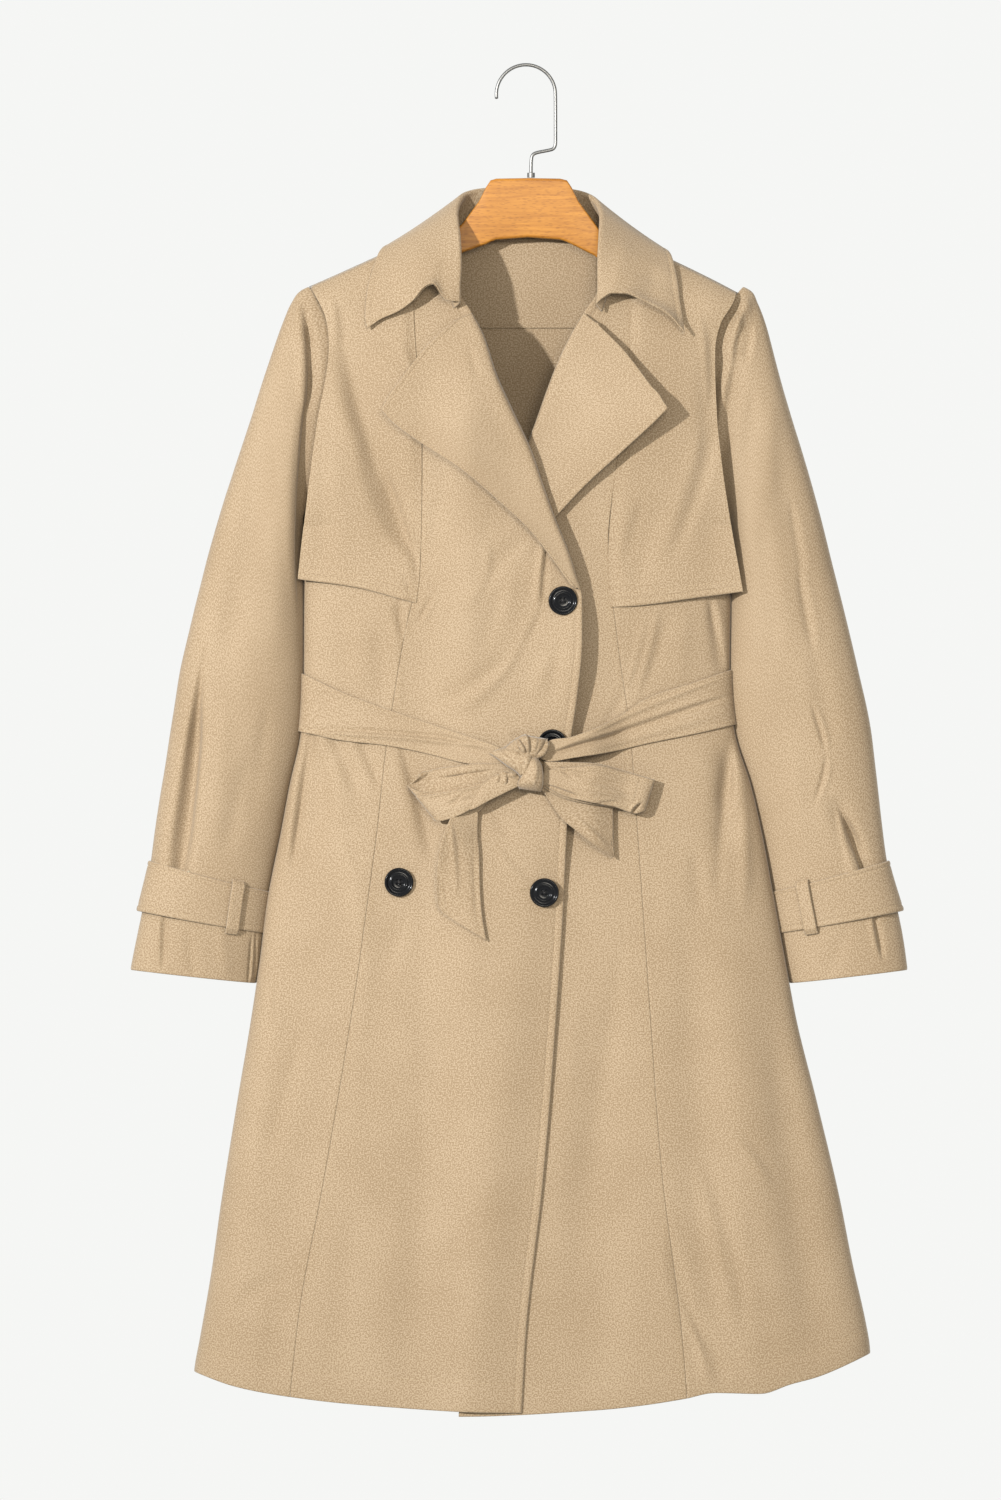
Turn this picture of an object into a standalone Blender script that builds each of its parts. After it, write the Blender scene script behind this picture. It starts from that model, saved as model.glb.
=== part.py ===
"""Trench coat on a wooden hanger.

Lengths in the tables are millimetres. X runs from the wearer's right to the wearer's left, -Y is the coat's front,
and "down" is the distance below the inside top of the hook, which is the origin. Every cloth piece is a thin wall
on a surface that is worked out from the coat's sections, and what lies on a panel is that panel moved outwards.
"""
import bmesh
import bpy
import math
import numpy as np

MM = 0.001
SEAM = 0.3  # between two pieces that are sewn edge to edge
CLOTH = 1.5  # one layer of cloth
FACED = 2.4  # cloth with its facing, as in a lapel
STEP = 1e-3  # share of a piece used to measure its slope

SHOULDER_DOWN = 197.0  # the shoulder tips, where the nominal rows start
CORNER_DOWN = 1144.0  # the hem's side corners, where they end
UNDERARM_DOWN = 407.0
SHOULDER_ROLL = 30.0  # the cloth rounds over the hanger within this height
SECTION_POWER = 0.65  # below 1 the flattened section has fuller sides
ARMHOLE_HALF_GAP = 19.0  # between the front and back edges of an armhole
TIP_GAP = 9.0  # what the hanger's thickness adds to it at the shoulder tips
TIP_SHARE = 0.76  # of half the width: where the tips start
TIP_FADE = 60.0  # they fade within this height
SIDE_CALM = 0.9  # of half the width: folds die out from here to the side seams
WRAP_OVER = 11.5  # the right front stands this far above the left one
SLEEVE_ROUND = 20

# ---------------------------------------------------------------------------------------------- tables

# down, wearer's right edge x, wearer's left edge x
BODY_EDGES = (
    (197, -190, 186),
    (210, -184, 179),
    (228, -177, 171),
    (254, -173, 166),
    (293, -177, 166),
    (337, -184, 170),
    (381, -191, 175),
    (407, -194, 178),
    (453, -195, 180),
    (528, -195, 179),
    (586, -198, 184),
    (626, -207, 197),
    (668, -215, 207),
    (722, -226, 217),
    (783, -234, 228),
    (836, -242, 238),
    (901, -253, 254),
    (989, -267, 274),
    (1054, -276, 286),
    (1120, -287, 299),
    (1144, -291, 302),
)

# below the shoulder tips: the rows of every panel, close together where the cloth rounds over the shoulders
BODY_ROWS = (
    (0, 6, 13, 24, 40, 65, 97, 132, 170, 210, 250, 290, 330)
    + (368, 405, 445, 490, 545, 605, 670, 740, 810, 880, 947)
)

# down, front depth, back depth: from the side seams' plane to the middle of the panel
BODY_DEPTHS = (
    (100, 13, 13),
    (200, 17, 15),
    (270, 24, 18),
    (340, 31, 22),
    (400, 35, 25),
    (470, 35, 25),
    (560, 30, 21),
    (620, 32, 22),
    (700, 38, 26),
    (800, 43, 30),
    (950, 48, 34),
    (1180, 55, 39),
)

# x, down: where the front meets the back over the shoulders, carried on above the open neck
SHOULDER_LINE = (
    (-210, 202),
    (-199, 197),
    (-154, 177),
    (-110, 157),
    (-66, 137),
    (0, 60),
    (68, 142),
    (110, 161),
    (152, 181),
    (195, 203),
    (210, 210),
)

# x, down
BACK_NECK = (
    (-210, 202),
    (-199, 197),
    (-154, 177),
    (-110, 157),
    (-72, 140),
    (-50, 146),
    (0, 150),
    (52, 149),
    (74, 145),
    (110, 161),
    (152, 181),
    (195, 203),
    (210, 210),
)

# x, down: the lower edge of the fronts
HEM = (
    (-291, 1144),
    (-255, 1156),
    (-189, 1167),
    (-110, 1174),
    (-59, 1177),
    (-3, 1178),
    (60, 1176),
    (100, 1172),
    (139, 1166),
    (165, 1161),
    (205, 1162),
    (231, 1154),
    (257, 1147),
    (302, 1128),
)

# down, x: from the neck along the lapel's roll, then the front edge
RIGHT_FRONT_EDGE = (
    (131, -67),
    (180, -65),
    (200, -58),
    (216, -48),
    (234, -38),
    (272, -25),
    (301, -12),
    (338, 5),
    (370, 16),
    (398, 26),
    (425, 37),
    (451, 45),
    (466, 49),
    (500, 49),
    (558, 44),
    (587, 40),
    (668, 36),
    (768, 31),
    (976, 15),
    (1098, 1),
    (1180, -4),
)
LEFT_FRONT_EDGE = (
    (131, 70),
    (180, 69),
    (200, 62),
    (218, 50),
    (231, 42),
    (257, 29),
    (285, 18),
    (316, 7),
    (346, -5),
    (381, -18),
    (420, -31),
    (446, -35),
    (556, -36),
    (731, -42),
    (906, -49),
    (1180, -59),
)

# down, x: the long seams between side front and centre front
RIGHT_PRINCESS = (
    (131, -99),
    (249, -98),
    (337, -91),
    (433, -93),
    (503, -107),
    (603, -123),
    (668, -130),
    (821, -151),
    (982, -178),
    (1082, -197),
    (1180, -208),
)
LEFT_PRINCESS = (
    (131, 93),
    (293, 89),
    (382, 75),
    (416, 72),
    (503, 80),
    (582, 91),
    (661, 97),
    (821, 108),
    (980, 120),
    (1086, 134),
    (1180, 142),
)

# x and down of both ends, half width, depth: soft troughs, or ridges where the depth is negative
FRONT_FOLDS = (
    (-165, 318, -104, 432, 15, 3.5),
    (-176, 590, -192, 700, 12, 5.0),
    (176, 588, 174, 690, 11, 5.0),
    (-236, 720, -262, 1150, 26, -5.0),
    (-186, 760, -214, 1160, 22, 4.0),
    (-60, 790, -110, 1176, 30, 4.5),
    (-18, 770, -40, 1176, 22, -3.0),
    (70, 760, 62, 1176, 26, 4.5),
    (170, 720, 214, 1160, 24, -5.0),
    (140, 740, 166, 1150, 20, 4.5),
    (214, 800, 258, 1140, 18, 4.0),
    (112, 380, 96, 460, 12, 2.5),
)
BACK_FOLDS = (
    (-120, 600, -176, 1170, 30, 5.0),
    (-40, 600, -60, 1172, 30, -5.0),
    (26, 610, 40, 1172, 28, 5.0),
    (110, 600, 150, 1168, 30, -5.0),
    (186, 640, 226, 1150, 24, 5.0),
    (-150, 330, -90, 470, 20, 3.0),
    (140, 330, 80, 470, 20, 3.0),
)

# along the sleeve, outer down, inner down, front depth, back depth
SLEEVE_RINGS = (
    (0.00, 193, 410, 19, 19),
    (0.02, 198, 411, 21, 20),
    (0.06, 212, 415, 24, 22),
    (0.12, 238, 425, 27, 24),
    (0.20, 278, 446, 31, 26),
    (0.30, 330, 478, 32, 27),
    (0.40, 386, 515, 32, 27),
    (0.50, 446, 556, 31, 26),
    (0.60, 508, 598, 30, 26),
    (0.70, 570, 641, 29, 25),
    (0.80, 632, 682, 28, 24),
    (0.90, 702, 728, 26, 23),
    (1.00, 792, 804, 26, 23),
)
# down, wearer's right x, wearer's left x: the outer side of each sleeve
SLEEVE_OUTER = (
    (193, -192, 188),
    (197, -199, 195),
    (207, -206, 201),
    (223, -213, 208),
    (267, -228, 221),
    (311, -242, 234),
    (354, -256, 247),
    (398, -270, 259),
    (442, -282, 270),
    (486, -293, 281),
    (529, -303, 291),
    (573, -310, 301),
    (617, -317, 307),
    (661, -324, 312),
    (704, -330, 318),
    (748, -338, 328),
    (792, -347, 335),
)
# down, how far the inner side of each sleeve keeps from the body
SLEEVE_CLEAR = (
    (400, 2.0),
    (500, 3.0),
    (560, 5.0),
    (620, 4.0),
    (680, 5.5),
    (730, 6.5),
    (770, 5.5),
    (804, 4.0),
)
ARMHOLE_CLEAR = 1.2
ARMHOLE_BLEND = 0.25  # along the sleeve, where the armhole's inward curve has faded
SLEEVE_FOLDS = {
    "right": ((-284, 540, -308, 702, 9, 4.0), (-226, 300, -262, 520, 14, 2.5)),
    "left": ((268, 640, 290, 692, 8, 4.0), (214, 300, 252, 520, 14, 2.5)),
}

# along the lapel from the break to the gorge, outer edge x, outer edge down, how far the edge lifts
RIGHT_LAPEL = (
    (0.00, 40, 456, 0.5),
    (0.10, 8, 413, 1.0),
    (0.22, -24, 382, 1.5),
    (0.36, -56, 355, 2.0),
    (0.50, -91, 332, 3.0),
    (0.60, -116, 314, 4.0),
    (0.66, -127, 302, 4.5),
    (0.76, -112, 279, 3.5),
    (0.88, -88, 248, 2.5),
    (1.00, -62, 224, 2.0),
)
LEFT_LAPEL = (
    (0.00, -28, 449, 0.3),
    (0.12, -10, 430, 0.3),
    (0.28, 18, 404, 0.8),
    (0.42, 52, 368, 3.0),
    (0.54, 86, 337, 9.0),
    (0.62, 110, 315, 16.0),
    (0.67, 124, 301, 19.0),
    (0.78, 108, 280, 13.0),
    (0.89, 86, 251, 6.0),
    (1.00, 62, 227, 2.0),
)
RIGHT_BREAK = 459.0
LEFT_BREAK = 452.0
GORGE = 217.0
LAPEL_GAP = 0.9  # between a lapel and the front under it
LAPEL_ROLL = 7.0  # the lapel rises within this width from its roll line
LAPEL_FULL = 25.0  # where a lapel is narrower than this, it rises less

# x and down of the facing that shows inside the back of the neck
NECK_FACING_X = (-54.0, 55.0)
NECK_FACING_DOWN = (153.0, 228.0)
NECK_FACING_THICK = 1.0
NECK_FACING_GAP = 0.8

# down, x: the outer edge of each storm flap
RIGHT_FLAP_OUTER = (
    (180, -189),
    (197, -187),
    (228, -175),
    (254, -172),
    (321, -183),
    (381, -191),
    (449, -199),
    (480, -201),
)
LEFT_FLAP_OUTER = (
    (180, 185),
    (203, 182),
    (228, 170),
    (254, 165),
    (311, 167),
    (346, 171),
    (400, 180),
    (462, 191),
    (480, 193),
)
# x, down: the lower edge of each storm flap
RIGHT_FLAP_LOWER = (
    (-205, 449),
    (-199, 450),
    (-145, 458),
    (-98, 471),
)
LEFT_FLAP_LOWER = (
    (74, 475),
    (101, 473),
    (152, 466),
    (190, 461),
    (200, 460),
)
FLAP_GAP = 1.4
FLAP_ROW = 455.0  # the body row that the flaps end at
FLAP_FROM_SEAM = 1.0
FLAP_BELOW_SHOULDER = 3.0
FLAP_INSIDE = (6.0, 18.0)  # the flap leaves the front this far inside the armhole, above and below
FLAP_TURN = 4.0  # it leaves it within about this width
FLAP_SLOPE = 0.15  # of the free part, towards the back
FLAP_STAND = {"right": 2.0, "left": 10.0}  # how far the free corner stands off

# along the collar; neck seam x, y, down; fold x, y, down; outer edge x, y, down
COLLAR = (
    (0.00, -62, -36, 213, -56, -42, 208, -139, -37, 231),
    (0.05, -66, -33, 200, -56, -40, 195, -141, -34, 221),
    (0.12, -68, -28, 180, -55, -37, 176, -140, -30, 203),
    (0.20, -69, -20, 156, -56, -27, 152, -136, -23, 183),
    (0.27, -70, -8, 142, -58, -11, 131, -128, -8, 161),
    (0.33, -69, 8, 137, -54, 5, 116, -122, 9, 158),
    (0.39, -56, 18, 146, -45, 16, 108, -106, 23, 172),
    (0.44, -34, 19, 151, -31, 21, 105, -66, 27, 180),
    (0.50, 0, 19, 153, 1, 22, 103, 0, 28, 184),
    (0.56, 35, 19, 152, 37, 21, 106, 66, 27, 182),
    (0.61, 58, 18, 149, 50, 16, 110, 106, 23, 175),
    (0.67, 71, 8, 141, 59, 5, 119, 121, 9, 161),
    (0.73, 73, -8, 146, 63, -11, 133, 127, -8, 164),
    (0.80, 72, -20, 160, 62, -27, 153, 132, -23, 183),
    (0.88, 71, -28, 182, 61, -37, 177, 135, -30, 205),
    (0.95, 69, -33, 203, 61, -41, 196, 138, -35, 224),
    (1.00, 66, -37, 216, 60, -42, 209, 139, -43, 235),
)
# across the leaf from its fold to its tip; wearer's right x, y, down; wearer's left x, y, down
COLLAR_ENDS = (
    (0.00, -56, -42, 208, 60, -42, 209),
    (0.14, -68, -46, 206, 66, -46, 204),
    (0.28, -79, -48, 192, 74, -48, 200),
    (0.40, -88, -47, 196, 86, -48, 200),
    (0.52, -98, -44, 207, 99, -47, 205),
    (0.66, -111, -41, 216, 113, -45, 212),
    (0.84, -127, -38, 223, 127, -44, 221),
    (1.00, -139, -37, 231, 139, -43, 235),
)
END_CURL = 0.26  # along the collar, where the curl of its end has faded
STAND_SHARE = 0.3  # of the collar's rows: below its fold
FOLD_SHARE = 0.36  # of the collar's rows: round its fold
COLLAR_ROLL = 2.7  # radius of the fold
COLLAR_THICK = 1.8
LEAF_START = 0.12  # of the leaf: the part of it that the fold heads for
LEAST_FOLD = 0.3  # cosine of the smallest turn of the fold

# x, upper edge down, lower edge down
RIGHT_BAND = (
    (-199, 530, 583),
    (-162, 548, 591),
    (-120, 564, 596),
    (-81, 577, 604),
    (-54, 586, 611),
    (-18, 598, 619),
)
LEFT_BAND = (
    (20, 595, 613),
    (40, 588, 608),
    (80, 570, 600),
    (106, 554, 594),
    (150, 539, 585),
    (184, 527, 577),
)
# x, upper edge down, lower edge down
BACK_BAND = (
    (-199, 530, 583),
    (-100, 536, 588),
    (0, 540, 592),
    (100, 536, 587),
    (184, 527, 577),
)
WAIST_ROW = 555.0  # a nominal row inside the belt
BAND_OUT = 1.2  # of the belt above the cloth
KNOT_OUT = 6.4  # of the belt beside the knot, which clears the button below it
KNOT_X = 8.0
KNOT_REACH = (28.0, 75.0)  # the belt sinks to the cloth between these distances from the knot
STEP_RIGHT = (-95.0, -45.0)  # x over which the belt climbs to the right front
STEP_LEFT = (52.0, 92.0)  # and comes down past its edge

# down, middle x, half width, half depth
KNOT = (
    (587, 2, 7, 3.0),
    (591, 1, 15, 6.5),
    (598, 1, 17.5, 8.5),
    (604, 2, 15, 8.5),
    (609, 3, 10, 7.5),
    (618, 4, 10, 9.0),
    (628, 4, 9.5, 8.5),
    (634, 4, 7, 5.0),
)
KNOT_MIDDLE_OUT = 15.5

# along the bow from the knot, upper edge x, upper edge down, lower edge x, lower edge down, half gap
RIGHT_BOW = (
    (0.0, -10, 612, -9, 626, 1.6),
    (0.3, -34, 609, -32, 636, 2.4),
    (0.6, -62, 614, -56, 650, 3.4),
    (0.85, -90, 621, -74, 661, 4.0),
    (1.0, -103, 627, -84, 662, 0.0),
)
LEFT_BOW = (
    (0.0, 17, 611, 17, 626, 1.6),
    (0.3, 44, 611, 42, 641, 2.4),
    (0.6, 76, 614, 70, 647, 3.4),
    (0.85, 101, 620, 92, 653, 4.0),
    (1.0, 113, 625, 102, 656, 0.0),
)
BOW_OUT = 10.5

# along the tail from the knot, one edge x, down, other edge x, down
RIGHT_TAIL = (
    (0.0, -12, 630, -7, 640),
    (0.14, -30, 632, -18, 646),
    (0.28, -48, 640, -32, 656),
    (0.42, -65, 660, -42, 669),
    (0.56, -72, 678, -41, 690),
    (0.72, -75, 702, -39, 714),
    (0.88, -75, 726, -37, 742),
    (1.0, -74, 743, -34, 765),
)
LEFT_TAIL = (
    (0.0, 16, 638, 18, 629),
    (0.3, 28, 652, 42, 637),
    (0.6, 39, 668, 66, 644),
    (0.8, 54, 680, 76, 660),
    (1.0, 73, 692, 76, 691),
)
TAIL_OUT = 4.5

# name, x, down, lean of the disc about Y in degrees
BUTTONS = (
    ("button_chest", 32, 469, 6),
    ("button_waist", 23, 594, 0),
    ("button_skirt_left", 16, 724, 0),
    ("button_skirt_right", -111, 715, 0),
)
BUTTON_THICK = 3.6
BUTTON_OUT = 1.3
# radius, height above the back
BUTTON_PROFILE = (
    (0.0, 1.9),
    (6.0, 2.0),
    (7.6, 2.8),
    (9.4, 2.7),
    (11.2, 3.6),
    (12.2, 3.4),
    (12.7, 2.4),
    (12.0, 0.8),
    (10.0, 0.0),
    (0.0, 0.0),
)
BUTTON_HOLE_RADIUS = 0.9
BUTTON_HOLE_OFFSET = 2.2
BUTTON_SIDES = 16

# x, upper edge down, lower edge down
HANGER_OUTLINE = (
    (-172, 199.0, 206),
    (-166, 193.5, 210),
    (-154, 187.0, 208),
    (-110, 167.0, 190),
    (-70, 151.0, 171),
    (-55, 137, 163),
    (-49, 129, 161),
    (-41, 118, 158),
    (-35, 106, 156),
    (-31, 100, 154),
    (-26, 98.5, 152),
    (2, 98, 150),
    (30, 98.5, 152),
    (36, 100, 154),
    (40, 106, 156),
    (46, 118, 159),
    (54, 129, 163),
    (60, 137, 166),
    (72, 154.0, 175),
    (110, 171.5, 194),
    (152, 191.0, 212),
    (163, 197.5, 214),
    (169, 203.0, 210),
)
WOOD_HALF = 6.0
WOOD_EDGE = 2.6

WIRE_RADIUS = 1.5
HOOK_RADIUS = 24.5
HOOK_TIP_ANGLE = 188  # degrees round the arc from its straight side to its tip
HOOK_STRAIGHT_DOWN = 68.0
SHANK_X = 4.5
SHANK_FOOT = 97.2
FERRULE_HEIGHT = 4.2
FERRULE_RADIUS = 3.4

# along the strap's ring of the sleeve: upper row, lower row
STRAP_ROWS = (0.893, 0.945)
STRAP_OUT = 0.5
STRAP_FLARE = 3.0
LOOP_TURN = 0.36  # of the way round the sleeve from its outer side
LOOP_HALF = 4.5
LOOP_BEYOND = 0.12  # of the strap's width: how far the loop reaches past each edge
LOOP_GAP = 1.2
LOOP_OUT = 2.6
CUFF_ROUND = 260.0  # round the sleeve at its cuff

COLOURS = {
    "cloth": ((0.62, 0.47, 0.30), 0.75, 0.0),
    "horn": ((0.012, 0.013, 0.016), 0.18, 0.0),
    "beech": ((0.72, 0.36, 0.13), 0.45, 0.0),
    "steel": ((0.62, 0.62, 0.60), 0.28, 1.0),
}


# ---------------------------------------------------------------------------------------------- numbers


def line(rows, column=1):
    """A smooth line through one column of a table, as a function of the table's first column."""
    at = np.array([row[0] for row in rows], float)
    value = np.array([row[column] for row in rows], float)
    step = np.diff(at)
    chord = np.diff(value) / step
    slope = np.concatenate(([chord[0]], (chord[:-1] + chord[1:]) / 2, [chord[-1]]))
    turning = chord[:-1] * chord[1:] <= 0
    slope[1:-1][turning] = 0
    limit = 3 * np.minimum(np.abs(np.append(chord, chord[-1])), np.abs(np.insert(chord, 0, chord[0])))
    slope = np.clip(slope, -limit, limit)

    def follow(x):
        x = np.asarray(x, float)
        inside = np.clip(x, at[0], at[-1])
        k = np.clip(np.searchsorted(at, inside) - 1, 0, len(step) - 1)
        t = (inside - at[k]) / step[k]
        smooth = value[k] * (1 + 2 * t) * (1 - t) ** 2 + value[k + 1] * t**2 * (3 - 2 * t)
        bend = step[k] * (slope[k] * t * (1 - t) ** 2 - slope[k + 1] * t**2 * (1 - t))
        past = np.where(x < at[0], slope[0] * (x - at[0]), slope[-1] * (x - at[-1]))
        return smooth + bend + np.where(inside == x, 0.0, past)

    return follow


def ease(low, high, x):
    """From 0 at low to 1 at high, level at both."""
    t = np.clip((np.asarray(x, float) - low) / (high - low), 0, 1)
    return t * t * (3 - 2 * t)


def mix(a, b, t):
    return a + (b - a) * t


def rounded(share):
    """A quarter circle: 0 at 0, 1 from 1 on, and steep at 0."""
    return np.sqrt(1 - (1 - np.clip(share, 0, 1)) ** 2)


def fold_depth(folds, x, down):
    """How far the troughs of a table press the cloth in at a point."""
    total = np.zeros(np.broadcast(x, down).shape)
    for x0, d0, x1, d1, half, depth in folds:
        run = np.array((x1 - x0, d1 - d0), float)
        length = np.hypot(*run)
        along = ((x - x0) * run[0] + (down - d0) * run[1]) / length**2
        across = ((x - x0) * run[1] - (down - d0) * run[0]) / length
        ends = ease(-0.05, 0.3, along) * (1 - ease(0.75, 1.1, along))
        total = total + depth * ends * np.exp(-((across / half) ** 2))
    return total


# ---------------------------------------------------------------------------------------------- body

edge_right = line(BODY_EDGES, 1)
edge_left = line(BODY_EDGES, 2)
front_depth = line(BODY_DEPTHS, 1)
back_depth = line(BODY_DEPTHS, 2)
shoulder = line(SHOULDER_LINE)
back_neck = line(BACK_NECK)
hem = line(HEM)


def middle(row):
    return (edge_right(row) + edge_left(row)) / 2


def half_width(row):
    return (edge_left(row) - edge_right(row)) / 2


def true_down(x, row, top):
    """The height of a point on a nominal row: rows bend to the shoulders above and to the hem below."""
    share = (row - SHOULDER_DOWN) / (CORNER_DOWN - SHOULDER_DOWN)
    upper = (top(x) - SHOULDER_DOWN) * np.clip(1 - share, 0, 1.2) ** 3
    lower = (hem(x) - CORNER_DOWN) * np.clip(share, 0, 1.2) ** 3
    return row + upper + lower


def row_at(x, down, top):
    """The nominal row that passes through a point."""
    row = np.asarray(down, float)
    for _ in range(30):
        row = row + 0.8 * (down - true_down(x, row, top))
    return row


def armhole_gap(row):
    """Half the distance between the front and back edges of the armhole."""
    share = np.clip((row - SHOULDER_DOWN) / (UNDERARM_DOWN - SHOULDER_DOWN), 0, 1)
    return ARMHOLE_HALF_GAP * np.sin(math.pi * share) ** 0.75


def section_depth(x, row, down, depth):
    """Distance of a panel from the side seams' plane."""
    across = np.clip((x - middle(row)) / half_width(row), -1, 1)
    full = depth(down) * (1 - across**2) ** (SECTION_POWER / 2)
    near_tip = ease(TIP_SHARE, 1.0, np.abs(across))
    tip = TIP_GAP * near_tip * (1 - ease(SHOULDER_DOWN, SHOULDER_DOWN + TIP_FADE, row))
    below_shoulder = down - shoulder(x)
    return SEAM / 2 + (armhole_gap(row) + tip + full) * rounded(below_shoulder / SHOULDER_ROLL)


def wrap_over(x, down):
    """How far the right front stands above the left one."""
    return WRAP_OVER * ease(-95, -45, x) * ease(215, 320, down) * (1 - 0.45 * ease(800, 1170, down))


def calm_side(x, row):
    """1 on a panel, 0 at the side seams, where folds die out."""
    across = np.abs((x - middle(row)) / half_width(row))
    return 1 - ease(SIDE_CALM, 1.0, across)


def front_skin(x, row, over):
    """The outer face of the fronts; over is 1 on the right front and 0 on the left one."""
    down = true_down(x, row, shoulder)
    deep = section_depth(x, row, down, front_depth)
    deep = deep - fold_depth(FRONT_FOLDS, x, down) * calm_side(x, row) + over * wrap_over(x, down)
    return np.stack(np.broadcast_arrays(x, -deep, -down), axis=-1)


def back_skin(x, row):
    down = true_down(x, row, back_neck)
    deep = section_depth(x, row, down, back_depth)
    deep = deep - fold_depth(BACK_FOLDS, x, down) * calm_side(x, row)
    return np.stack(np.broadcast_arrays(x, deep, -down), axis=-1)


def side_x(edge, down):
    """Where a side of the body, given as a line of x by nominal row, is at a height."""
    row = np.asarray(down, float)
    for _ in range(20):
        row = row + 0.8 * (down - true_down(edge(row), row, shoulder))
    return edge(row)


def seam_x(seam, row):
    """Where a seam given as a line of x by height crosses a nominal row."""
    x = seam(row)
    for _ in range(20):
        x = seam(true_down(x, row, shoulder))
    return x


def turn_of(x, row):
    """The angle round the flattened section, -90 degrees at the right side seam."""
    return np.arcsin(np.clip((x - middle(row)) / half_width(row), -1, 1))


def body_row(v):
    return mix(SHOULDER_DOWN, CORNER_DOWN, v)


def front_panel(outer_turn, outer_seam, inner_seam, over, gaps):
    """A strip of the front between two seams. A seam of None is the side seam at outer_turn."""

    def skin(u, v):
        row = body_row(v)
        start = outer_turn
        if outer_seam is not None:
            start = turn_of(seam_x(outer_seam, row) + gaps[0], row)
        end = turn_of(seam_x(inner_seam, row) + gaps[1], row)
        x = middle(row) + half_width(row) * np.sin(mix(start, end, u))
        return front_skin(x, row, over)

    return skin


def on_front(x, down, over):
    return front_skin(x, row_at(x, down, shoulder), over)


# ---------------------------------------------------------------------------------------------- meshes


def normals(skin, u, v, wraps):
    """Unit normals of a surface, from its slopes along u and v."""
    low_u, high_u = u - STEP, u + STEP
    if not wraps:
        low_u, high_u = np.clip(low_u, 0, 1), np.clip(high_u, 0, 1)
    along_u = skin(high_u, v) - skin(low_u, v)
    along_v = skin(u, np.clip(v + STEP, 0, 1)) - skin(u, np.clip(v - STEP, 0, 1))
    facing = np.cross(along_u, along_v)
    return facing / np.linalg.norm(facing, axis=-1, keepdims=True)


def moved_out(skin, distance, flip=False, wraps=False):
    """A surface moved along its normals; distance is a number or a function of u and v."""
    sign = -1 if flip else 1

    def moved(u, v):
        u, v = np.broadcast_arrays(np.asarray(u, float), np.asarray(v, float))
        out = distance(u, v) if callable(distance) else np.full(u.shape, float(distance))
        return skin(u, v) + sign * out[..., None] * normals(skin, u, v, wraps)

    return moved


def wall_faces(columns, rows, wraps):
    """Faces of a wall whose outer points come first and inner points second."""
    count = columns * rows
    spans = columns if wraps else columns - 1

    def at(i, j):
        return j * columns + i % columns

    faces = []
    for j in range(rows - 1):
        for i in range(spans):
            face = (at(i, j), at(i + 1, j), at(i + 1, j + 1), at(i, j + 1))
            faces.append(face)
            faces.append(tuple(k + count for k in reversed(face)))
    rim = [(at(i + 1, 0), at(i, 0)) for i in range(spans)]
    rim += [(at(i, rows - 1), at(i + 1, rows - 1)) for i in range(spans)]
    if not wraps:
        rim += [(at(0, j), at(0, j + 1)) for j in range(rows - 1)]
        rim += [(at(columns - 1, j + 1), at(columns - 1, j)) for j in range(rows - 1)]
    faces += [(a, b, b + count, a + count) for a, b in rim]
    return faces


def material(name):
    found = bpy.data.materials.get(name)
    if found:
        return found
    colour, rough, metal = COLOURS[name]
    made = bpy.data.materials.new(name)
    made.use_nodes = True
    shader = made.node_tree.nodes["Principled BSDF"]
    shader.inputs["Base Color"].default_value = (*colour, 1.0)
    shader.inputs["Roughness"].default_value = rough
    shader.inputs["Metallic"].default_value = metal
    return made


def place(name, points, faces, look):
    """A mesh object from points in millimetres."""
    mesh = bpy.data.meshes.new(name)
    mesh.from_pydata((np.asarray(points) * MM).tolist(), [], faces)
    mesh.materials.append(material(look))
    mesh.update()
    mesh.shade_smooth()
    mesh.set_sharp_from_angle(angle=math.radians(40))
    made = bpy.data.objects.new(name, mesh)
    bpy.context.scene.collection.objects.link(made)
    return made


def cloth(name, skin, us, vs, thick=CLOTH, flip=False, wraps=False, side=0):
    """A wall of cloth behind a surface, on the side that the surface's normals point away from.

    A side of -1 keeps the wall in front of the side seams' plane, and 1 keeps it behind. Its directions are
    then taken just inside the edges, since at a corner of two seams the surface lies in that plane."""
    u, v = np.meshgrid(us, vs)
    if side:
        facing = normals(skin, np.clip(u, 0.04, 0.96), np.clip(v, 0.003, 1), wraps)
    else:
        facing = normals(skin, u, v, wraps)
    if flip:
        facing = -facing
    outer = skin(u, v)
    inner = outer - thick * facing
    if side:
        inner[..., 1] = side * np.maximum(side * inner[..., 1], SEAM / 2)
    points = np.concatenate((outer.reshape(-1, 3), inner.reshape(-1, 3)))
    faces = wall_faces(len(us), len(vs), wraps)
    if flip:
        faces = [tuple(reversed(face)) for face in faces]
    return place(name, points, faces, "cloth")


def even(count):
    return np.linspace(0, 1, count)


# ---------------------------------------------------------------------------------------------- panels


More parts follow.
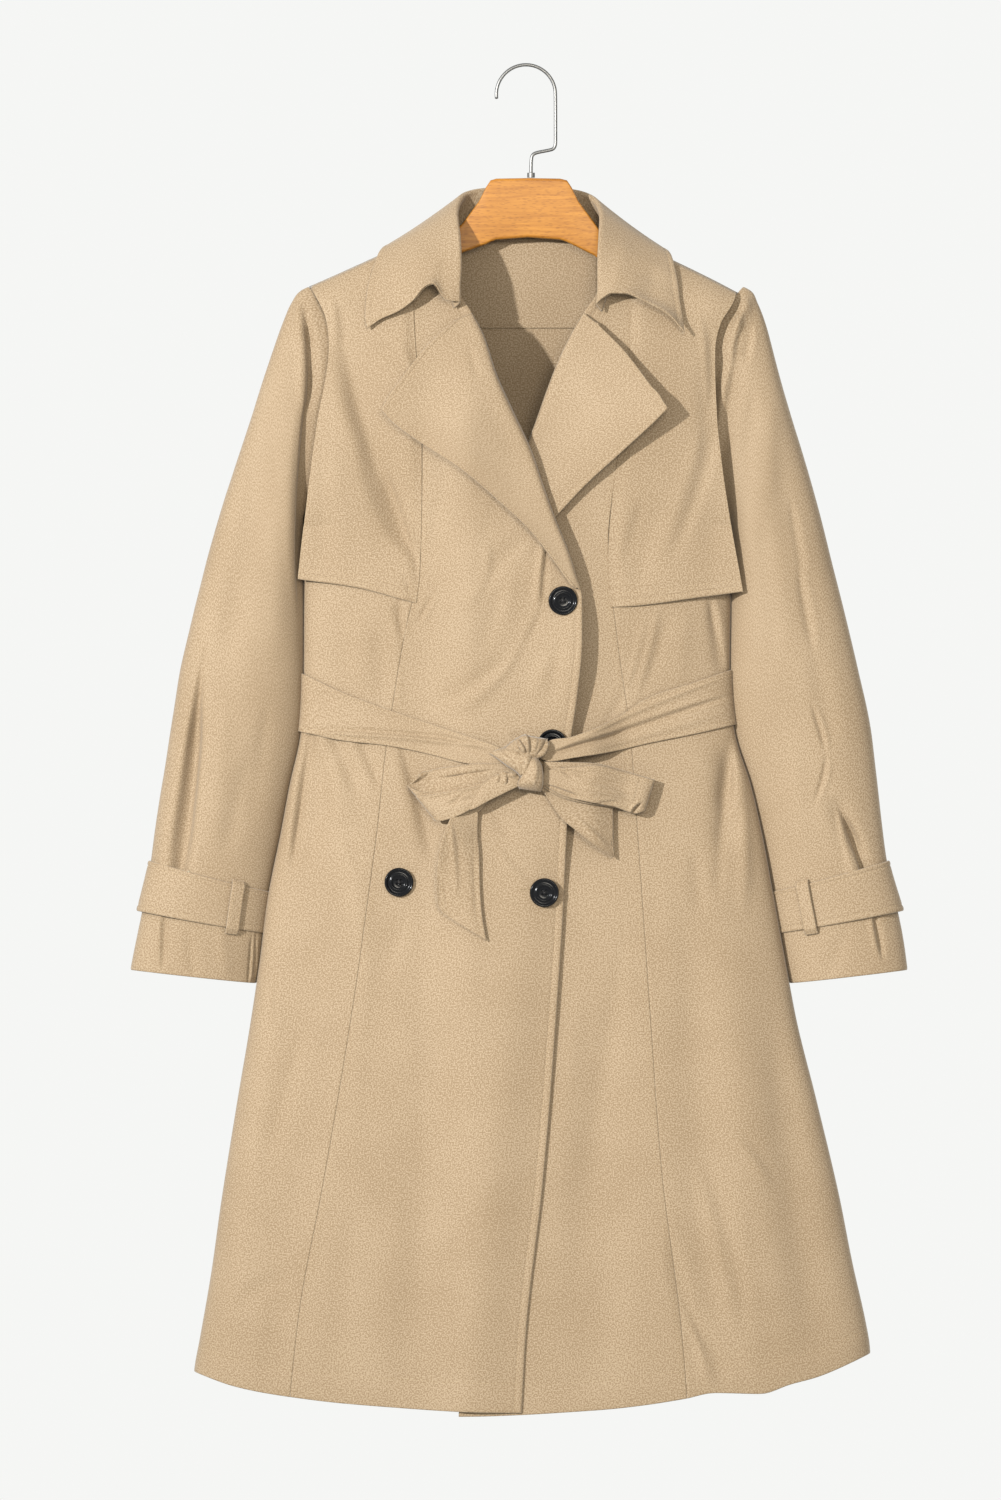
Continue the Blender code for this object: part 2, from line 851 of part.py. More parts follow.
def build_body():
    rows = np.array(BODY_ROWS) / (CORNER_DOWN - SHOULDER_DOWN)
    right_seam, left_seam = line(RIGHT_PRINCESS), line(LEFT_PRINCESS)
    right_edge, left_edge = line(RIGHT_FRONT_EDGE), line(LEFT_FRONT_EDGE)
    half = SEAM / 2
    quarter = math.pi / 2
    right_side = front_panel(-quarter, None, right_seam, 1, (0, -half))
    right_centre = front_panel(0, right_seam, right_edge, 1, (half, 0))
    left_side = front_panel(quarter, None, left_seam, 0, (0, half))
    left_centre = front_panel(0, left_seam, left_edge, 0, (-half, 0))
    cloth("side_front_right", right_side, even(8), rows, flip=True, side=-1)
    cloth("centre_front_right", right_centre, even(10), rows, flip=True, side=-1)
    cloth("side_front_left", left_side, even(8), rows, side=-1)
    cloth("centre_front_left", left_centre, even(9), rows, side=-1)

    def back(u, v):
        row = body_row(v)
        x = middle(row) + half_width(row) * np.sin(mix(-quarter, quarter, u))
        return back_skin(x, row)

    cloth("back", back, even(21), rows, side=1)


def build_neck_facing():
    """The facing inside the back of the neck, as far down as it shows."""

    def inside(u, v):
        x = mix(*NECK_FACING_X, u)
        down = mix(*NECK_FACING_DOWN, v)
        return back_skin(x, row_at(x, down, back_neck))

    facing = moved_out(inside, -(CLOTH + NECK_FACING_GAP))
    cloth("back_neck_facing", facing, even(9), even(4), NECK_FACING_THICK)


def flap_surface(side):
    right = side == "right"
    sign = -1 if right else 1
    outer = line(RIGHT_FLAP_OUTER if right else LEFT_FLAP_OUTER)
    lower = line(RIGHT_FLAP_LOWER if right else LEFT_FLAP_LOWER)
    princess = line(RIGHT_PRINCESS if right else LEFT_PRINCESS)
    edge = edge_right if right else edge_left

    def skin(u, v):
        nominal = mix(SHOULDER_DOWN, FLAP_ROW, v)
        across = 1 - np.cos(u * math.pi / 2)
        x = mix(outer(nominal), princess(nominal) + sign * FLAP_FROM_SEAM, across)
        down = mix(shoulder(x) + FLAP_BELOW_SHOULDER, lower(x), v)
        limit = sign * edge(nominal) - mix(*FLAP_INSIDE, ease(0.25, 0.8, v))
        short = (limit - sign * x) / FLAP_TURN
        held = sign * (limit - FLAP_TURN * np.log1p(np.exp(short)))
        points = on_front(held, down, 1 if right else 0)
        beyond = np.abs(x - held)
        points[..., 0] = x
        free = ease(0.4, 1.0, v) * (1 - across) ** 2
        points[..., 1] = points[..., 1] + FLAP_SLOPE * beyond - FLAP_STAND[side] * free
        return points

    return skin


def build_flaps():
    rows = np.array((0, 0.02, 0.05, 0.1, 0.18, 0.28, 0.4, 0.52, 0.64, 0.76, 0.88, 1))
    for side in ("right", "left"):
        flip = side == "right"
        lifted = moved_out(flap_surface(side), FLAP_GAP + CLOTH, flip=flip)
        cloth("gun_flap_" + side, lifted, even(8), rows, flip=flip)


def lapel_surface(edge_line, lapel_rows, lowest, over, roll_height):
    """From the roll line (u = 0) to the lapel's outer edge, and from its break (v = 0) to the gorge."""
    edge_x, edge_down, edge_lift = (line(lapel_rows, column) for column in (1, 2, 3))

    def skin(u, v):
        roll_down = mix(lowest, GORGE, v)
        roll_x = edge_line(roll_down)
        x = mix(roll_x, edge_x(v), u)
        down = mix(roll_down, edge_down(v), u)
        width = np.hypot(edge_x(v) - roll_x, edge_down(v) - roll_down)
        from_roll = u * width
        height = roll_height * np.minimum(width / LAPEL_FULL, 1)
        lift = LAPEL_GAP + FACED * u + height * rounded(from_roll / LAPEL_ROLL) + edge_lift(v) * u**2
        points = on_front(x, down, over)
        points[..., 1] = points[..., 1] - lift
        return points

    return skin


def build_lapels():
    across = np.array((0, 0.03, 0.09, 0.25, 0.45, 0.7, 1.0))
    for side, edge_rows, lapel, lowest, over, height in (
        ("right", RIGHT_FRONT_EDGE, RIGHT_LAPEL, RIGHT_BREAK, 1, 5.0),
        ("left", LEFT_FRONT_EDGE, LEFT_LAPEL, LEFT_BREAK, 0, 2.0),
    ):
        skin = lapel_surface(line(edge_rows), lapel, lowest, over, height)
        along = np.array([row[0] for row in lapel])
        cloth("lapel_" + side, skin, across, along, FACED, flip=side == "left")


# ---------------------------------------------------------------------------------------------- collar


def table_point(rows, at, columns):
    x, y, down = (line(rows, column)(at) for column in columns)
    return np.stack((x, y, -down), axis=-1)


def leaf_curl(along, across):
    """The curl of the collar's two ends, fading towards the back of the neck."""
    total = 0
    for columns, fold_at, away in (((1, 2, 3), COLLAR[0], along), ((4, 5, 6), COLLAR[-1], 1 - along)):
        fold = np.array((fold_at[4], fold_at[5], -fold_at[6]))
        tip = np.array((fold_at[7], fold_at[8], -fold_at[9]))
        straight = mix(fold, tip, across[..., None])
        curl = table_point(COLLAR_ENDS, across, columns) - straight
        fade = np.clip(1 - away / END_CURL, 0, 1) ** 2
        total = total + curl * fade[..., None]
    return total


def off_the_stand(u):
    """Unit directions square to the stand, away from the neck."""
    near, far = np.clip(u - 0.02, 0, 1), np.clip(u + 0.02, 0, 1)
    along = table_point(COLLAR, far, (4, 5, 6)) - table_point(COLLAR, near, (4, 5, 6))
    up = table_point(COLLAR, u, (4, 5, 6)) - table_point(COLLAR, u, (1, 2, 3))
    away = np.cross(up, along)
    return away / np.linalg.norm(away, axis=-1, keepdims=True)


def unit(vectors):
    return vectors / np.linalg.norm(vectors, axis=-1, keepdims=True)


def collar_skin(u, v):
    """Along the collar (u) from the wearer's right, and from neck seam to outer edge (v)."""
    u, v = np.broadcast_arrays(np.asarray(u, float), np.asarray(v, float))
    neck = table_point(COLLAR, u, (1, 2, 3))
    fold = table_point(COLLAR, u, (4, 5, 6))
    outer = table_point(COLLAR, u, (7, 8, 9))
    up = unit(fold - neck)
    away = off_the_stand(u)
    top = fold - COLLAR_ROLL * up
    stand = mix(neck, top, np.clip(v / STAND_SHARE, 0, 1)[..., None])

    early = np.full(u.shape, LEAF_START)
    heading = unit(mix(fold, outer, LEAF_START) + leaf_curl(u, early) - fold)
    turn = np.arccos(np.clip((up * heading).sum(axis=-1, keepdims=True), -1, LEAST_FOLD))

    def rolled(share):
        return top + COLLAR_ROLL * (away * (1 - np.cos(turn * share)) + up * np.sin(turn * share))

    share = np.clip((v - STAND_SHARE) / (FOLD_SHARE - STAND_SHARE), 0, 1)[..., None]
    fall = np.clip((v - FOLD_SHARE) / (1 - FOLD_SHARE), 0, 1)
    leaf = mix(rolled(1.0), outer, fall[..., None]) + leaf_curl(u, fall)
    points = np.where((v < STAND_SHARE)[..., None], stand, rolled(share))
    return np.where((v > FOLD_SHARE)[..., None], leaf, points)


def build_collar():
    along = np.concatenate((np.linspace(0, 0.2, 6), np.linspace(0.24, 0.76, 14), np.linspace(0.8, 1, 6)))
    stand = np.array((0, 0.5, 1)) * STAND_SHARE
    roll = mix(STAND_SHARE, FOLD_SHARE, np.array((0.3, 0.65, 1)))
    leaf = mix(FOLD_SHARE, 1, np.array((0.08, 0.2, 0.35, 0.5, 0.67, 0.84, 1)))
    cloth("collar", collar_skin, along, np.concatenate((stand, roll, leaf)), COLLAR_THICK)


# ---------------------------------------------------------------------------------------------- sleeves


def sleeve_surface(side):
    """Round the sleeve (u) from its outer side over the front, and along it (v) from armhole to cuff."""
    sign = -1 if side == "right" else 1
    outer_x = line(SLEEVE_OUTER, 1 if side == "right" else 2)
    body_x = edge_right if side == "right" else edge_left
    clear = line(SLEEVE_CLEAR)
    outer_down, inner_down = line(SLEEVE_RINGS, 1), line(SLEEVE_RINGS, 2)
    front, rear = line(SLEEVE_RINGS, 3), line(SLEEVE_RINGS, 4)
    folds = SLEEVE_FOLDS[side]

    def straight_across(v, share):
        high, low = outer_down(v), inner_down(v)
        inner = body_x(low) + sign * clear(low)
        return mix(outer_x(high), inner, share), mix(high, low, share)

    def skin(u, v):
        turn = 2 * math.pi * u
        share = (1 - np.cos(turn)) / 2
        x, down = straight_across(v, share)
        first_x, first_down = straight_across(0.0, share)
        armhole = side_x(body_x, first_down) + sign * ARMHOLE_CLEAR
        x = x + (armhole - first_x) * np.clip(1 - v / ARMHOLE_BLEND, 0, 1) ** 2
        around = np.sin(turn)
        depth = np.where(around > 0, front(v), rear(v))
        deep = depth * np.sign(around) * np.abs(around) ** mix(0.75, 0.8, v)
        pressed = fold_depth(folds, x, down) * ease(0.1, 0.6, around)
        return np.stack((x, -(deep - pressed), -down), axis=-1)

    return skin


def build_sleeves():
    around = np.arange(SLEEVE_ROUND) / SLEEVE_ROUND
    along = np.array([row[0] for row in SLEEVE_RINGS])
    along = np.sort(np.concatenate((along, (0.25, 0.35, 0.65, 0.95))))
    for side in ("right", "left"):
        flip = side == "right"
        skin = sleeve_surface(side)
        cloth("sleeve_" + side, skin, around, along, flip=flip, wraps=True)
        build_cuff_strap(side, skin, flip)


def build_cuff_strap(side, skin, flip):
    """The strap round the cuff, and the loop that holds it."""
    upper, lower = STRAP_ROWS

    def ring(u, v):
        return skin(u, mix(upper, lower, v))

    def strap_out(u, v):
        return STRAP_OUT + CLOTH + STRAP_FLARE * v * (0.5 + 0.5 * np.cos(2 * math.pi * u)) ** 2

    strap = moved_out(ring, strap_out, flip=flip, wraps=True)
    around = np.arange(SLEEVE_ROUND) / SLEEVE_ROUND
    cloth("cuff_strap_" + side, strap, around, even(3), flip=flip, wraps=True)

    def loop_ring(u, v):
        down_share = mix(-LOOP_BEYOND, 1 + LOOP_BEYOND, v)
        turn = LOOP_TURN + (u - 0.5) * 2 * LOOP_HALF / CUFF_ROUND
        return skin(turn, mix(upper, lower, down_share))

    def loop_out(u, v):
        return CLOTH + LOOP_GAP + LOOP_OUT * ease(0.0, 0.1, v) * ease(1.0, 0.9, v)

    loop = moved_out(loop_ring, loop_out, flip=flip)
    cloth("cuff_loop_" + side, loop, even(2), np.array((0, 0.05, 0.1, 0.5, 0.9, 0.95, 1)), flip=flip)


# ---------------------------------------------------------------------------------------------- belt


def belt_height(x):
    """The belt and its knot lie on the cloth, and stand clear of the waist button near the knot."""
    return mix(KNOT_OUT, BAND_OUT, ease(*KNOT_REACH, np.abs(x - KNOT_X)))


def over_the_step(points):
    """Lifts points of the front so that the step down to the left front is smoothed."""
    x = points[..., 0]
    step = WRAP_OVER * ease(*STEP_RIGHT, x) * (1 - ease(*STEP_LEFT, x))
    points[..., 1] = points[..., 1] - step
    return points


def belt_base(x, down):
    """The front as the knot, the bow and the tails lie on it."""
    return over_the_step(on_front(x, down, 0))


def round_the_waist(rows, first_turn, last_x, top, u, v):
    """x and nominal row of a point of a belt, from an angle round the body (u = 0) to a given x (u = 1)."""
    upper, lower = line(rows, 1), line(rows, 2)
    row = np.full(np.broadcast(u, v).shape, WAIST_ROW)
    for _ in range(30):
        last_turn = turn_of(last_x, row)
        x = middle(row) + half_width(row) * np.sin(mix(first_turn, last_turn, u))
        row = row + 0.8 * (mix(upper(x), lower(x), v) - true_down(x, row, top))
    return x, row


def band_surface(rows, turn_side):
    last_x = rows[-1][0] if turn_side < 0 else rows[0][0]

    def skin(u, v):
        x, row = round_the_waist(rows, turn_side * math.pi / 2, last_x, shoulder, u, v)
        return over_the_step(front_skin(x, row, 0))

    return skin


def build_belt():
    for side, rows, turn_side in (("right", RIGHT_BAND, -1), ("left", LEFT_BAND, 1)):
        flip = side == "right"
        base = band_surface(rows, turn_side)

        def out(u, v, base=base):
            return CLOTH + belt_height(base(u, v)[..., 0])

        band = moved_out(base, out, flip=flip)
        cloth("belt_band_" + side, band, even(13) ** 1.5, even(4), flip=flip, side=-1)

    def back(u, v):
        return back_skin(*round_the_waist(BACK_BAND, -math.pi / 2, 1e3, back_neck, u, v))

    around = (1 - np.cos(math.pi * even(17))) / 2
    cloth("belt_back", moved_out(back, CLOTH + BAND_OUT), around, even(3), side=1)


def build_knot():
    """The wrapped knot: a closed, rounded lump of belt."""
    sides = 14
    points = []
    for down, x, half, deep in KNOT:
        base = belt_base(np.array(float(x)), np.array(float(down)))[1] - KNOT_MIDDLE_OUT
        for k in range(sides):
            turn = 2 * math.pi * k / sides
            points.append((x + half * math.cos(turn), base + deep * math.sin(turn), -down))
    faces = []
    for j in range(len(KNOT) - 1):
        for k in range(sides):
            a, b = j * sides + k, j * sides + (k + 1) % sides
            faces.append((b, a, a + sides, b + sides))
    faces.append(tuple(range(sides)))
    faces.append(tuple(reversed(range(len(points) - sides, len(points)))))
    place("belt_knot", points, faces, "cloth")


def bow_surface(rows):
    """Out along the front layer, round the end and back along the rear one (u); across the belt (v)."""
    upper_x, upper_down, lower_x, lower_down, gap = (line(rows, column) for column in range(1, 6))
    fold_half = 4.0

    def skin(u, v):
        along = 1 - np.abs(1 - 2 * u)
        end = rounded(np.clip((1 - along) / 0.12, 0, 1))
        x = mix(upper_x(along), lower_x(along), v)
        down = mix(upper_down(along), lower_down(along), v)
        half = np.where(along > 0.85, fold_half * end, gap(along))
        points = belt_base(x, down)
        points[..., 1] = points[..., 1] - BOW_OUT - np.where(u < 0.5, half, -half)
        return points

    return skin


def tail_surface(rows):
    edge_x, edge_down, other_x, other_down = (line(rows, column) for column in range(1, 5))

    def skin(u, v):
        x = mix(edge_x(u), other_x(u), v)
        down = mix(edge_down(u), other_down(u), v)
        points = belt_base(x, down)
        points[..., 1] = points[..., 1] - TAIL_OUT
        return points

    return skin


def build_bow():
    build_knot()
    out_and_back = np.array((0, 0.12, 0.25, 0.36, 0.43, 0.46, 0.48, 0.5, 0.52, 0.54, 0.57, 0.64, 0.75, 0.88, 1))
    for side, bow, tail in (("right", RIGHT_BOW, RIGHT_TAIL), ("left", LEFT_BOW, LEFT_TAIL)):
        cloth("bow_loop_" + side, bow_surface(bow), out_and_back, even(5), 1.2, flip=side == "left")
        cloth("belt_tail_" + side, tail_surface(tail), even(13), even(4), flip=side == "left")


# ---------------------------------------------------------------------------------------------- buttons


def turned(name, profile, sides, look):
    """A solid turned about its local Z from a profile that starts and ends on the axis."""
    points = [(0, 0, profile[0][1]), (0, 0, profile[-1][1])]
    for radius, height in profile[1:-1]:
        for k in range(sides):
            turn = 2 * math.pi * k / sides
            points.append((radius * math.cos(turn), radius * math.sin(turn), height))
    faces = []
    rings = len(profile) - 2
    for k in range(sides):
        after = (k + 1) % sides
        faces.append((0, 2 + k, 2 + after))
        last = 2 + (rings - 1) * sides
        faces.append((1, last + after, last + k))
        for j in range(rings - 1):
            low = 2 + j * sides
            faces.append((low + after, low + k, low + sides + k, low + sides + after))
    return place(name, points, faces, look)


def hole_cutter():
    """Four pins that a Boolean takes out of each button."""
    mesh = bmesh.new()
    for k in range(4):
        turn = math.radians(45 + 90 * k)
        pin = bmesh.ops.create_cone(
            mesh, cap_ends=True, segments=6, radius1=BUTTON_HOLE_RADIUS * MM,
            radius2=BUTTON_HOLE_RADIUS * MM, depth=2 * BUTTON_THICK * MM,
        )
        away = (BUTTON_HOLE_OFFSET * MM * math.cos(turn), BUTTON_HOLE_OFFSET * MM * math.sin(turn), 0)
        bmesh.ops.translate(mesh, verts=pin["verts"], vec=away)
    data = bpy.data.meshes.new("button_holes")
    mesh.to_mesh(data)
    mesh.free()
    cutter = bpy.data.objects.new("button_holes", data)
    cutter.hide_render = True
    cutter.display_type = "WIRE"
    bpy.context.scene.collection.objects.link(cutter)
    return cutter


def build_buttons():
    for name, x, down, lean in BUTTONS:
        base = on_front(np.array(float(x)), np.array(float(down)), 1)
        button = turned(name, BUTTON_PROFILE, BUTTON_SIDES, "horn")
        button.location = (x * MM, (base[1] - BUTTON_OUT) * MM, -down * MM)
        button.rotation_euler = (math.radians(90), 0, math.radians(lean))
        cutter = hole_cutter()
        cutter.name = name + "_holes"
        cutter.parent = button
        cut = button.modifiers.new("holes", "BOOLEAN")
        cut.operation = "DIFFERENCE"
        cut.solver = "EXACT"
        cut.object = cutter


# ---------------------------------------------------------------------------------------------- hanger


def wood_section(high, low):
    """A flat bar's section with rounded edges, as (y, down) points."""
    corner = 3
    points = []
    for y_sign, down, turn_from in ((1, high, 90), (1, low, 0), (-1, low, -90), (-1, high, -180)):
        inward = WOOD_EDGE if down == high else -WOOD_EDGE
        for k in range(corner):
            turn = math.radians(turn_from - 90 * k / (corner - 1))
            y = y_sign * (WOOD_HALF - WOOD_EDGE) + WOOD_EDGE * math.cos(turn)
            points.append((y, down + inward - WOOD_EDGE * math.sin(turn)))
    return points


def build_hanger():
    points, faces = [], []
    for x, high, low in HANGER_OUTLINE:
        points += [(x, y, -down) for y, down in wood_section(high, low)]
    size = len(points) // len(HANGER_OUTLINE)
    for j in range(len(HANGER_OUTLINE) - 1):
        for k in range(size):
            a, b = j * size + k, j * size + (k + 1) % size
            faces.append((b, a, a + size, b + size))
    faces.append(tuple(range(size)))
    faces.append(tuple(reversed(range(len(points) - size, len(points)))))
    place("hanger_wood", points, faces, "beech")


def hook_route():
    """The wire's centre line from its tip over the arc and down the offset shank."""
    radius = HOOK_RADIUS + WIRE_RADIUS
    route = []
    for k in range(20):
        turn = math.radians(HOOK_TIP_ANGLE * (1 - k / 19))
        route.append((radius * math.cos(turn), WIRE_RADIUS + radius * (math.sin(turn) - 1)))
    right = radius
    bend = 5.0
    route.append((right, -HOOK_STRAIGHT_DOWN + 3))
    route += turn_corner((right, -73.5), (-1, 0), (0, 1), bend)
    route += turn_corner((SHANK_X, -76.0), (0, -1), (1, 0.12), bend)
    route.append((SHANK_X, -SHANK_FOOT))
    return route


def turn_corner(corner, leave, arrive, size):
    """Three points that round a corner of the wire."""
    corner, leave, arrive = np.array(corner), np.array(leave, float), np.array(arrive, float)
    first = corner + arrive * size
    last = corner + leave * size
    middle_point = 0.25 * first + 0.5 * corner + 0.25 * last
    return [tuple(first), tuple(middle_point), tuple(last)]


def build_hook():
    curve = bpy.data.curves.new("hanger_hook", "CURVE")
    curve.dimensions = "3D"
    curve.bevel_depth = WIRE_RADIUS * MM
    curve.bevel_resolution = 2
    curve.use_fill_caps = True
    route = hook_route()
    spline = curve.splines.new("POLY")
    spline.points.add(len(route) - 1)
    for point, (x, z) in zip(spline.points, route):
        point.co = (x * MM, 0, z * MM, 1)
    curve.materials.append(material("steel"))
    hook = bpy.data.objects.new("hanger_hook", curve)
    bpy.context.scene.collection.objects.link(hook)


def build_ferrule():
    """The small metal ring where the wire enters the wood."""
    sides = 16
    inner = WIRE_RADIUS + SEAM
    foot = SHANK_FOOT + 0.3
    points = []
    for radius, height in (
        (FERRULE_RADIUS, 0), (FERRULE_RADIUS, FERRULE_HEIGHT), (inner, FERRULE_HEIGHT), (inner, 0),
    ):
        for k in range(sides):
            turn = 2 * math.pi * k / sides
            points.append((SHANK_X + radius * math.cos(turn), radius * math.sin(turn), height - foot))
    faces = []
    for j in range(4):
        for k in range(sides):
            a, b = j * sides + k, j * sides + (k + 1) % sides
            up = sides if j < 3 else -3 * sides
            faces.append((a, b, b + up, a + up))
    place("hanger_ferrule", points, faces, "steel")


# ---------------------------------------------------------------------------------------------- all


def clear_scene():
    for old in list(bpy.data.objects):
        bpy.data.objects.remove(old, do_unlink=True)


def main():
    clear_scene()
    build_body()
    build_neck_facing()
    build_flaps()
    build_lapels()
    build_collar()
    build_sleeves()
    build_belt()
    build_bow()
    build_buttons()
    build_hanger()
    build_hook()
    build_ferrule()


main()
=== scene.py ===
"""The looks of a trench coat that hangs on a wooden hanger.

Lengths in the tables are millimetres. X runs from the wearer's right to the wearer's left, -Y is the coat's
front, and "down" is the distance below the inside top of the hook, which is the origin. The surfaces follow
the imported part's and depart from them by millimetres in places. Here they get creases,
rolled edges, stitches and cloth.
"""
import math

import bpy
import numpy as np
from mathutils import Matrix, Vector

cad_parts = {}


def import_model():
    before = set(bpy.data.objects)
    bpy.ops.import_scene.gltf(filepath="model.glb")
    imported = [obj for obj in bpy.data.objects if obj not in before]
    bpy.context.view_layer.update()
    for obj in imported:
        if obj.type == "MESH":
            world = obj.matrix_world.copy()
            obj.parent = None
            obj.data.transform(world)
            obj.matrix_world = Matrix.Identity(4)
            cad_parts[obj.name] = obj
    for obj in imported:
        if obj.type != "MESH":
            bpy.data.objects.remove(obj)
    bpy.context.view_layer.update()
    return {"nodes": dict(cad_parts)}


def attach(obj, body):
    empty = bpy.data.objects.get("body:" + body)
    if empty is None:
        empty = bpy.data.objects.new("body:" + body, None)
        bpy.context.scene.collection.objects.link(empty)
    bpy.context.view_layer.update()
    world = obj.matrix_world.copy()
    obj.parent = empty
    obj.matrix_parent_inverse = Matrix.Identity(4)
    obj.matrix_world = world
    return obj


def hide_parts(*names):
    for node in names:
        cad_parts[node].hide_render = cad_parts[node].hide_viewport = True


MM = 0.001
SEAM = 0.3  # between two pieces that are sewn edge to edge
CLOTH = 1.5  # one layer of cloth
FACED = 2.4  # cloth with its facing, as in a lapel
STEP = 1e-3  # share of a piece used to measure its slope

SHOULDER_DOWN = 197.0  # the shoulder tips, where the nominal rows start
CORNER_DOWN = 1144.0  # the hem's side corners, where they end
UNDERARM_DOWN = 407.0
SHOULDER_ROLL = 30.0  # the cloth rounds over the hanger within this height
SECTION_POWER = 0.65  # below 1 the flattened section has fuller sides
ARMHOLE_HALF_GAP = 19.0  # between the front and back edges of an armhole
TIP_GAP = 9.0  # what the hanger's thickness adds to it at the shoulder tips
TIP_SHARE = 0.76  # of half the width: where the tips start
TIP_FADE = 60.0  # they fade within this height
SIDE_CALM = 0.9  # of half the width: folds die out from here to the side seams
WRAP_OVER = 11.5  # the right front stands this far above the left one

# ---------------------------------------------------------------------------------------------- tables

# down, wearer's right edge x, wearer's left edge x
BODY_EDGES = (
    (197, -190, 186),
    (210, -184, 179),
    (228, -177, 171),
    (254, -173, 166),
    (293, -177, 166),
    (337, -184, 170),
    (381, -191, 175),
    (407, -194, 178),
    (453, -195, 180),
    (528, -195, 179),
    (586, -198, 184),
    (626, -207, 197),
    (668, -215, 207),
    (722, -226, 217),
    (783, -234, 228),
    (836, -242, 238),
    (901, -253, 254),
    (989, -267, 274),
    (1054, -276, 286),
    (1120, -287, 299),
    (1144, -291, 302),
)

# down, front depth, back depth: from the side seams' plane to the middle of the panel
BODY_DEPTHS = (
    (100, 13, 13),
    (200, 17, 15),
    (270, 24, 18),
    (340, 31, 22),
    (400, 35, 25),
    (470, 35, 25),
    (560, 30, 21),
    (620, 32, 22),
    (700, 38, 26),
    (800, 43, 30),
    (950, 48, 34),
    (1180, 55, 39),
)

# x, down: where the front meets the back over the shoulders, carried on above the open neck
SHOULDER_LINE = (
    (-210, 202),
    (-199, 197),
    (-154, 177),
    (-110, 157),
    (-66, 137),
    (0, 60),
    (68, 142),
    (110, 161),
    (152, 181),
    (195, 203),
    (210, 210),
)

# x, down
BACK_NECK = (
    (-210, 202),
    (-199, 197),
    (-154, 177),
    (-110, 157),
    (-72, 140),
    (-50, 146),
    (0, 150),
    (52, 149),
    (74, 145),
    (110, 161),
    (152, 181),
    (195, 203),
    (210, 210),
)

# x, down: the lower edge of the fronts
HEM = (
    (-291, 1144),
    (-255, 1156),
    (-189, 1167),
    (-110, 1174),
    (-59, 1177),
    (-3, 1178),
    (60, 1176),
    (100, 1172),
    (139, 1166),
    (165, 1161),
    (205, 1162),
    (231, 1154),
    (257, 1147),
    (302, 1128),
)

# down, x: from the neck along the lapel's roll, then the front edge
RIGHT_FRONT_EDGE = (
    (131, -67),
    (180, -65),
    (200, -58),
    (216, -48),
    (234, -38),
    (272, -25),
    (301, -12),
    (338, 5),
    (370, 16),
    (398, 26),
    (425, 37),
    (451, 45),
    (466, 49),
    (500, 49),
    (558, 44),
    (587, 40),
    (668, 36),
    (768, 31),
    (976, 15),
    (1098, 1),
    (1180, -4),
)
LEFT_FRONT_EDGE = (
    (131, 70),
    (180, 69),
    (200, 62),
    (218, 50),
    (231, 42),
    (257, 29),
    (285, 18),
    (316, 7),
    (346, -5),
    (381, -18),
    (420, -31),
    (446, -35),
    (556, -36),
    (731, -42),
    (906, -49),
    (1180, -59),
)

# down, x: the long seams between side front and centre front
RIGHT_PRINCESS = (
    (131, -99),
    (249, -98),
    (337, -91),
    (433, -93),
    (503, -107),
    (603, -123),
    (668, -130),
    (821, -151),
    (982, -178),
    (1082, -197),
    (1180, -208),
)
LEFT_PRINCESS = (
    (131, 93),
    (293, 89),
    (382, 75),
    (416, 72),
    (503, 80),
    (582, 91),
    (661, 97),
    (821, 108),
    (980, 120),
    (1086, 134),
    (1180, 142),
)

# x and down of both ends, half width, depth: soft troughs, or ridges where the depth is negative
FRONT_FOLDS = (
    (-165, 318, -104, 432, 15, 3.5),
    (-176, 590, -192, 700, 12, 5.0),
    (176, 588, 174, 690, 11, 5.0),
    (-236, 720, -262, 1150, 26, -3.2),
    (-186, 760, -214, 1160, 22, 2.4),
    (-60, 790, -110, 1176, 30, 2.8),
    (-18, 770, -40, 1176, 22, -1.9),
    (70, 760, 62, 1176, 26, 2.8),
    (170, 720, 214, 1160, 24, -3.4),
    (140, 740, 166, 1150, 20, 3.0),
    (214, 800, 258, 1140, 18, 2.6),
    (112, 380, 96, 460, 12, 2.5),
)
BACK_FOLDS = (
    (-120, 600, -176, 1170, 30, 5.0),
    (-40, 600, -60, 1172, 30, -5.0),
    (26, 610, 40, 1172, 28, 5.0),
    (110, 600, 150, 1168, 30, -5.0),
    (186, 640, 226, 1150, 24, 5.0),
    (-150, 330, -90, 470, 20, 3.0),
    (140, 330, 80, 470, 20, 3.0),
)

# along the sleeve, outer down, inner down, front depth, back depth
SLEEVE_RINGS = (
    (0.00, 193, 410, 19, 19),
    (0.02, 198, 411, 21, 20),
    (0.06, 212, 415, 24, 22),
    (0.12, 238, 425, 27, 24),
    (0.20, 278, 446, 31, 26),
    (0.30, 330, 478, 32, 27),
    (0.40, 386, 515, 32, 27),
    (0.50, 446, 556, 31, 26),
    (0.60, 508, 598, 30, 26),
    (0.70, 570, 641, 29, 25),
    (0.80, 632, 682, 28, 24),
    (0.90, 702, 728, 26, 23),
    (1.00, 792, 804, 26, 23),
)
# down, wearer's right x, wearer's left x: the outer side of each sleeve
SLEEVE_OUTER = (
    (193, -192, 188),
    (197, -199, 195),
    (207, -206, 201),
    (223, -213, 208),
    (267, -228, 221),
    (311, -242, 234),
    (354, -256, 247),
    (398, -270, 259),
    (442, -282, 270),
    (486, -293, 281),
    (529, -303, 291),
    (573, -310, 301),
    (617, -317, 307),
    (661, -324, 312),
    (704, -330, 318),
    (748, -338, 328),
    (792, -347, 335),
)
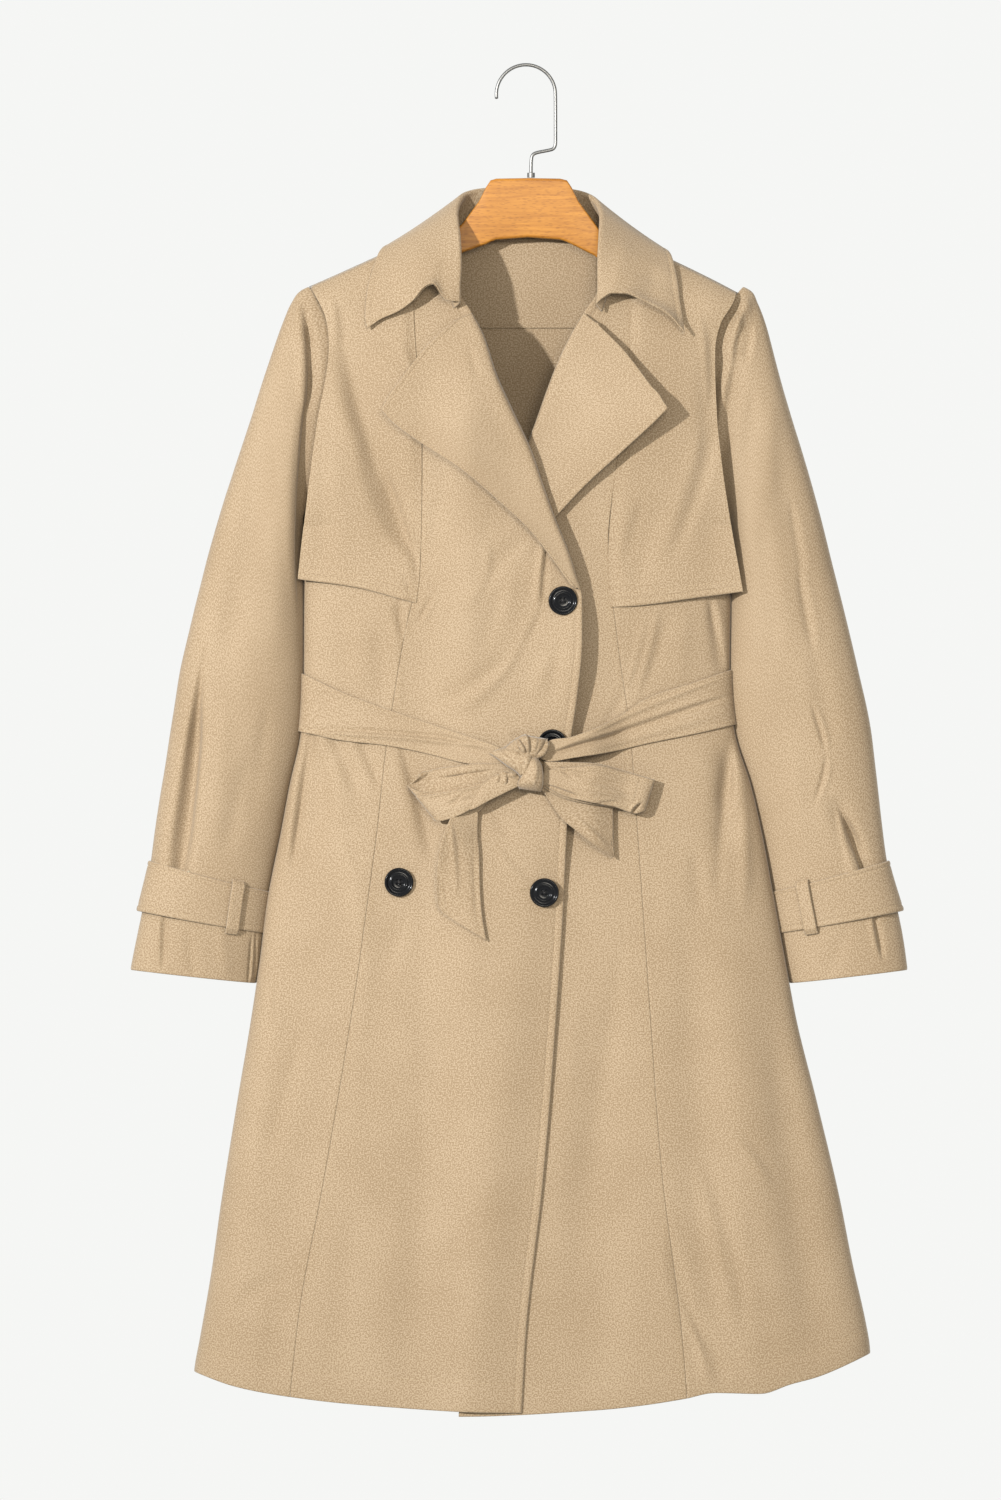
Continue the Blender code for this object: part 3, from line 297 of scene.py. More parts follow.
# down, how far the inner side of each sleeve keeps from the body
SLEEVE_CLEAR = (
    (400, 2.0),
    (500, 3.0),
    (560, 5.0),
    (620, 4.0),
    (680, 5.5),
    (730, 6.5),
    (770, 5.5),
    (804, 4.0),
)
ARMHOLE_CLEAR = 1.2
ARMHOLE_BLEND = 0.25  # along the sleeve, where the armhole's inward curve has faded
SLEEVE_FOLDS = {
    "right": ((-284, 540, -308, 702, 9, 4.0), (-226, 300, -262, 520, 14, 2.5)),
    "left": ((268, 640, 290, 692, 8, 4.0), (214, 300, 252, 520, 14, 2.5)),
}

# along the lapel from the break to the gorge, outer edge x, outer edge down, how far the edge lifts
RIGHT_LAPEL = (
    (0.00, 40, 456, 0.5),
    (0.10, 8, 413, 1.0),
    (0.22, -24, 382, 1.5),
    (0.36, -56, 355, 2.0),
    (0.50, -91, 332, 3.0),
    (0.60, -116, 314, 4.0),
    (0.66, -127, 302, 4.5),
    (0.76, -112, 279, 3.5),
    (0.88, -88, 248, 2.5),
    (1.00, -62, 224, 2.0),
)
LEFT_LAPEL = (
    (0.00, -28, 449, 0.3),
    (0.12, -10, 430, 0.3),
    (0.28, 18, 404, 0.8),
    (0.42, 52, 368, 3.0),
    (0.54, 86, 337, 9.0),
    (0.62, 110, 315, 16.0),
    (0.67, 124, 301, 19.0),
    (0.78, 108, 280, 13.0),
    (0.89, 86, 251, 6.0),
    (1.00, 62, 227, 2.0),
)
RIGHT_BREAK = 459.0
LEFT_BREAK = 452.0
GORGE = 217.0
LAPEL_GAP = 0.9  # between a lapel and the front under it
LAPEL_ROLL = 7.0  # the lapel rises within this width from its roll line
LAPEL_FULL = 25.0  # where a lapel is narrower than this, it rises less

# x and down of the facing that shows inside the back of the neck
NECK_FACING_X = (-54.0, 55.0)
NECK_FACING_DOWN = (153.0, 228.0)
NECK_FACING_THICK = 1.0
NECK_FACING_GAP = 0.8

# down, x: the outer edge of each storm flap
RIGHT_FLAP_OUTER = (
    (180, -189),
    (197, -187),
    (228, -175),
    (254, -172),
    (321, -183),
    (381, -191),
    (449, -199),
    (480, -201),
)
LEFT_FLAP_OUTER = (
    (180, 185),
    (203, 182),
    (228, 170),
    (254, 165),
    (311, 167),
    (346, 171),
    (400, 180),
    (462, 191),
    (480, 193),
)
# x, down: the lower edge of each storm flap
RIGHT_FLAP_LOWER = (
    (-205, 449),
    (-199, 450),
    (-145, 458),
    (-98, 471),
)
LEFT_FLAP_LOWER = (
    (74, 475),
    (101, 473),
    (152, 466),
    (190, 461),
    (200, 460),
)
FLAP_GAP = 1.4
FLAP_ROW = 455.0  # the body row that the flaps end at
FLAP_FROM_SEAM = 1.0
FLAP_BELOW_SHOULDER = 3.0
FLAP_INSIDE = (6.0, 18.0)  # the flap leaves the front this far inside the armhole, above and below
FLAP_TURN = 4.0  # it leaves it within about this width
FLAP_SLOPE = 0.15  # of the free part, towards the back
FLAP_STAND = {"right": 2.0, "left": 10.0}  # how far the free corner stands off

# along the collar; neck seam x, y, down; fold x, y, down; outer edge x, y, down
COLLAR = (
    (0.00, -62, -36, 213, -56, -42, 208, -139, -37, 231),
    (0.05, -66, -33, 200, -56, -40, 195, -141, -34, 221),
    (0.12, -68, -28, 180, -55, -37, 176, -140, -30, 203),
    (0.20, -69, -20, 156, -56, -27, 152, -136, -23, 183),
    (0.27, -70, -8, 142, -58, -11, 131, -128, -8, 161),
    (0.33, -69, 8, 137, -54, 5, 116, -122, 9, 158),
    (0.39, -56, 18, 146, -45, 16, 108, -106, 23, 172),
    (0.44, -34, 19, 151, -31, 21, 105, -66, 27, 180),
    (0.50, 0, 19, 153, 1, 22, 103, 0, 28, 184),
    (0.56, 35, 19, 152, 37, 21, 106, 66, 27, 182),
    (0.61, 58, 18, 149, 50, 16, 110, 106, 23, 175),
    (0.67, 71, 8, 141, 59, 5, 119, 121, 9, 161),
    (0.73, 73, -8, 146, 63, -11, 133, 127, -8, 164),
    (0.80, 72, -20, 160, 62, -27, 153, 132, -23, 183),
    (0.88, 71, -28, 182, 61, -37, 177, 135, -30, 205),
    (0.95, 69, -33, 203, 61, -41, 196, 138, -35, 224),
    (1.00, 66, -37, 216, 60, -42, 209, 139, -43, 235),
)
# across the leaf from its fold to its tip; wearer's right x, y, down; wearer's left x, y, down
COLLAR_ENDS = (
    (0.00, -56, -42, 208, 60, -42, 209),
    (0.14, -68, -46, 206, 66, -46, 204),
    (0.28, -79, -48, 192, 74, -48, 200),
    (0.40, -88, -47, 196, 86, -48, 200),
    (0.52, -98, -44, 207, 99, -47, 205),
    (0.66, -111, -41, 216, 113, -45, 212),
    (0.84, -127, -38, 223, 127, -44, 221),
    (1.00, -139, -37, 231, 139, -43, 235),
)
END_CURL = 0.26  # along the collar, where the curl of its end has faded
STAND_SHARE = 0.3  # of the collar's rows: below its fold
FOLD_SHARE = 0.36  # of the collar's rows: round its fold
COLLAR_ROLL = 2.7  # radius of the fold
COLLAR_THICK = 1.8
LEAF_START = 0.12  # of the leaf: the part of it that the fold heads for
LEAST_FOLD = 0.3  # cosine of the smallest turn of the fold

# x, upper edge down, lower edge down
RIGHT_BAND = (
    (-199, 530, 583),
    (-162, 548, 591),
    (-120, 564, 596),
    (-81, 577, 604),
    (-54, 586, 611),
    (-24, 597, 615),
    (-12, 603, 613),
)
LEFT_BAND = (
    (12, 597, 607),
    (20, 591.5, 610),
    (40, 588, 607),
    (80, 570, 600),
    (106, 554, 594),
    (150, 539, 585),
    (184, 527, 577),
)
# x, upper edge down, lower edge down
BACK_BAND = (
    (-199, 530, 583),
    (-100, 536, 588),
    (0, 540, 592),
    (100, 536, 587),
    (184, 527, 577),
)
WAIST_ROW = 555.0  # a nominal row inside the belt
BAND_OUT = 1.2  # of the belt above the cloth
KNOT_OUT = 6.4  # of the belt beside the knot, which clears the button below it
KNOT_X = 8.0
KNOT_REACH = (28.0, 75.0)  # the belt sinks to the cloth between these distances from the knot
STEP_RIGHT = (-95.0, -45.0)  # x over which the belt climbs to the right front
STEP_LEFT = (52.0, 92.0)  # and comes down past its edge

# down, middle x, half width, half depth
KNOT = (
    (587, 2, 7, 3.0),
    (591, 1, 15, 6.5),
    (598, 1, 17.5, 8.5),
    (604, 2, 15, 8.5),
    (609, 3, 10, 7.5),
    (618, 4, 10, 9.0),
    (628, 4, 9.5, 8.5),
    (634, 4, 7, 5.0),
)

# along a bow loop from the knot to its end: x and down of the upper edge, x and down of the lower edge, half
# the gap between its layers; one table for the front layer and one for the rear one
RIGHT_BOW = (
    (0.00, -5, 622, -6, 629, 1.6),
    (0.25, -24, 625, -24, 637, 2.6),
    (0.40, -38.5, 627.5, -38, 645, 3.4),
    (0.60, -58, 631, -55, 655, 4.0),
    (0.85, -88, 636, -71, 661, 4.4),
    (1.00, -104, 631, -79, 662, 0.0),
)
RIGHT_BOW_REAR = (
    (0.00, -5, 613, -6, 627, 1.6),
    (0.25, -24, 611, -24, 635, 2.6),
    (0.40, -38.5, 611, -38, 643, 3.4),
    (0.60, -58, 613, -55, 653, 4.0),
    (0.85, -88, 619, -71, 660, 4.4),
    (1.00, -104, 631, -79, 662, 0.0),
)
LEFT_BOW = (
    (0.00, 16, 617, 13, 628.5, 1.6),
    (0.25, 38.5, 614.5, 32, 639, 2.6),
    (0.45, 60, 612.5, 50, 644, 3.6),
    (0.70, 86, 618.5, 77, 649, 4.2),
    (0.90, 104, 623, 96, 655, 4.4),
    (1.00, 113, 625.5, 104, 653, 0.0),
)
LEFT_BOW_REAR = (
    (0.00, 16, 609.5, 14, 632, 1.6),
    (0.25, 38.5, 610, 33, 641.5, 2.6),
    (0.45, 60, 611, 51, 646, 3.6),
    (0.70, 86, 617.5, 78, 650, 4.2),
    (0.90, 104, 623, 96, 655.5, 4.4),
    (1.00, 113, 625.5, 104, 653, 0.0),
)
BOW_OUT = 10.5

# along a ribbon of the belt: one edge x, down, other edge x, down, height above the cloth under the belt
RIGHT_TAIL = (
    (0.00, -36, 628, -30, 640, 8.0),
    (0.12, -44, 633, -38, 650, 7.0),
    (0.25, -52, 640, -42, 655, 6.0),
    (0.40, -61, 650, -42, 661, 5.0),
    (0.55, -70, 668, -42, 672, 4.6),
    (0.70, -76, 690, -40.5, 690, 4.5),
    (0.85, -78, 715, -40, 718, 4.5),
    (0.94, -77, 735, -38, 745, 4.5),
    (1.00, -74.5, 741, -34.5, 765.5, 4.5),
)
LEFT_TAIL = (
    (0.00, 11, 632, 16, 628, 6.0),
    (0.25, 18, 640.5, 33, 640, 4.0),
    (0.50, 30.5, 659, 62, 642, 1.8),
    (0.70, 43, 669.5, 76, 650, 0.6),
    (0.85, 56, 680, 76, 668, 0.4),
    (1.00, 74.4, 693.5, 76, 692.5, 0.4),
)
# along a tail of the belt, how far its first edge is raised above the other
RIGHT_TAIL_TILT = (
    (0.00, 2.0),
    (0.25, 4.0),
    (0.42, 8.0),
    (0.60, 20.0),
    (0.80, 13.0),
    (1.00, 2.0),
)
LEFT_TAIL_TILT = (
    (0.00, 1.0),
    (0.40, 3.0),
    (0.70, 4.0),
    (1.00, 2.0),
)
TAIL_TURN = (
    (0.0, -4.5, 619, -6, 630, 16.0),
    (0.3, -22, 621, -18, 636, 17.0),
    (0.6, -35, 628, -33, 643.5, 17.0),
    (0.9, -41, 635, -45, 650, 16.0),
    (1.0, -42, 637, -48.5, 651.5, 15.0),
)
# the wraps of the knot, in the order in which they lie on each other
KNOT_HUMP = (
    (0.0, -17.5, 598, -13, 602, 14.0),
    (0.2, -9.5, 591.5, -8, 604, 18.5),
    (0.45, -1, 587.5, 1, 605, 20.5),
    (0.55, 1.5, 588, 3, 606, 20.5),
    (0.8, 12, 590, 9, 606, 19.5),
    (1.0, 18.5, 591, 14, 604, 13.0),
)
KNOT_SLANT = (
    (0.0, -19, 598, -31, 602, 10.0),
    (0.2, -14, 598.5, -25, 605.5, 16.0),
    (0.5, -7.5, 600.5, -16.5, 612, 20.5),
    (0.8, -3.5, 607, -7.5, 618, 22.5),
    (1.0, -2, 616, -4, 622, 21.0),
)
KNOT_FOLD = (
    (0.0, -4, 602, 4.5, 602.5, 19.0),
    (0.3, -4, 606, 4, 607, 22.5),
    (0.7, -3.5, 613, 2.5, 614, 23.5),
    (1.0, -4, 620, -1, 622, 21.0),
)
KNOT_FRONT = (
    (0.0, 3, 606.5, 8, 606, 17.0),
    (0.15, 2.5, 609, 10.5, 609.5, 22.0),
    (0.4, 0.5, 616, 13, 616, 25.5),
    (0.7, -4.5, 625, 13.6, 626, 25.0),
    (0.9, -6.5, 630, 13, 632, 21.0),
    (1.0, -5, 632.5, 12, 635, 16.0),
)

HANGER_OUTLINE = (
    (-172, 199.0, 206),
    (-166, 193.5, 210),
    (-154, 187.0, 208),
    (-110, 167.0, 190),
    (-70, 151.0, 171),
    (-55, 137, 163),
    (-49, 129, 161),
    (-41, 118, 158),
    (-35, 106, 156),
    (-31, 100, 154),
    (-26, 98.5, 152),
    (2, 98, 150),
    (30, 98.5, 152),
    (36, 100, 154),
    (40, 106, 156),
    (46, 118, 159),
    (54, 129, 163),
    (60, 137, 166),
    (72, 154.0, 175),
    (110, 171.5, 194),
    (152, 191.0, 212),
    (163, 197.5, 214),
    (169, 203.0, 210),
)
WOOD_HALF = 6.0
WOOD_EDGE = 2.6

WIRE_RADIUS = 1.5
HOOK_RADIUS = 24.5
HOOK_TIP_ANGLE = 188  # degrees round the arc from its straight side to its tip
HOOK_STRAIGHT_DOWN = 68.0
SHANK_X = 4.5
SHANK_FOOT = 97.2

# along the strap's ring of the sleeve: upper row, lower row
STRAP_ROWS = (0.893, 0.945)
STRAP_OUT = 0.5
STRAP_FLARE = 3.0
LOOP_TURN = 0.335  # of the way round the sleeve from its outer side
LOOP_HALF = 4.5
LOOP_BEYOND = 0.12  # of the strap's width: how far the loop reaches past each edge
LOOP_GAP = 1.2
LOOP_OUT = 2.6
CUFF_ROUND = 260.0  # round the sleeve at its cuff


# name, x, down, lean of the disc about Y in degrees
BUTTONS = (
    ("button_chest", 32, 469, 6),
    ("button_waist", 23, 594, 0),
    ("button_skirt_left", 16, 724, 0),
    ("button_skirt_right", -111, 715, 0),
)
BUTTON_OUT = 1.3
# Creases. x and down of both ends, half width at each end, height (below 0 a trough, above 0 a ridge), how
# far the middle bows sideways, lean (1 steep on its right side as seen from the front, -1 on its left), and
# a lip beside it.

CHEST_CREASES = (
    (-75, 337, -70, 372, 7, 8, -1.3, 0, 0.0, 0.0),
    (-70, 372, -82, 440, 8, 6, -1.2, -4, 0.0, 0.0),
    (-34, 415, -54, 476, 4, 7, 1.3, 9, 0.3, 0.0),
    (2, 413, -42, 464, 8, 11, -1.9, -3, 0.4, 0.0),
    (-11, 446, -17, 486, 7, 8, 1.0, 0, 0.0, 0.0),
    (-22, 458, -36, 512, 8, 9, -1.3, 0, 0.3, 0.0),
    (17, 412, 11, 476, 1.8, 2.6, 3.6, -1.5, 0.4, 0.4),
    (23, 426, 44, 455, 2.0, 2.6, -1.2, 0, 0.0, 0.2),
    (27, 424, 46, 448, 1.6, 2.0, -0.9, 0, 0.0, 0.2),
    (14, 476, 2, 505, 2.4, 4.5, -1.2, 0, -0.4, 0.3),
    (21, 515, 4, 556, 6, 8, 1.1, 0, 0.0, 0.0),
    (30, 500, 22, 560, 5, 8, -1.1, 0, 0.0, 0.0),
    (-1, 496, -60, 566, 5, 8, 1.5, 8, 0.3, 0.0),
    (-9, 512, -84, 560, 5, 8, -1.6, 6, 0.3, 0.0),
    (-13, 585, 1, 590, 3, 4, -1.6, 0, 0.0, 0.3),
)
WAIST_CREASES = (
    (-79, 461, -94, 489, 1.5, 1.7, -2.4, 0, 0.4, 0.6),
    (-84, 452, -79, 463, 1.4, 1.6, -1.4, 0, 0.0, 0.5),
    (-112, 468, -107, 502, 4.5, 1.8, -3.4, 0, 0.3, 0.2),
    (-163, 470, -158, 540, 7, 9, -0.9, 0, 0.0, 0.0),
    (-144, 480, -142, 552, 8, 8, 0.8, 0, 0.0, 0.0),
    (-129, 495, -125, 562, 5, 6, -1.0, 0, 0.0, 0.0),
    (-116, 480, -110, 566, 5, 5, 1.0, 0, 0.0, 0.0),
    (-196, 500, -191, 545, 3, 4.5, -4.2, 0, 0.3, 0.2),
    (88, 545, 68, 582, 4, 5, -1.1, 0, 0.0, 0.3),
    (117, 470, 96, 556, 2.4, 2.6, 1.7, 1, 0.2, 0.4),
    (106, 482, 90, 540, 2.2, 2.6, 1.3, 1, 0.2, 0.4),
    (126, 478, 110, 540, 3, 5, -1.2, 0, 0.0, 0.0),
    (140, 476, 132, 545, 7, 9, 0.9, 0, 0.0, 0.0),
    (161, 464, 176, 540, 3.0, 5.0, -4.2, 1, 0.5, 0.3),
)
SKIRT_CREASES = (
    (-187, 556, -205, 700, 4.2, 4.5, -10.0, -1, -0.35, 0.25),
    (-182, 568, -146, 640, 5, 8, -3.6, 2, -0.3, 0.2),
    (-158, 572, -128, 632, 4, 6, -3.2, 2, -0.3, 0.2),
    (-176, 600, -138, 800, 9, 12, 2.6, 4, -0.3, 0.0),
    (-112, 590, -82, 700, 5, 8, -3.8, 3, -0.3, 0.2),
    (-66, 620, -52, 700, 8, 10, 0.66, 0, 0.0, 0.0),
    (-29, 655, -12, 676, 5, 6, -1.6, 0, 0.0, 0.0),
    (-25, 683, 5, 716, 2.2, 2.6, 1.4, -4, 0.0, 0.4),
    (-160, 655, -145, 705, 7, 9, -1.6, 0, 0.2, 0.0),
    (-103, 738, -128, 806, 8, 10, -0.94, 0, 0.2, 0.0),
    (-138, 780, -152, 930, 8, 10, 0.83, 0, 0.0, 0.0),
    (-222, 796, -224, 852, 2.6, 4.5, -2.6, 0, 0.4, 0.3),
    (-181, 830, -216, 1000, 12, 16, 1.32, 0, 0.0, 0.0),
    (-196, 850, -226, 960, 7, 11, -1.8, 0, 0.2, 0.0),
    (-118, 820, -66, 930, 8, 14, 0.83, 0, 0.0, 0.0),
    (-75, 820, -70, 980, 12, 16, -0.99, 0, 0.0, 0.0),
    (-256, 1092, -205, 1058, 7, 9, -1.5, 5, 0.0, 0.0),
    (-240, 1150, -228, 1080, 8, 8, 0.72, 0, 0.0, 0.0),
    (-150, 1000, -170, 1170, 12, 18, -1.21, 0, 0.0, 0.0),
    (-110, 980, -128, 1170, 12, 18, 0.99, 0, 0.0, 0.0),
    (-30, 900, -52, 1170, 12, 18, 0.99, 0, 0.0, 0.0),
    (186, 575, 174, 660, 3.6, 6.0, -5.0, -1, 0.4, 0.4),
    (192, 596, 190, 740, 4.0, 8.0, 2.4, 1, 0.0, 0.0),
    (172, 650, 168, 728, 4, 6, -1.5, 0, 0.0, 0.0),
    (148, 686, 152, 745, 6, 8, -1.6, 0, 0.0, 0.0),
    (120, 700, 132, 840, 9, 12, 0.72, 0, 0.0, 0.0),
    (86, 760, 40, 1080, 9, 16, -1.43, 0, 0.0, 0.0),
    (48, 800, 22, 1010, 9, 14, 0.99, 0, 0.0, 0.0),
    (176, 930, 214, 982, 3.0, 4.5, 1.5, 2, 0.2, 0.4),
    (150, 960, 184, 1110, 5.0, 7.0, 2.6, 2, 0.3, 0.4),
    (124, 1020, 150, 1135, 6, 9, -2.4, 0, 0.0, 0.0),
    (136, 1085, 164, 1162, 3.4, 6.0, 2.6, 2, 0.3, 0.4),
    (214, 860, 246, 1090, 9, 14, -0.88, 0, 0.0, 0.0),
    (196, 990, 216, 1150, 9, 14, -1.1, 0, 0.0, 0.0),
)
# broad folds that a storm flap, the front under it and the front beside it share
CHEST_FOLDS = (
    (-162, 226, -99, 426, 26, 8, -11.0, -8, -0.5, 0.0),
    (-144, 330, -98, 434, 8, 4, -5.0, -5, 0.1, 0.0),
)
FRONT_CREASES = CHEST_CREASES + WAIST_CREASES + SKIRT_CREASES

FLAP_CREASES = (
    (-170, 204, -166, 246, 3.4, 4.5, 1.6, 1, 0.0, 0.3),
    (-134, 240, -102, 268, 6.0, 3.0, -2.4, 2, 0.4, 0.3),
    (-126, 352, -95, 434, 4.0, 2.4, -3.0, -3, 0.3, 0.6),
    (-98, 424, -95, 446, 1.4, 1.6, -1.0, 0, 0.0, 0.3),
    (-111, 434, -100, 467, 1.6, 2.0, -0.9, 1, 0.0, 0.4),
    (-186, 330, -190, 440, 8, 9, 1.0, 0, 0.0, 0.0),
    (-168, 350, -160, 450, 9, 10, 1.1, 0, 0.0, 0.0),
    (163, 240, 156, 346, 8, 9, -1.5, 0, 0.0, 0.0),
    (172, 300, 128, 430, 7, 8, -2.0, 3, 0.2, 0.0),
    (152, 320, 118, 430, 7, 8, 1.2, 3, 0.0, 0.0),
    (102, 380, 86, 440, 5, 6, -1.5, 0, 0.0, 0.0),
    (152, 218, 158, 300, 3.2, 4.0, 1.0, 2, 0.0, 0.3),
    (118, 270, 100, 340, 9, 9, -1.0, 0, 0.0, 0.0),
)
LAPEL_CREASES = (
    (-50, 246, -42, 276, 3.0, 3.5, -0.8, 0, 0.0, 0.3),
    (-36, 290, -6, 350, 7, 9, -0.7, 0, 0.0, 0.0),
    (-70, 300, -20, 380, 12, 14, 0.9, 0, 0.0, 0.0),
    (40, 300, 80, 360, 10, 12, -0.9, 0, 0.0, 0.0),
    (20, 380, 44, 350, 8, 10, 0.8, 0, 0.0, 0.0),
)
COLLAR_CREASES = (
    (-66, 184, -74, 210, 3.0, 3.4, -0.8, 0, 0.0, 0.3),
    (-96, 150, -88, 206, 8, 9, 0.8, 0, 0.0, 0.0),
    (-120, 178, -112, 216, 7, 8, -0.9, 0, 0.0, 0.0),
    (86, 150, 80, 200, 8, 9, 0.8, 0, 0.0, 0.0),
    (112, 176, 106, 212, 7, 8, -0.8, 0, 0.0, 0.0),
)
SLEEVE_CREASES = {
    "right": (
        (-199, 203, -202, 246, 2.6, 4.0, 2.2, 0, 0.0, 0.0),
        (-194, 214, -189, 300, 2.6, 5.0, -7.0, 2, -0.5, 0.3),
        (-189, 270, -199, 470, 5.0, 5.0, -5.5, -3, -0.5, 0.2),
        (-190, 222, -184, 262, 1.8, 2.2, -1.2, 0, 0.0, 0.3),
        (-222, 250, -240, 440, 13, 15, -2.2, 0, 0.0, 0.0),
        (-206, 300, -222, 520, 9, 12, 1.3, 0, 0.0, 0.0),
        (-250, 440, -262, 520, 12, 12, -1.4, 0, 0.0, 0.0),
        (-280, 505, -287, 560, 2.4, 4.0, -1.6, 0, -0.3, 0.2),
        (-286, 535, -311, 748, 3.4, 8.0, -9.0, 2, -0.2, 0.2),
        (-262, 560, -276, 690, 9, 12, 1.4, 0, 0.0, 0.0),
        (-242, 600, -262, 690, 8, 10, -1.4, 0, 0.0, 0.0),
        (-226, 560, -240, 660, 7, 9, -1.2, 0, 0.0, 0.0),
        (-317, 740, -318, 790, 2.2, 3.0, -3.2, 0, -0.4, 0.3),
        (-240.5, 762, -243.5, 806, 0.9, 0.9, -2.0, 0, 0.0, 0.4),
        (-236.5, 758, -238.5, 806, 0.8, 0.8, -1.4, 0, 0.0, 0.3),
        (-296, 758, -290, 800, 4, 6, -1.2, 0, 0.0, 0.0),
        (-268, 750, -262, 800, 5, 7, 1.0, 0, 0.0, 0.0),
    ),
    "left": (
        (195, 200, 184, 234, 5.0, 5.0, 4.5, 0, -0.2, 0.0),
        (190, 216, 180, 262, 3.0, 6.0, 5.0, -2, 0.6, 0.2),
        (181, 256, 169, 345, 6.0, 4.0, 6.0, -2, 0.6, 0.2),
        (198, 226, 192, 262, 2.4, 3.4, -1.4, 0, 0.0, 0.3),
        (199, 286, 193, 352, 6, 7, -1.3, 0, 0.0, 0.0),
        (214, 296, 214, 380, 7, 8, 0.9, 0, 0.0, 0.0),
        (231, 380, 243, 452, 3.4, 4.0, -1.1, 0, 0.0, 0.3),
        (206, 400, 218, 520, 8, 10, -1.2, 0, 0.0, 0.0),
        (238, 440, 251, 512, 3.2, 4.4, -1.8, 0, 0.0, 0.3),
        (252, 510, 268, 596, 9, 10, -1.5, 0, 0.0, 0.0),
        (250, 560, 262, 600, 1.8, 2.2, -2.4, 1, 0.0, 0.4),
        (263, 604, 252, 646, 2.2, 1.8, -2.2, 2, 0.0, 0.4),
        (274, 652, 301, 724, 2.0, 5.6, -7.6, 1, -0.65, 0.3),
        (236, 600, 240, 690, 8, 9, 1.2, 0, 0.0, 0.0),
        (304, 740, 312, 780, 2.2, 2.6, -3.4, 0, -0.3, 0.4),
        (318, 742, 300, 748, 1.6, 1.6, -2.0, 0, 0.0, 0.3),
        (282, 756, 262, 800, 6, 8, -1.2, 0, 0.0, 0.0),
    ),
}
# the back of both sleeves; x is the distance from the middle
SLEEVE_BACK_CREASES = (
    (206, 280, 232, 430, 10, 12, -1.8, 0, 0.2, 0.0),
    (228, 470, 262, 560, 5, 7, -2.2, 3, 0.3, 0.3),
    (262, 505, 236, 560, 4, 6, -1.8, -3, 0.0, 0.3),
    (250, 560, 292, 610, 4, 5, -1.8, 3, 0.3, 0.3),
    (286, 560, 306, 740, 6, 9, -2.6, 0, 0.3, 0.2),
    (258, 600, 268, 720, 9, 11, 1.5, 0, 0.0, 0.0),
    (212, 236, 210, 330, 5, 8, 2.0, 0, 0.0, 0.0),
    (300, 752, 312, 790, 3, 4, -1.6, 0, 0.0, 0.3),
)
BACK_CREASES = (
    (-150, 226, -60, 262, 8, 12, -1.8, 6, 0.0, 0.0),
    (148, 232, 66, 268, 8, 12, -1.6, -6, 0.0, 0.0),
    (-172, 330, -110, 452, 6, 10, -2.6, 4, 0.3, 0.2),
    (168, 336, 112, 460, 6, 10, -2.4, -4, -0.3, 0.2),
    (-136, 300, -84, 390, 9, 12, -1.6, 0, 0.0, 0.0),
    (126, 306, 76, 400, 9, 12, -1.5, 0, 0.0, 0.0),
    (-30, 250, -22, 400, 12, 16, 1.2, 0, 0.0, 0.0),
    (40, 260, 30, 420, 12, 16, -1.2, 0, 0.0, 0.0),
    (-150, 470, -120, 536, 4, 5, -2.4, 2, 0.3, 0.3),
    (-96, 450, -84, 540, 5, 7, 1.8, 0, 0.0, 0.3),
    (-58, 462, -66, 540, 4, 6, -2.0, 0, 0.0, 0.3),
    (-14, 470, -8, 540, 5, 7, 1.6, 0, 0.0, 0.0),
    (28, 455, 22, 540, 4, 6, -2.2, 0, 0.2, 0.3),
    (72, 470, 64, 538, 5, 6, 1.7, 0, 0.0, 0.0),
    (112, 452, 98, 538, 4, 6, -2.2, 0, -0.2, 0.3),
    (158, 476, 142, 534, 4, 5, -2.2, 0, -0.3, 0.3),
    (-172, 592, -196, 760, 5, 9, -3.4, 0, 0.3, 0.3),
    (-118, 596, -132, 820, 6, 12, 2.4, 0, 0.0, 0.2),
    (-76, 600, -92, 900, 6, 13, -2.8, 0, 0.2, 0.2),
    (-34, 600, -30, 860, 7, 12, 2.2, 0, 0.0, 0.0),
    (8, 600, 6, 940, 6, 13, -3.0, 0, 0.0, 0.2),
    (48, 600, 62, 850, 7, 12, 2.2, 0, 0.0, 0.0),
    (88, 600, 112, 900, 6, 12, -2.8, 0, -0.2, 0.2),
    (134, 596, 160, 800, 6, 12, 2.2, 0, 0.0, 0.0),
    (172, 592, 200, 780, 5, 9, -3.2, 0, -0.3, 0.3),
    (-196, 800, -226, 1130, 11, 16, 2.2, 0, 0.0, 0.0),
    (-130, 880, -160, 1160, 12, 17, -2.6, 0, 0.0, 0.0),
    (-54, 860, -70, 1165, 12, 18, 2.4, 0, 0.0, 0.0),
    (34, 900, 44, 1165, 12, 18, -2.0, 0, 0.0, 0.0),
    (118, 880, 150, 1160, 12, 17, 2.6, 0, 0.0, 0.0),
    (188, 840, 226, 1140, 11, 16, -2.2, 0, 0.0, 0.0),
)
BELT_CREASES = (
    (-196, 584, -33, 597, 1.8, 1.8, 2.0, 3, 0.5, 0.7),
    (-150, 562, -60, 590, 4, 4, -0.8, 0, 0.0, 0.2),
    (-192, 548, -140, 562, 3, 4, -0.6, 0, 0.0, 0.2),
    (-70, 590, -26, 606, 3, 4, -1.2, 0, 0.0, 0.3),
    (20, 603, 84, 584, 1.8, 2.6, -3.4, 0, 0.2, 0.3),
    (60, 592, 178, 552, 2.8, 2.2, -2.8, 0, 0.0, 0.3),
    (30, 598, 170, 537, 2.4, 2.0, 1.4, 3, 0.0, 0.2),
    (70, 596, 176, 566, 2.4, 3.0, 1.0, 0, 0.0, 0.2),
)
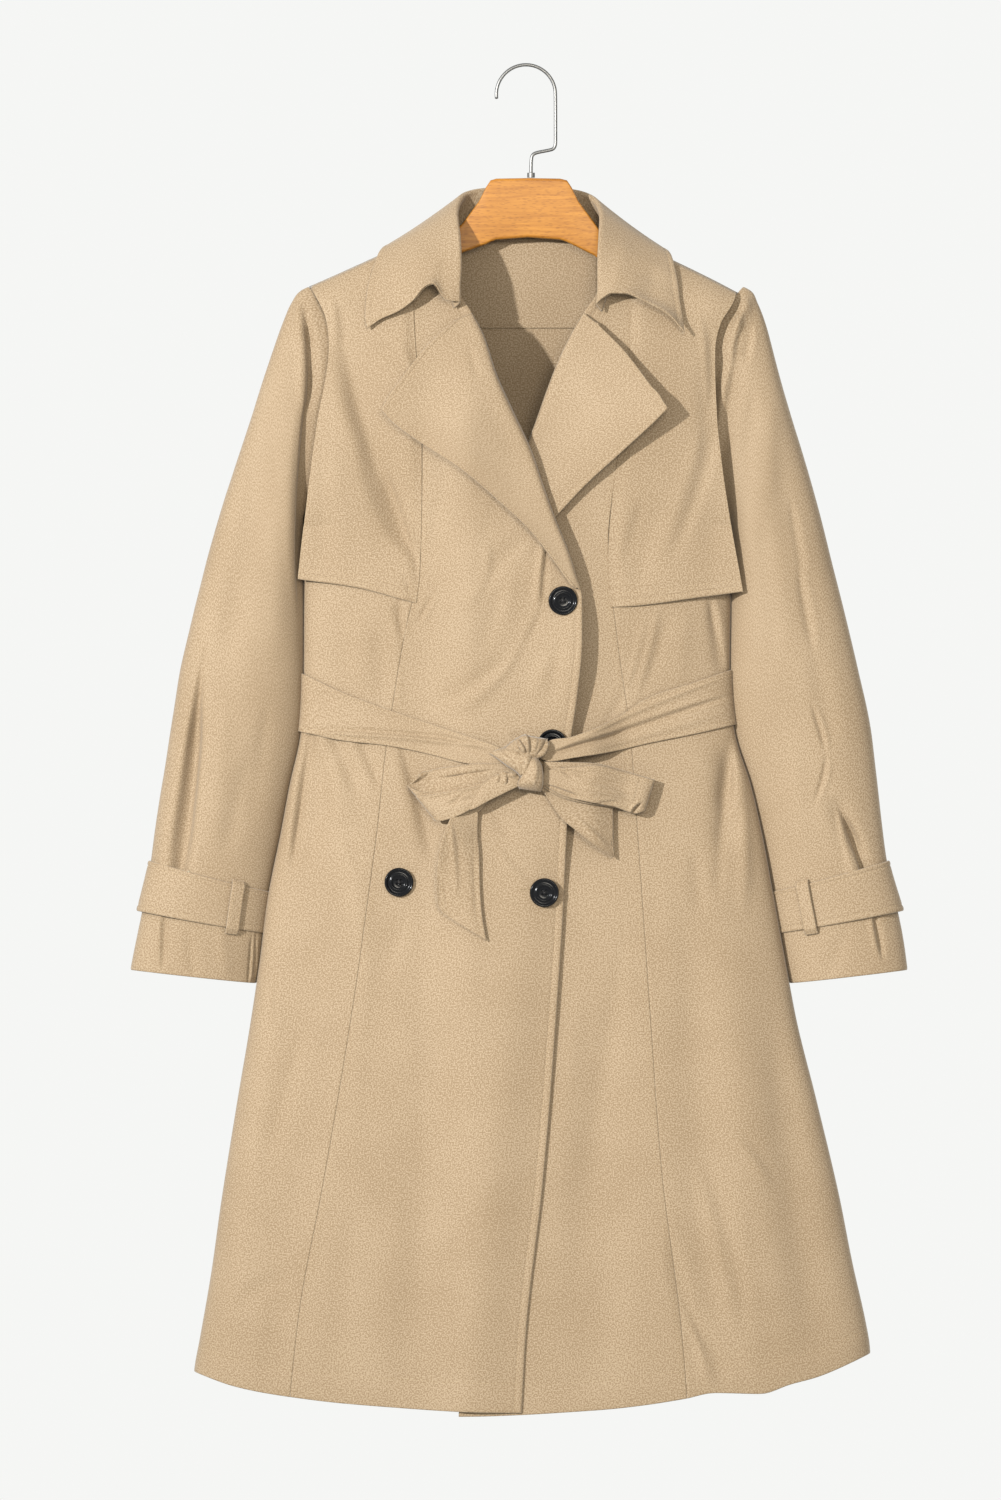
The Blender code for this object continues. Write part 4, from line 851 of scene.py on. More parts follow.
BELT_BACK_CREASES = (
    (-180, 548, -60, 556, 3, 4, -0.8, 0, 0.0, 0.3),
    (-120, 576, 0, 580, 3, 4, -0.7, 0, 0.0, 0.3),
    (10, 556, 150, 550, 3, 4, -0.9, 0, 0.0, 0.3),
    (60, 578, 170, 566, 3, 4, 0.8, 0, 0.0, 0.3),
)


TWILL = 0.0009  # metres from one twill line to the next
CLOTH_DARK = (0.186, 0.128, 0.071)
CLOTH_LIGHT = (0.287, 0.217, 0.140)
THREAD_DARK = (0.36, 0.26, 0.15)
THREAD_LIGHT = (0.50, 0.38, 0.24)
WOOD_DARK = (0.235, 0.088, 0.0095)
WOOD_LIGHT = (0.345, 0.146, 0.019)
FLECK_DARK = (0.62, 0.55, 0.5)
FLECK_LIGHT = (1.0, 1.0, 1.0)
HORN_DARK = (0.0015, 0.002, 0.003)
HORN_LIGHT = (0.005, 0.0045, 0.0045)
BUTTON_THREAD_DARK = (0.012, 0.010, 0.010)
BUTTON_THREAD_LIGHT = (0.03, 0.026, 0.024)


KNOT_CREASES = (
    (-7.5, 590.5, -0.5, 601, 0.9, 0.8, -3.6, 0, 0.3, 0.3),
    (-0.5, 587.5, 2.5, 601, 0.8, 0.8, -3.6, 0, 0.2, 0.3),
    (-13, 594, -5, 601, 1.2, 1.0, -1.2, 0, 0.0, 0.3),
    (18, 591.5, 9.5, 605, 0.9, 0.9, -3.3, 1, -0.3, 0.3),
    (9, 590, 6.5, 600, 1.4, 1.2, -1.05, 0, 0.0, 0.3),
    (-22, 602, -6, 616, 1.4, 1.0, -1.35, 0, 0.0, 0.3),
    (-4.6, 601, -2.8, 614, 0.9, 0.9, -2.7, 0, 0.0, 0.2),
    (8, 610, 6, 630, 1.4, 2.0, -0.9, 1, 0.0, 0.3),
)
BOW_CREASES = (
    (-96, 639.5, -36, 628.5, 1.5, 1.3, -4.05, 0, -0.3, 0.4),
    (-70, 648, -44, 641, 2.4, 2.0, -1.08, 0, 0.0, 0.3),
    (-76, 624, -30, 617, 1.6, 1.4, 1.62, 0, 0.0, 0.3),
    (-103, 628, -86, 619, 1.5, 1.3, -4.05, 0, 0.0, 0.4),
    (-66, 646, -54, 638, 2.0, 1.4, -1.42, 0, 0.0, 0.3),
    (24, 616, 60, 622, 1.2, 2.4, -1.82, 0, 0.0, 0.3),
    (32, 618, 42, 624, 1.4, 1.6, -1.62, 0, 0.0, 0.3),
    (15, 629, 46, 641, 1.0, 2.0, -3.24, 0, 0.0, 0.4),
    (44, 630, 88, 640, 3.0, 3.4, 1.62, 0, 0.0, 0.2),
    (50, 624, 96, 632, 2.4, 3.0, -1.01, 0, 0.0, 0.2),
    (92, 656, 101, 646, 1.4, 1.2, -4.05, 1, 0.0, 0.5),
    (62, 646, 80, 645, 1.6, 1.4, -1.62, 0, 0.0, 0.3),
)
TURN_CREASES = (
    (-27, 618.5, -5, 621.5, 1.0, 0.8, -3.04, -1.5, 0.0, 0.4),
    (-18, 620.5, -18.5, 629, 0.9, 1.2, -2.43, 0, 0.0, 0.4),
    (-14, 621, -5, 625, 0.9, 0.8, -2.84, 0, 0.0, 0.3),
    (-24, 622, -26, 628, 1.2, 1.4, -1.42, 0, 0.0, 0.3),
)
TAIL_CREASES = (
    (-66, 660, -60, 730, 2.4, 3.0, 1.2, 0, 0.0, 0.3),
    (-46, 690, -42, 750, 3.0, 3.0, -0.9, 0, 0.0, 0.0),
    (-80, 700, -77, 738, 1.6, 1.6, 1.8, 0, 0.0, 0.2),
    (-72, 712, -68, 742, 1.6, 1.6, -1.2, 0, 0.0, 0.2),
    (40, 656, 70, 684, 2.0, 3.0, -1.05, 0, 0.0, 0.2),
)


# ---------------------------------------------------------------------------------------------- numbers


def line(rows, column=1):
    """A smooth line through one column of a table, as a function of the table's first column."""
    at = np.array([row[0] for row in rows], float)
    value = np.array([row[column] for row in rows], float)
    step = np.diff(at)
    chord = np.diff(value) / step
    slope = np.concatenate(([chord[0]], (chord[:-1] + chord[1:]) / 2, [chord[-1]]))
    turning = chord[:-1] * chord[1:] <= 0
    slope[1:-1][turning] = 0
    limit = 3 * np.minimum(np.abs(np.append(chord, chord[-1])), np.abs(np.insert(chord, 0, chord[0])))
    slope = np.clip(slope, -limit, limit)

    def follow(x):
        x = np.asarray(x, float)
        inside = np.clip(x, at[0], at[-1])
        k = np.clip(np.searchsorted(at, inside) - 1, 0, len(step) - 1)
        t = (inside - at[k]) / step[k]
        smooth = value[k] * (1 + 2 * t) * (1 - t) ** 2 + value[k + 1] * t**2 * (3 - 2 * t)
        bend = step[k] * (slope[k] * t * (1 - t) ** 2 - slope[k + 1] * t**2 * (1 - t))
        past = np.where(x < at[0], slope[0] * (x - at[0]), slope[-1] * (x - at[-1]))
        return smooth + bend + np.where(inside == x, 0.0, past)

    return follow


def ease(low, high, x):
    """From 0 at low to 1 at high, level at both."""
    t = np.clip((np.asarray(x, float) - low) / (high - low), 0, 1)
    return t * t * (3 - 2 * t)


def mix(a, b, t):
    return a + (b - a) * t


def rounded(share):
    """A quarter circle: 0 at 0, 1 from 1 on, and steep at 0."""
    return np.sqrt(1 - (1 - np.clip(share, 0, 1)) ** 2)


def fold_depth(folds, x, down):
    """How far the troughs of a table press the cloth in at a point."""
    total = np.zeros(np.broadcast(x, down).shape)
    for x0, d0, x1, d1, half, depth in folds:
        run = np.array((x1 - x0, d1 - d0), float)
        length = np.hypot(*run)
        along = ((x - x0) * run[0] + (down - d0) * run[1]) / length**2
        across = ((x - x0) * run[1] - (down - d0) * run[0]) / length
        ends = ease(-0.05, 0.3, along) * (1 - ease(0.75, 1.1, along))
        total = total + depth * ends * np.exp(-((across / half) ** 2))
    return total


# ---------------------------------------------------------------------------------------------- body

GAP_EVENED = 52.0

edge_right = line(BODY_EDGES, 1)
edge_left = line(BODY_EDGES, 2)
front_depth = line(BODY_DEPTHS, 1)
back_depth = line(BODY_DEPTHS, 2)
shoulder = line(SHOULDER_LINE)
back_neck = line(BACK_NECK)
hem = line(HEM)


def middle(row):
    return (edge_right(row) + edge_left(row)) / 2


def half_width(row):
    return (edge_left(row) - edge_right(row)) / 2


def true_down(x, row, top):
    """The height of a point on a nominal row: rows bend to the shoulders above and to the hem below."""
    share = (row - SHOULDER_DOWN) / (CORNER_DOWN - SHOULDER_DOWN)
    upper = (top(x) - SHOULDER_DOWN) * np.clip(1 - share, 0, 1.2) ** 3
    lower = (hem(x) - CORNER_DOWN) * np.clip(share, 0, 1.2) ** 3
    return row + upper + lower


def row_at(x, down, top):
    """The nominal row that passes through a point."""
    row = np.asarray(down, float)
    for _ in range(30):
        row = row + 0.8 * (down - true_down(x, row, top))
    return row


def armhole_gap(row):
    """Half the distance between the front and back edges of the armhole."""
    share = np.clip((row - SHOULDER_DOWN) / (UNDERARM_DOWN - SHOULDER_DOWN), 0, 1)
    return ARMHOLE_HALF_GAP * np.sin(math.pi * share) ** 0.75


def softened_gap(row):
    """The same gap, evened out along the body, as the cloth bridges it away from the armhole."""
    offsets = np.linspace(-GAP_EVENED, GAP_EVENED, 11)
    weights = 1 - np.abs(offsets) / (GAP_EVENED * 1.1)
    total = sum(w * armhole_gap(row + o) for w, o in zip(weights, offsets))
    return total / weights.sum()


def section_depth(x, row, down, depth):
    """Distance of a panel from the side seams' plane."""
    across = np.clip((x - middle(row)) / half_width(row), -1, 1)
    full = depth(down) * (1 - across**2) ** (SECTION_POWER / 2)
    near_tip = ease(TIP_SHARE, 1.0, np.abs(across))
    tip = TIP_GAP * near_tip * (1 - ease(SHOULDER_DOWN, SHOULDER_DOWN + TIP_FADE, row))
    below_shoulder = down - shoulder(x)
    gap = mix(softened_gap(row), armhole_gap(row), ease(0.8, 0.97, np.abs(across)))
    return SEAM / 2 + (gap + tip + full) * rounded(below_shoulder / SHOULDER_ROLL)


def wrap_over(x, down):
    """How far the right front stands above the left one."""
    return WRAP_OVER * ease(-95, -45, x) * ease(215, 320, down) * (1 - 0.45 * ease(800, 1170, down))


def calm_side(x, row):
    """1 on a panel, 0 at the side seams, where folds die out."""
    across = np.abs((x - middle(row)) / half_width(row))
    return 1 - ease(SIDE_CALM, 1.0, across)


def front_skin(x, row, over):
    """The outer face of the fronts; over is 1 on the right front and 0 on the left one."""
    down = true_down(x, row, shoulder)
    deep = section_depth(x, row, down, front_depth)
    deep = deep - fold_depth(FRONT_FOLDS, x, down) * calm_side(x, row) + over * wrap_over(x, down)
    return np.stack(np.broadcast_arrays(x, -deep, -down), axis=-1)


def back_skin(x, row):
    down = true_down(x, row, back_neck)
    deep = section_depth(x, row, down, back_depth)
    deep = deep - fold_depth(BACK_FOLDS, x, down) * calm_side(x, row)
    return np.stack(np.broadcast_arrays(x, deep, -down), axis=-1)


def side_x(edge, down):
    """Where a side of the body, given as a line of x by nominal row, is at a height."""
    row = np.asarray(down, float)
    for _ in range(20):
        row = row + 0.8 * (down - true_down(edge(row), row, shoulder))
    return edge(row)


def seam_x(seam, row):
    """Where a seam given as a line of x by height crosses a nominal row."""
    x = seam(row)
    for _ in range(20):
        x = seam(true_down(x, row, shoulder))
    return x


def turn_of(x, row):
    """The angle round the flattened section, -90 degrees at the right side seam."""
    return np.arcsin(np.clip((x - middle(row)) / half_width(row), -1, 1))


def body_row(v):
    return mix(SHOULDER_DOWN, CORNER_DOWN, v)


def front_panel(outer_turn, outer_seam, inner_seam, over, gaps):
    """A strip of the front between two seams. A seam of None is the side seam at outer_turn."""

    def skin(u, v):
        row = body_row(v)
        start = outer_turn
        if outer_seam is not None:
            start = turn_of(seam_x(outer_seam, row) + gaps[0], row)
        end = turn_of(seam_x(inner_seam, row) + gaps[1], row)
        x = middle(row) + half_width(row) * np.sin(mix(start, end, u))
        return front_skin(x, row, over)

    return skin


def on_front(x, down, over):
    return front_skin(x, row_at(x, down, shoulder), over)


def flap_surface(side):
    right = side == "right"
    sign = -1 if right else 1
    outer = line(RIGHT_FLAP_OUTER if right else LEFT_FLAP_OUTER)
    lower = line(RIGHT_FLAP_LOWER if right else LEFT_FLAP_LOWER)
    princess = line(RIGHT_PRINCESS if right else LEFT_PRINCESS)
    edge = edge_right if right else edge_left

    def skin(u, v):
        nominal = mix(SHOULDER_DOWN, FLAP_ROW, v)
        across = 1 - np.cos(u * math.pi / 2)
        x = mix(outer(nominal), princess(nominal) + sign * FLAP_FROM_SEAM, across)
        down = mix(shoulder(x) + FLAP_BELOW_SHOULDER, lower(x), v)
        limit = sign * edge(nominal) - mix(*FLAP_INSIDE, ease(0.25, 0.8, v))
        short = (limit - sign * x) / FLAP_TURN
        held = sign * (limit - FLAP_TURN * np.log1p(np.exp(short)))
        points = on_front(held, down, 1 if right else 0)
        beyond = np.abs(x - held)
        points[..., 0] = x
        free = ease(0.4, 1.0, v) * (1 - across) ** 2
        points[..., 1] = points[..., 1] + FLAP_SLOPE * beyond - FLAP_STAND[side] * free
        return points

    return skin


def lapel_surface(edge_line, lapel_rows, lowest, over, roll_height):
    """From the roll line (u = 0) to the lapel's outer edge, and from its break (v = 0) to the gorge."""
    edge_x, edge_down, edge_lift = (line(lapel_rows, column) for column in (1, 2, 3))

    def skin(u, v):
        roll_down = mix(lowest, GORGE, v)
        roll_x = edge_line(roll_down)
        x = mix(roll_x, edge_x(v), u)
        down = mix(roll_down, edge_down(v), u)
        width = np.hypot(edge_x(v) - roll_x, edge_down(v) - roll_down)
        from_roll = u * width
        height = roll_height * np.minimum(width / LAPEL_FULL, 1)
        lift = LAPEL_GAP + FACED * u + height * rounded(from_roll / LAPEL_ROLL) + edge_lift(v) * u**2
        points = on_front(x, down, over)
        points[..., 1] = points[..., 1] - lift
        return points

    return skin


# ---------------------------------------------------------------------------------------------- collar


def table_point(rows, at, columns):
    x, y, down = (line(rows, column)(at) for column in columns)
    return np.stack((x, y, -down), axis=-1)


def leaf_curl(along, across):
    """The curl of the collar's two ends, fading towards the back of the neck."""
    total = 0
    for columns, fold_at, away in (((1, 2, 3), COLLAR[0], along), ((4, 5, 6), COLLAR[-1], 1 - along)):
        fold = np.array((fold_at[4], fold_at[5], -fold_at[6]))
        tip = np.array((fold_at[7], fold_at[8], -fold_at[9]))
        straight = mix(fold, tip, across[..., None])
        curl = table_point(COLLAR_ENDS, across, columns) - straight
        fade = np.clip(1 - away / END_CURL, 0, 1) ** 2
        total = total + curl * fade[..., None]
    return total


def off_the_stand(u):
    """Unit directions square to the stand, away from the neck."""
    near, far = np.clip(u - 0.02, 0, 1), np.clip(u + 0.02, 0, 1)
    along = table_point(COLLAR, far, (4, 5, 6)) - table_point(COLLAR, near, (4, 5, 6))
    up = table_point(COLLAR, u, (4, 5, 6)) - table_point(COLLAR, u, (1, 2, 3))
    away = np.cross(up, along)
    return away / np.linalg.norm(away, axis=-1, keepdims=True)


def unit(vectors):
    return vectors / np.linalg.norm(vectors, axis=-1, keepdims=True)


def collar_skin(u, v):
    """Along the collar (u) from the wearer's right, and from neck seam to outer edge (v)."""
    u, v = np.broadcast_arrays(np.asarray(u, float), np.asarray(v, float))
    neck = table_point(COLLAR, u, (1, 2, 3))
    fold = table_point(COLLAR, u, (4, 5, 6))
    outer = table_point(COLLAR, u, (7, 8, 9))
    up = unit(fold - neck)
    away = off_the_stand(u)
    top = fold - COLLAR_ROLL * up
    stand = mix(neck, top, np.clip(v / STAND_SHARE, 0, 1)[..., None])

    early = np.full(u.shape, LEAF_START)
    heading = unit(mix(fold, outer, LEAF_START) + leaf_curl(u, early) - fold)
    turn = np.arccos(np.clip((up * heading).sum(axis=-1, keepdims=True), -1, LEAST_FOLD))

    def rolled(share):
        return top + COLLAR_ROLL * (away * (1 - np.cos(turn * share)) + up * np.sin(turn * share))

    share = np.clip((v - STAND_SHARE) / (FOLD_SHARE - STAND_SHARE), 0, 1)[..., None]
    fall = np.clip((v - FOLD_SHARE) / (1 - FOLD_SHARE), 0, 1)
    leaf = mix(rolled(1.0), outer, fall[..., None]) + leaf_curl(u, fall)
    points = np.where((v < STAND_SHARE)[..., None], stand, rolled(share))
    return np.where((v > FOLD_SHARE)[..., None], leaf, points)


# ---------------------------------------------------------------------------------------------- sleeves


def sleeve_surface(side):
    """Round the sleeve (u) from its outer side over the front, and along it (v) from armhole to cuff."""
    sign = -1 if side == "right" else 1
    outer_x = line(SLEEVE_OUTER, 1 if side == "right" else 2)
    body_x = edge_right if side == "right" else edge_left
    clear = line(SLEEVE_CLEAR)
    outer_down, inner_down = line(SLEEVE_RINGS, 1), line(SLEEVE_RINGS, 2)
    front, rear = line(SLEEVE_RINGS, 3), line(SLEEVE_RINGS, 4)
    folds = SLEEVE_FOLDS[side]

    def straight_across(v, share):
        high, low = outer_down(v), inner_down(v)
        inner = body_x(low) + sign * clear(low)
        return mix(outer_x(high), inner, share), mix(high, low, share)

    def skin(u, v):
        turn = 2 * math.pi * u
        share = (1 - np.cos(turn)) / 2
        x, down = straight_across(v, share)
        first_x, first_down = straight_across(0.0, share)
        armhole = side_x(body_x, first_down) + sign * ARMHOLE_CLEAR
        x = x + (armhole - first_x) * np.clip(1 - v / ARMHOLE_BLEND, 0, 1) ** 2
        around = np.sin(turn)
        depth = np.where(around > 0, front(v), rear(v))
        deep = depth * np.sign(around) * np.abs(around) ** mix(0.75, 0.8, v)
        pressed = fold_depth(folds, x, down) * ease(0.1, 0.6, around)
        return np.stack((x, -(deep - pressed), -down), axis=-1)

    return skin


# ---------------------------------------------------------------------------------------------- belt


def belt_height(x):
    """The belt and its knot lie on the cloth, and stand clear of the waist button near the knot."""
    return mix(KNOT_OUT, BAND_OUT, ease(*KNOT_REACH, np.abs(x - KNOT_X)))


def over_the_step(points):
    """Lifts points of the front so that the step down to the left front is smoothed."""
    x = points[..., 0]
    step = WRAP_OVER * ease(*STEP_RIGHT, x) * (1 - ease(*STEP_LEFT, x))
    points[..., 1] = points[..., 1] - step
    return points


def belt_base(x, down):
    """The front as the knot, the bow and the tails lie on it."""
    return over_the_step(on_front(x, down, 0))


def round_the_waist(rows, first_turn, last_x, top, u, v):
    """x and nominal row of a point of a belt, from an angle round the body (u = 0) to a given x (u = 1)."""
    upper, lower = line(rows, 1), line(rows, 2)
    row = np.full(np.broadcast(u, v).shape, WAIST_ROW)
    for _ in range(30):
        last_turn = turn_of(last_x, row)
        x = middle(row) + half_width(row) * np.sin(mix(first_turn, last_turn, u))
        row = row + 0.8 * (mix(upper(x), lower(x), v) - true_down(x, row, top))
    return x, row


def band_surface(rows, turn_side):
    last_x = rows[-1][0] if turn_side < 0 else rows[0][0]

    def skin(u, v):
        x, row = round_the_waist(rows, turn_side * math.pi / 2, last_x, shoulder, u, v)
        return over_the_step(front_skin(x, row, 0))

    return skin


NO_TILT = ((0.0, 0.0), (0.5, 0.0), (1.0, 0.0))
TILT_POWER = 1.15


def bow_surface(front_rows, rear_rows):
    """Out along the front layer, round the end and back along the rear one (u); across the belt (v)."""
    front = [line(front_rows, column) for column in range(1, 5)]
    rear = [line(rear_rows, column) for column in range(1, 5)]
    gap = line(front_rows, 5)

    def skin(u, v):
        along = 1 - np.abs(1 - 2 * u)
        end = rounded(np.clip((1 - along) / BOW_END_ROUND, 0, 1))
        upper_x, upper_down, lower_x, lower_down = (
            np.where(u < 0.5, ahead(along), behind(along)) for ahead, behind in zip(front, rear)
        )
        x = mix(upper_x, lower_x, v)
        down = mix(upper_down, lower_down, v)
        half = np.where(along > BOW_END, BOW_END_HALF * end, gap(along))
        points = belt_base(x, down)
        full = 1 + BOW_FULL * np.sin(math.pi * v)
        points[..., 1] = points[..., 1] - BOW_OUT - np.where(u < 0.5, half * full, -half)
        return points

    return skin


def ribbon_surface(rows, arch=0.0, tilt=NO_TILT):
    """A strip of belt over the cloth: along it (u), across it (v), arched, with its first edge raised."""
    edge_x, edge_down, other_x, other_down, height = (line(rows, column) for column in range(1, 6))
    raised = line(tilt)

    def skin(u, v):
        x = mix(edge_x(u), other_x(u), v)
        down = mix(edge_down(u), other_down(u), v)
        points = belt_base(x, down)
        rise = arch * (rounded(np.minimum(v, 1 - v) / 0.5) - 1)
        points[..., 1] = points[..., 1] - height(u) - rise - raised(u) * (1 - v) ** TILT_POWER
        return points

    return skin


BOW_FULL = 0.5  # a loop is fuller by this share along its middle
BOW_END = 0.85  # from here on a loop closes
BOW_END_ROUND = 0.12
BOW_END_HALF = 4.0


def hook_route():
    """The wire's centre line from its tip over the arc and down the offset shank."""
    radius = HOOK_RADIUS + WIRE_RADIUS
    route = []
    for k in range(20):
        turn = math.radians(HOOK_TIP_ANGLE * (1 - k / 19))
        route.append((radius * math.cos(turn), WIRE_RADIUS + radius * (math.sin(turn) - 1)))
    right = radius
    bend = 5.0
    route.append((right, -HOOK_STRAIGHT_DOWN + 3))
    route += turn_corner((right, -73.5), (-1, 0), (0, 1), bend)
    route += turn_corner((SHANK_X, -76.0), (0, -1), (1, 0.12), bend)
    route.append((SHANK_X, -SHANK_FOOT))
    return route


def turn_corner(corner, leave, arrive, size):
    """Three points that round a corner of the wire."""
    corner, leave, arrive = np.array(corner), np.array(leave, float), np.array(arrive, float)
    first = corner + arrive * size
    last = corner + leave * size
    middle_point = 0.25 * first + 0.5 * corner + 0.25 * last
    return [tuple(first), tuple(middle_point), tuple(last)]


def normals(skin, u, v, wraps):
    """Unit normals of a surface, from its slopes along u and v."""
    low_u, high_u = u - STEP, u + STEP
    if not wraps:
        low_u, high_u = np.clip(low_u, 0, 1), np.clip(high_u, 0, 1)
    along_u = skin(high_u, v) - skin(low_u, v)
    along_v = skin(u, np.clip(v + STEP, 0, 1)) - skin(u, np.clip(v - STEP, 0, 1))
    facing = np.cross(along_u, along_v)
    return facing / np.linalg.norm(facing, axis=-1, keepdims=True)


def moved_out(skin, distance, flip=False, wraps=False):
    """A surface moved along its normals; distance is a number or a function of u and v."""
    sign = -1 if flip else 1

    def moved(u, v):
        u, v = np.broadcast_arrays(np.asarray(u, float), np.asarray(v, float))
        out = distance(u, v) if callable(distance) else np.full(u.shape, float(distance))
        return skin(u, v) + sign * out[..., None] * normals(skin, u, v, wraps)

    return moved


# ---------------------------------------------------------------------------------------------- shells


def grid_normals(points, wraps=False):
    """Unit normals of a grid of points, whose columns may close into a ring."""
    if wraps:
        along_u = np.roll(points, -1, axis=1) - np.roll(points, 1, axis=1)
    else:
        along_u = np.gradient(points, axis=1)
    along_v = np.gradient(points, axis=0)
    facing = np.cross(along_u, along_v)
    return facing / np.maximum(np.linalg.norm(facing, axis=-1, keepdims=True), 1e-9)


# distances of a mesh's first rows from an edge, so that the rolled rim and the seam beside it have shape
ROWS_BY_EDGE = (0.0, 0.35, 0.9, 1.7, 3.0, 4.5, 5.4, 6.1, 6.8, 8.0)
ROWS_BY_EDGE_COARSE = (0.0, 0.9, 3.0)
COARSE_PITCH = 6.0


def spaced(length, pitch, edges=(1, 1)):
    """Shares along a length, close together at those ends that have a rolled edge and a seam."""
    near = np.array(ROWS_BY_EDGE if pitch < COARSE_PITCH else ROWS_BY_EDGE_COARSE)
    start = near if edges[0] else near[:1]
    end = length - near[::-1] if edges[1] else np.array((length,))
    count = max(int(round((end[0] - start[-1]) / pitch)), 1)
    between = np.linspace(start[-1], end[0], count + 1)[1:-1]
    return np.concatenate((start, between, end)) / length


def edge_relief(distance, puff=0.35, groove=0.45, seam=6.0):
    """Height of the cloth beside an edge: rolled at the rim, full up to the stitches, pressed in by them."""
    rim = -CLOTH / 2 * (1 - rounded(distance / RIM_WIDTH))
    full = puff * np.sin(math.pi * np.clip(distance / seam, 0, 1))
    pressed = -groove * np.exp(-(((distance - seam) / GROOVE_HALF) ** 2))
    return rim + full + pressed


RIM_WIDTH = 1.6  # a cut edge rolls over within this
GROOVE_HALF = 0.9  # half width of the groove along a row of stitches


def noise(x, y, scale, seed):
    """Smooth unevenness from -1 to 1, as a sum of slanted waves."""
    total = np.zeros(np.broadcast(x, y).shape)
    for k in range(5):
        turn = seed * 1.7 + k * 2.39996
        pitch = scale * (0.6 + 0.23 * ((seed * 3 + k * 5) % 7))
        phase = seed * 12.9898 + k * 4.1414
        total = total + np.sin(2 * math.pi * (x * math.cos(turn) + y * math.sin(turn)) / pitch + phase)
    return total / 5


def creases(table, x, down):
    """Height given by a table of creases."""
    total = np.zeros(np.broadcast(x, down).shape)
    for x0, d0, x1, d1, half_start, half_end, height, bow, lean, lip in table:
        run_x, run_down = x1 - x0, d1 - d0
        length = math.hypot(run_x, run_down)
        along = ((x - x0) * run_x + (down - d0) * run_down) / length**2
        across = ((x - x0) * run_down - (down - d0) * run_x) / length
        across = across - bow * 4 * along * (1 - along)
        ends = ease(-0.1, 0.3, along) * (1 - ease(0.7, 1.1, along))
        width = mix(half_start, half_end, np.clip(along, 0, 1)) * (0.5 + 0.5 * ends)
        side = width * np.where(across > 0, 1 - lean, 1 + lean)
        shape = np.exp(-((across / side) ** 2))
        beside = across - np.sign(lean + 0.01) * 1.9 * width
        shape = shape - lip * np.exp(-((beside / width) ** 2))
        total = total + height * ends * shape
    return total


class Sheet:
    """One piece of cloth: a grid over its shares u and v, with its outer face and the directions there."""

    def __init__(self, us, vs, outer, facing, wraps):
        self.us, self.vs = us, vs
        self.outer, self.facing, self.wraps = outer, facing, wraps

    def at(self, u, v, lift=0.0):
        """Points on the outer face, and the directions there."""
        u, v = np.broadcast_arrays(np.asarray(u, float), np.asarray(v, float))
        if self.wraps:
            u = u % 1.0
            us = np.append(self.us, 1.0)
            outer = np.concatenate((self.outer, self.outer[:, :1]), axis=1)
            facing = np.concatenate((self.facing, self.facing[:, :1]), axis=1)
        else:
            us, outer, facing = self.us, self.outer, self.facing
        i = np.clip(np.searchsorted(us, u) - 1, 0, len(us) - 2)
        j = np.clip(np.searchsorted(self.vs, v) - 1, 0, len(self.vs) - 2)
        a = ((u - us[i]) / (us[i + 1] - us[i]))[..., None]
        b = ((v - self.vs[j]) / (self.vs[j + 1] - self.vs[j]))[..., None]

        def blend(grid):
            low = grid[j, i] * (1 - a) + grid[j, i + 1] * a
            high = grid[j + 1, i] * (1 - a) + grid[j + 1, i + 1] * a
            return low * (1 - b) + high * b

        way = blend(facing)
        way = way / np.linalg.norm(way, axis=-1, keepdims=True)
        return blend(outer) + lift * way, way


def wall_quads(columns, rows, wraps):
    """Faces of a wall whose outer points come first and inner points second, as an array."""
    count = columns * rows
    spans = columns if wraps else columns - 1
    i, j = np.meshgrid(np.arange(spans), np.arange(rows - 1))
    i, j = i.ravel(), j.ravel()
    after = (i + 1) % columns
    row, below = j * columns, (j + 1) * columns
    outer = np.stack((row + i, row + after, below + after, below + i), axis=1)
    inner = outer[:, ::-1] + count
    k = np.arange(spans)
    next_k = (k + 1) % columns
    last = (rows - 1) * columns
    rims = [np.stack((next_k, k, k + count, next_k + count), axis=1)]
    rims.append(np.stack((last + k, last + next_k, last + next_k + count, last + k + count), axis=1))
    if not wraps:
        side = np.arange(rows - 1) * columns
        rims.append(np.stack((side, side + columns, side + columns + count, side + count), axis=1))
        far = side + columns - 1
        rims.append(np.stack((far + columns, far, far + count, far + columns + count), axis=1))
    return np.concatenate((outer, inner, *rims))


def mesh_piece(name, points, quads, look, grain=None):
    """A smooth mesh object from points in millimetres; grain holds two cloth coordinates for each point."""
    mesh = bpy.data.meshes.new(name)
    mesh.vertices.add(len(points))
    mesh.vertices.foreach_set("co", (np.asarray(points) * MM).astype(np.float32).ravel())
    mesh.loops.add(quads.size)
    mesh.loops.foreach_set("vertex_index", quads.astype(np.int32).ravel())
    mesh.polygons.add(len(quads))
    mesh.polygons.foreach_set("loop_start", (np.arange(len(quads)) * quads.shape[1]).astype(np.int32))
    if grain is not None:
        layer = mesh.uv_layers.new(name="grain")
        layer.data.foreach_set("uv", (np.asarray(grain)[quads.ravel()] * MM).astype(np.float32).ravel())
    mesh.materials.append(look)
    mesh.update(calc_edges=True)
    mesh.validate()
    mesh.shade_smooth()
    made = bpy.data.objects.new(name, mesh)
    bpy.context.scene.collection.objects.link(made)
    return made


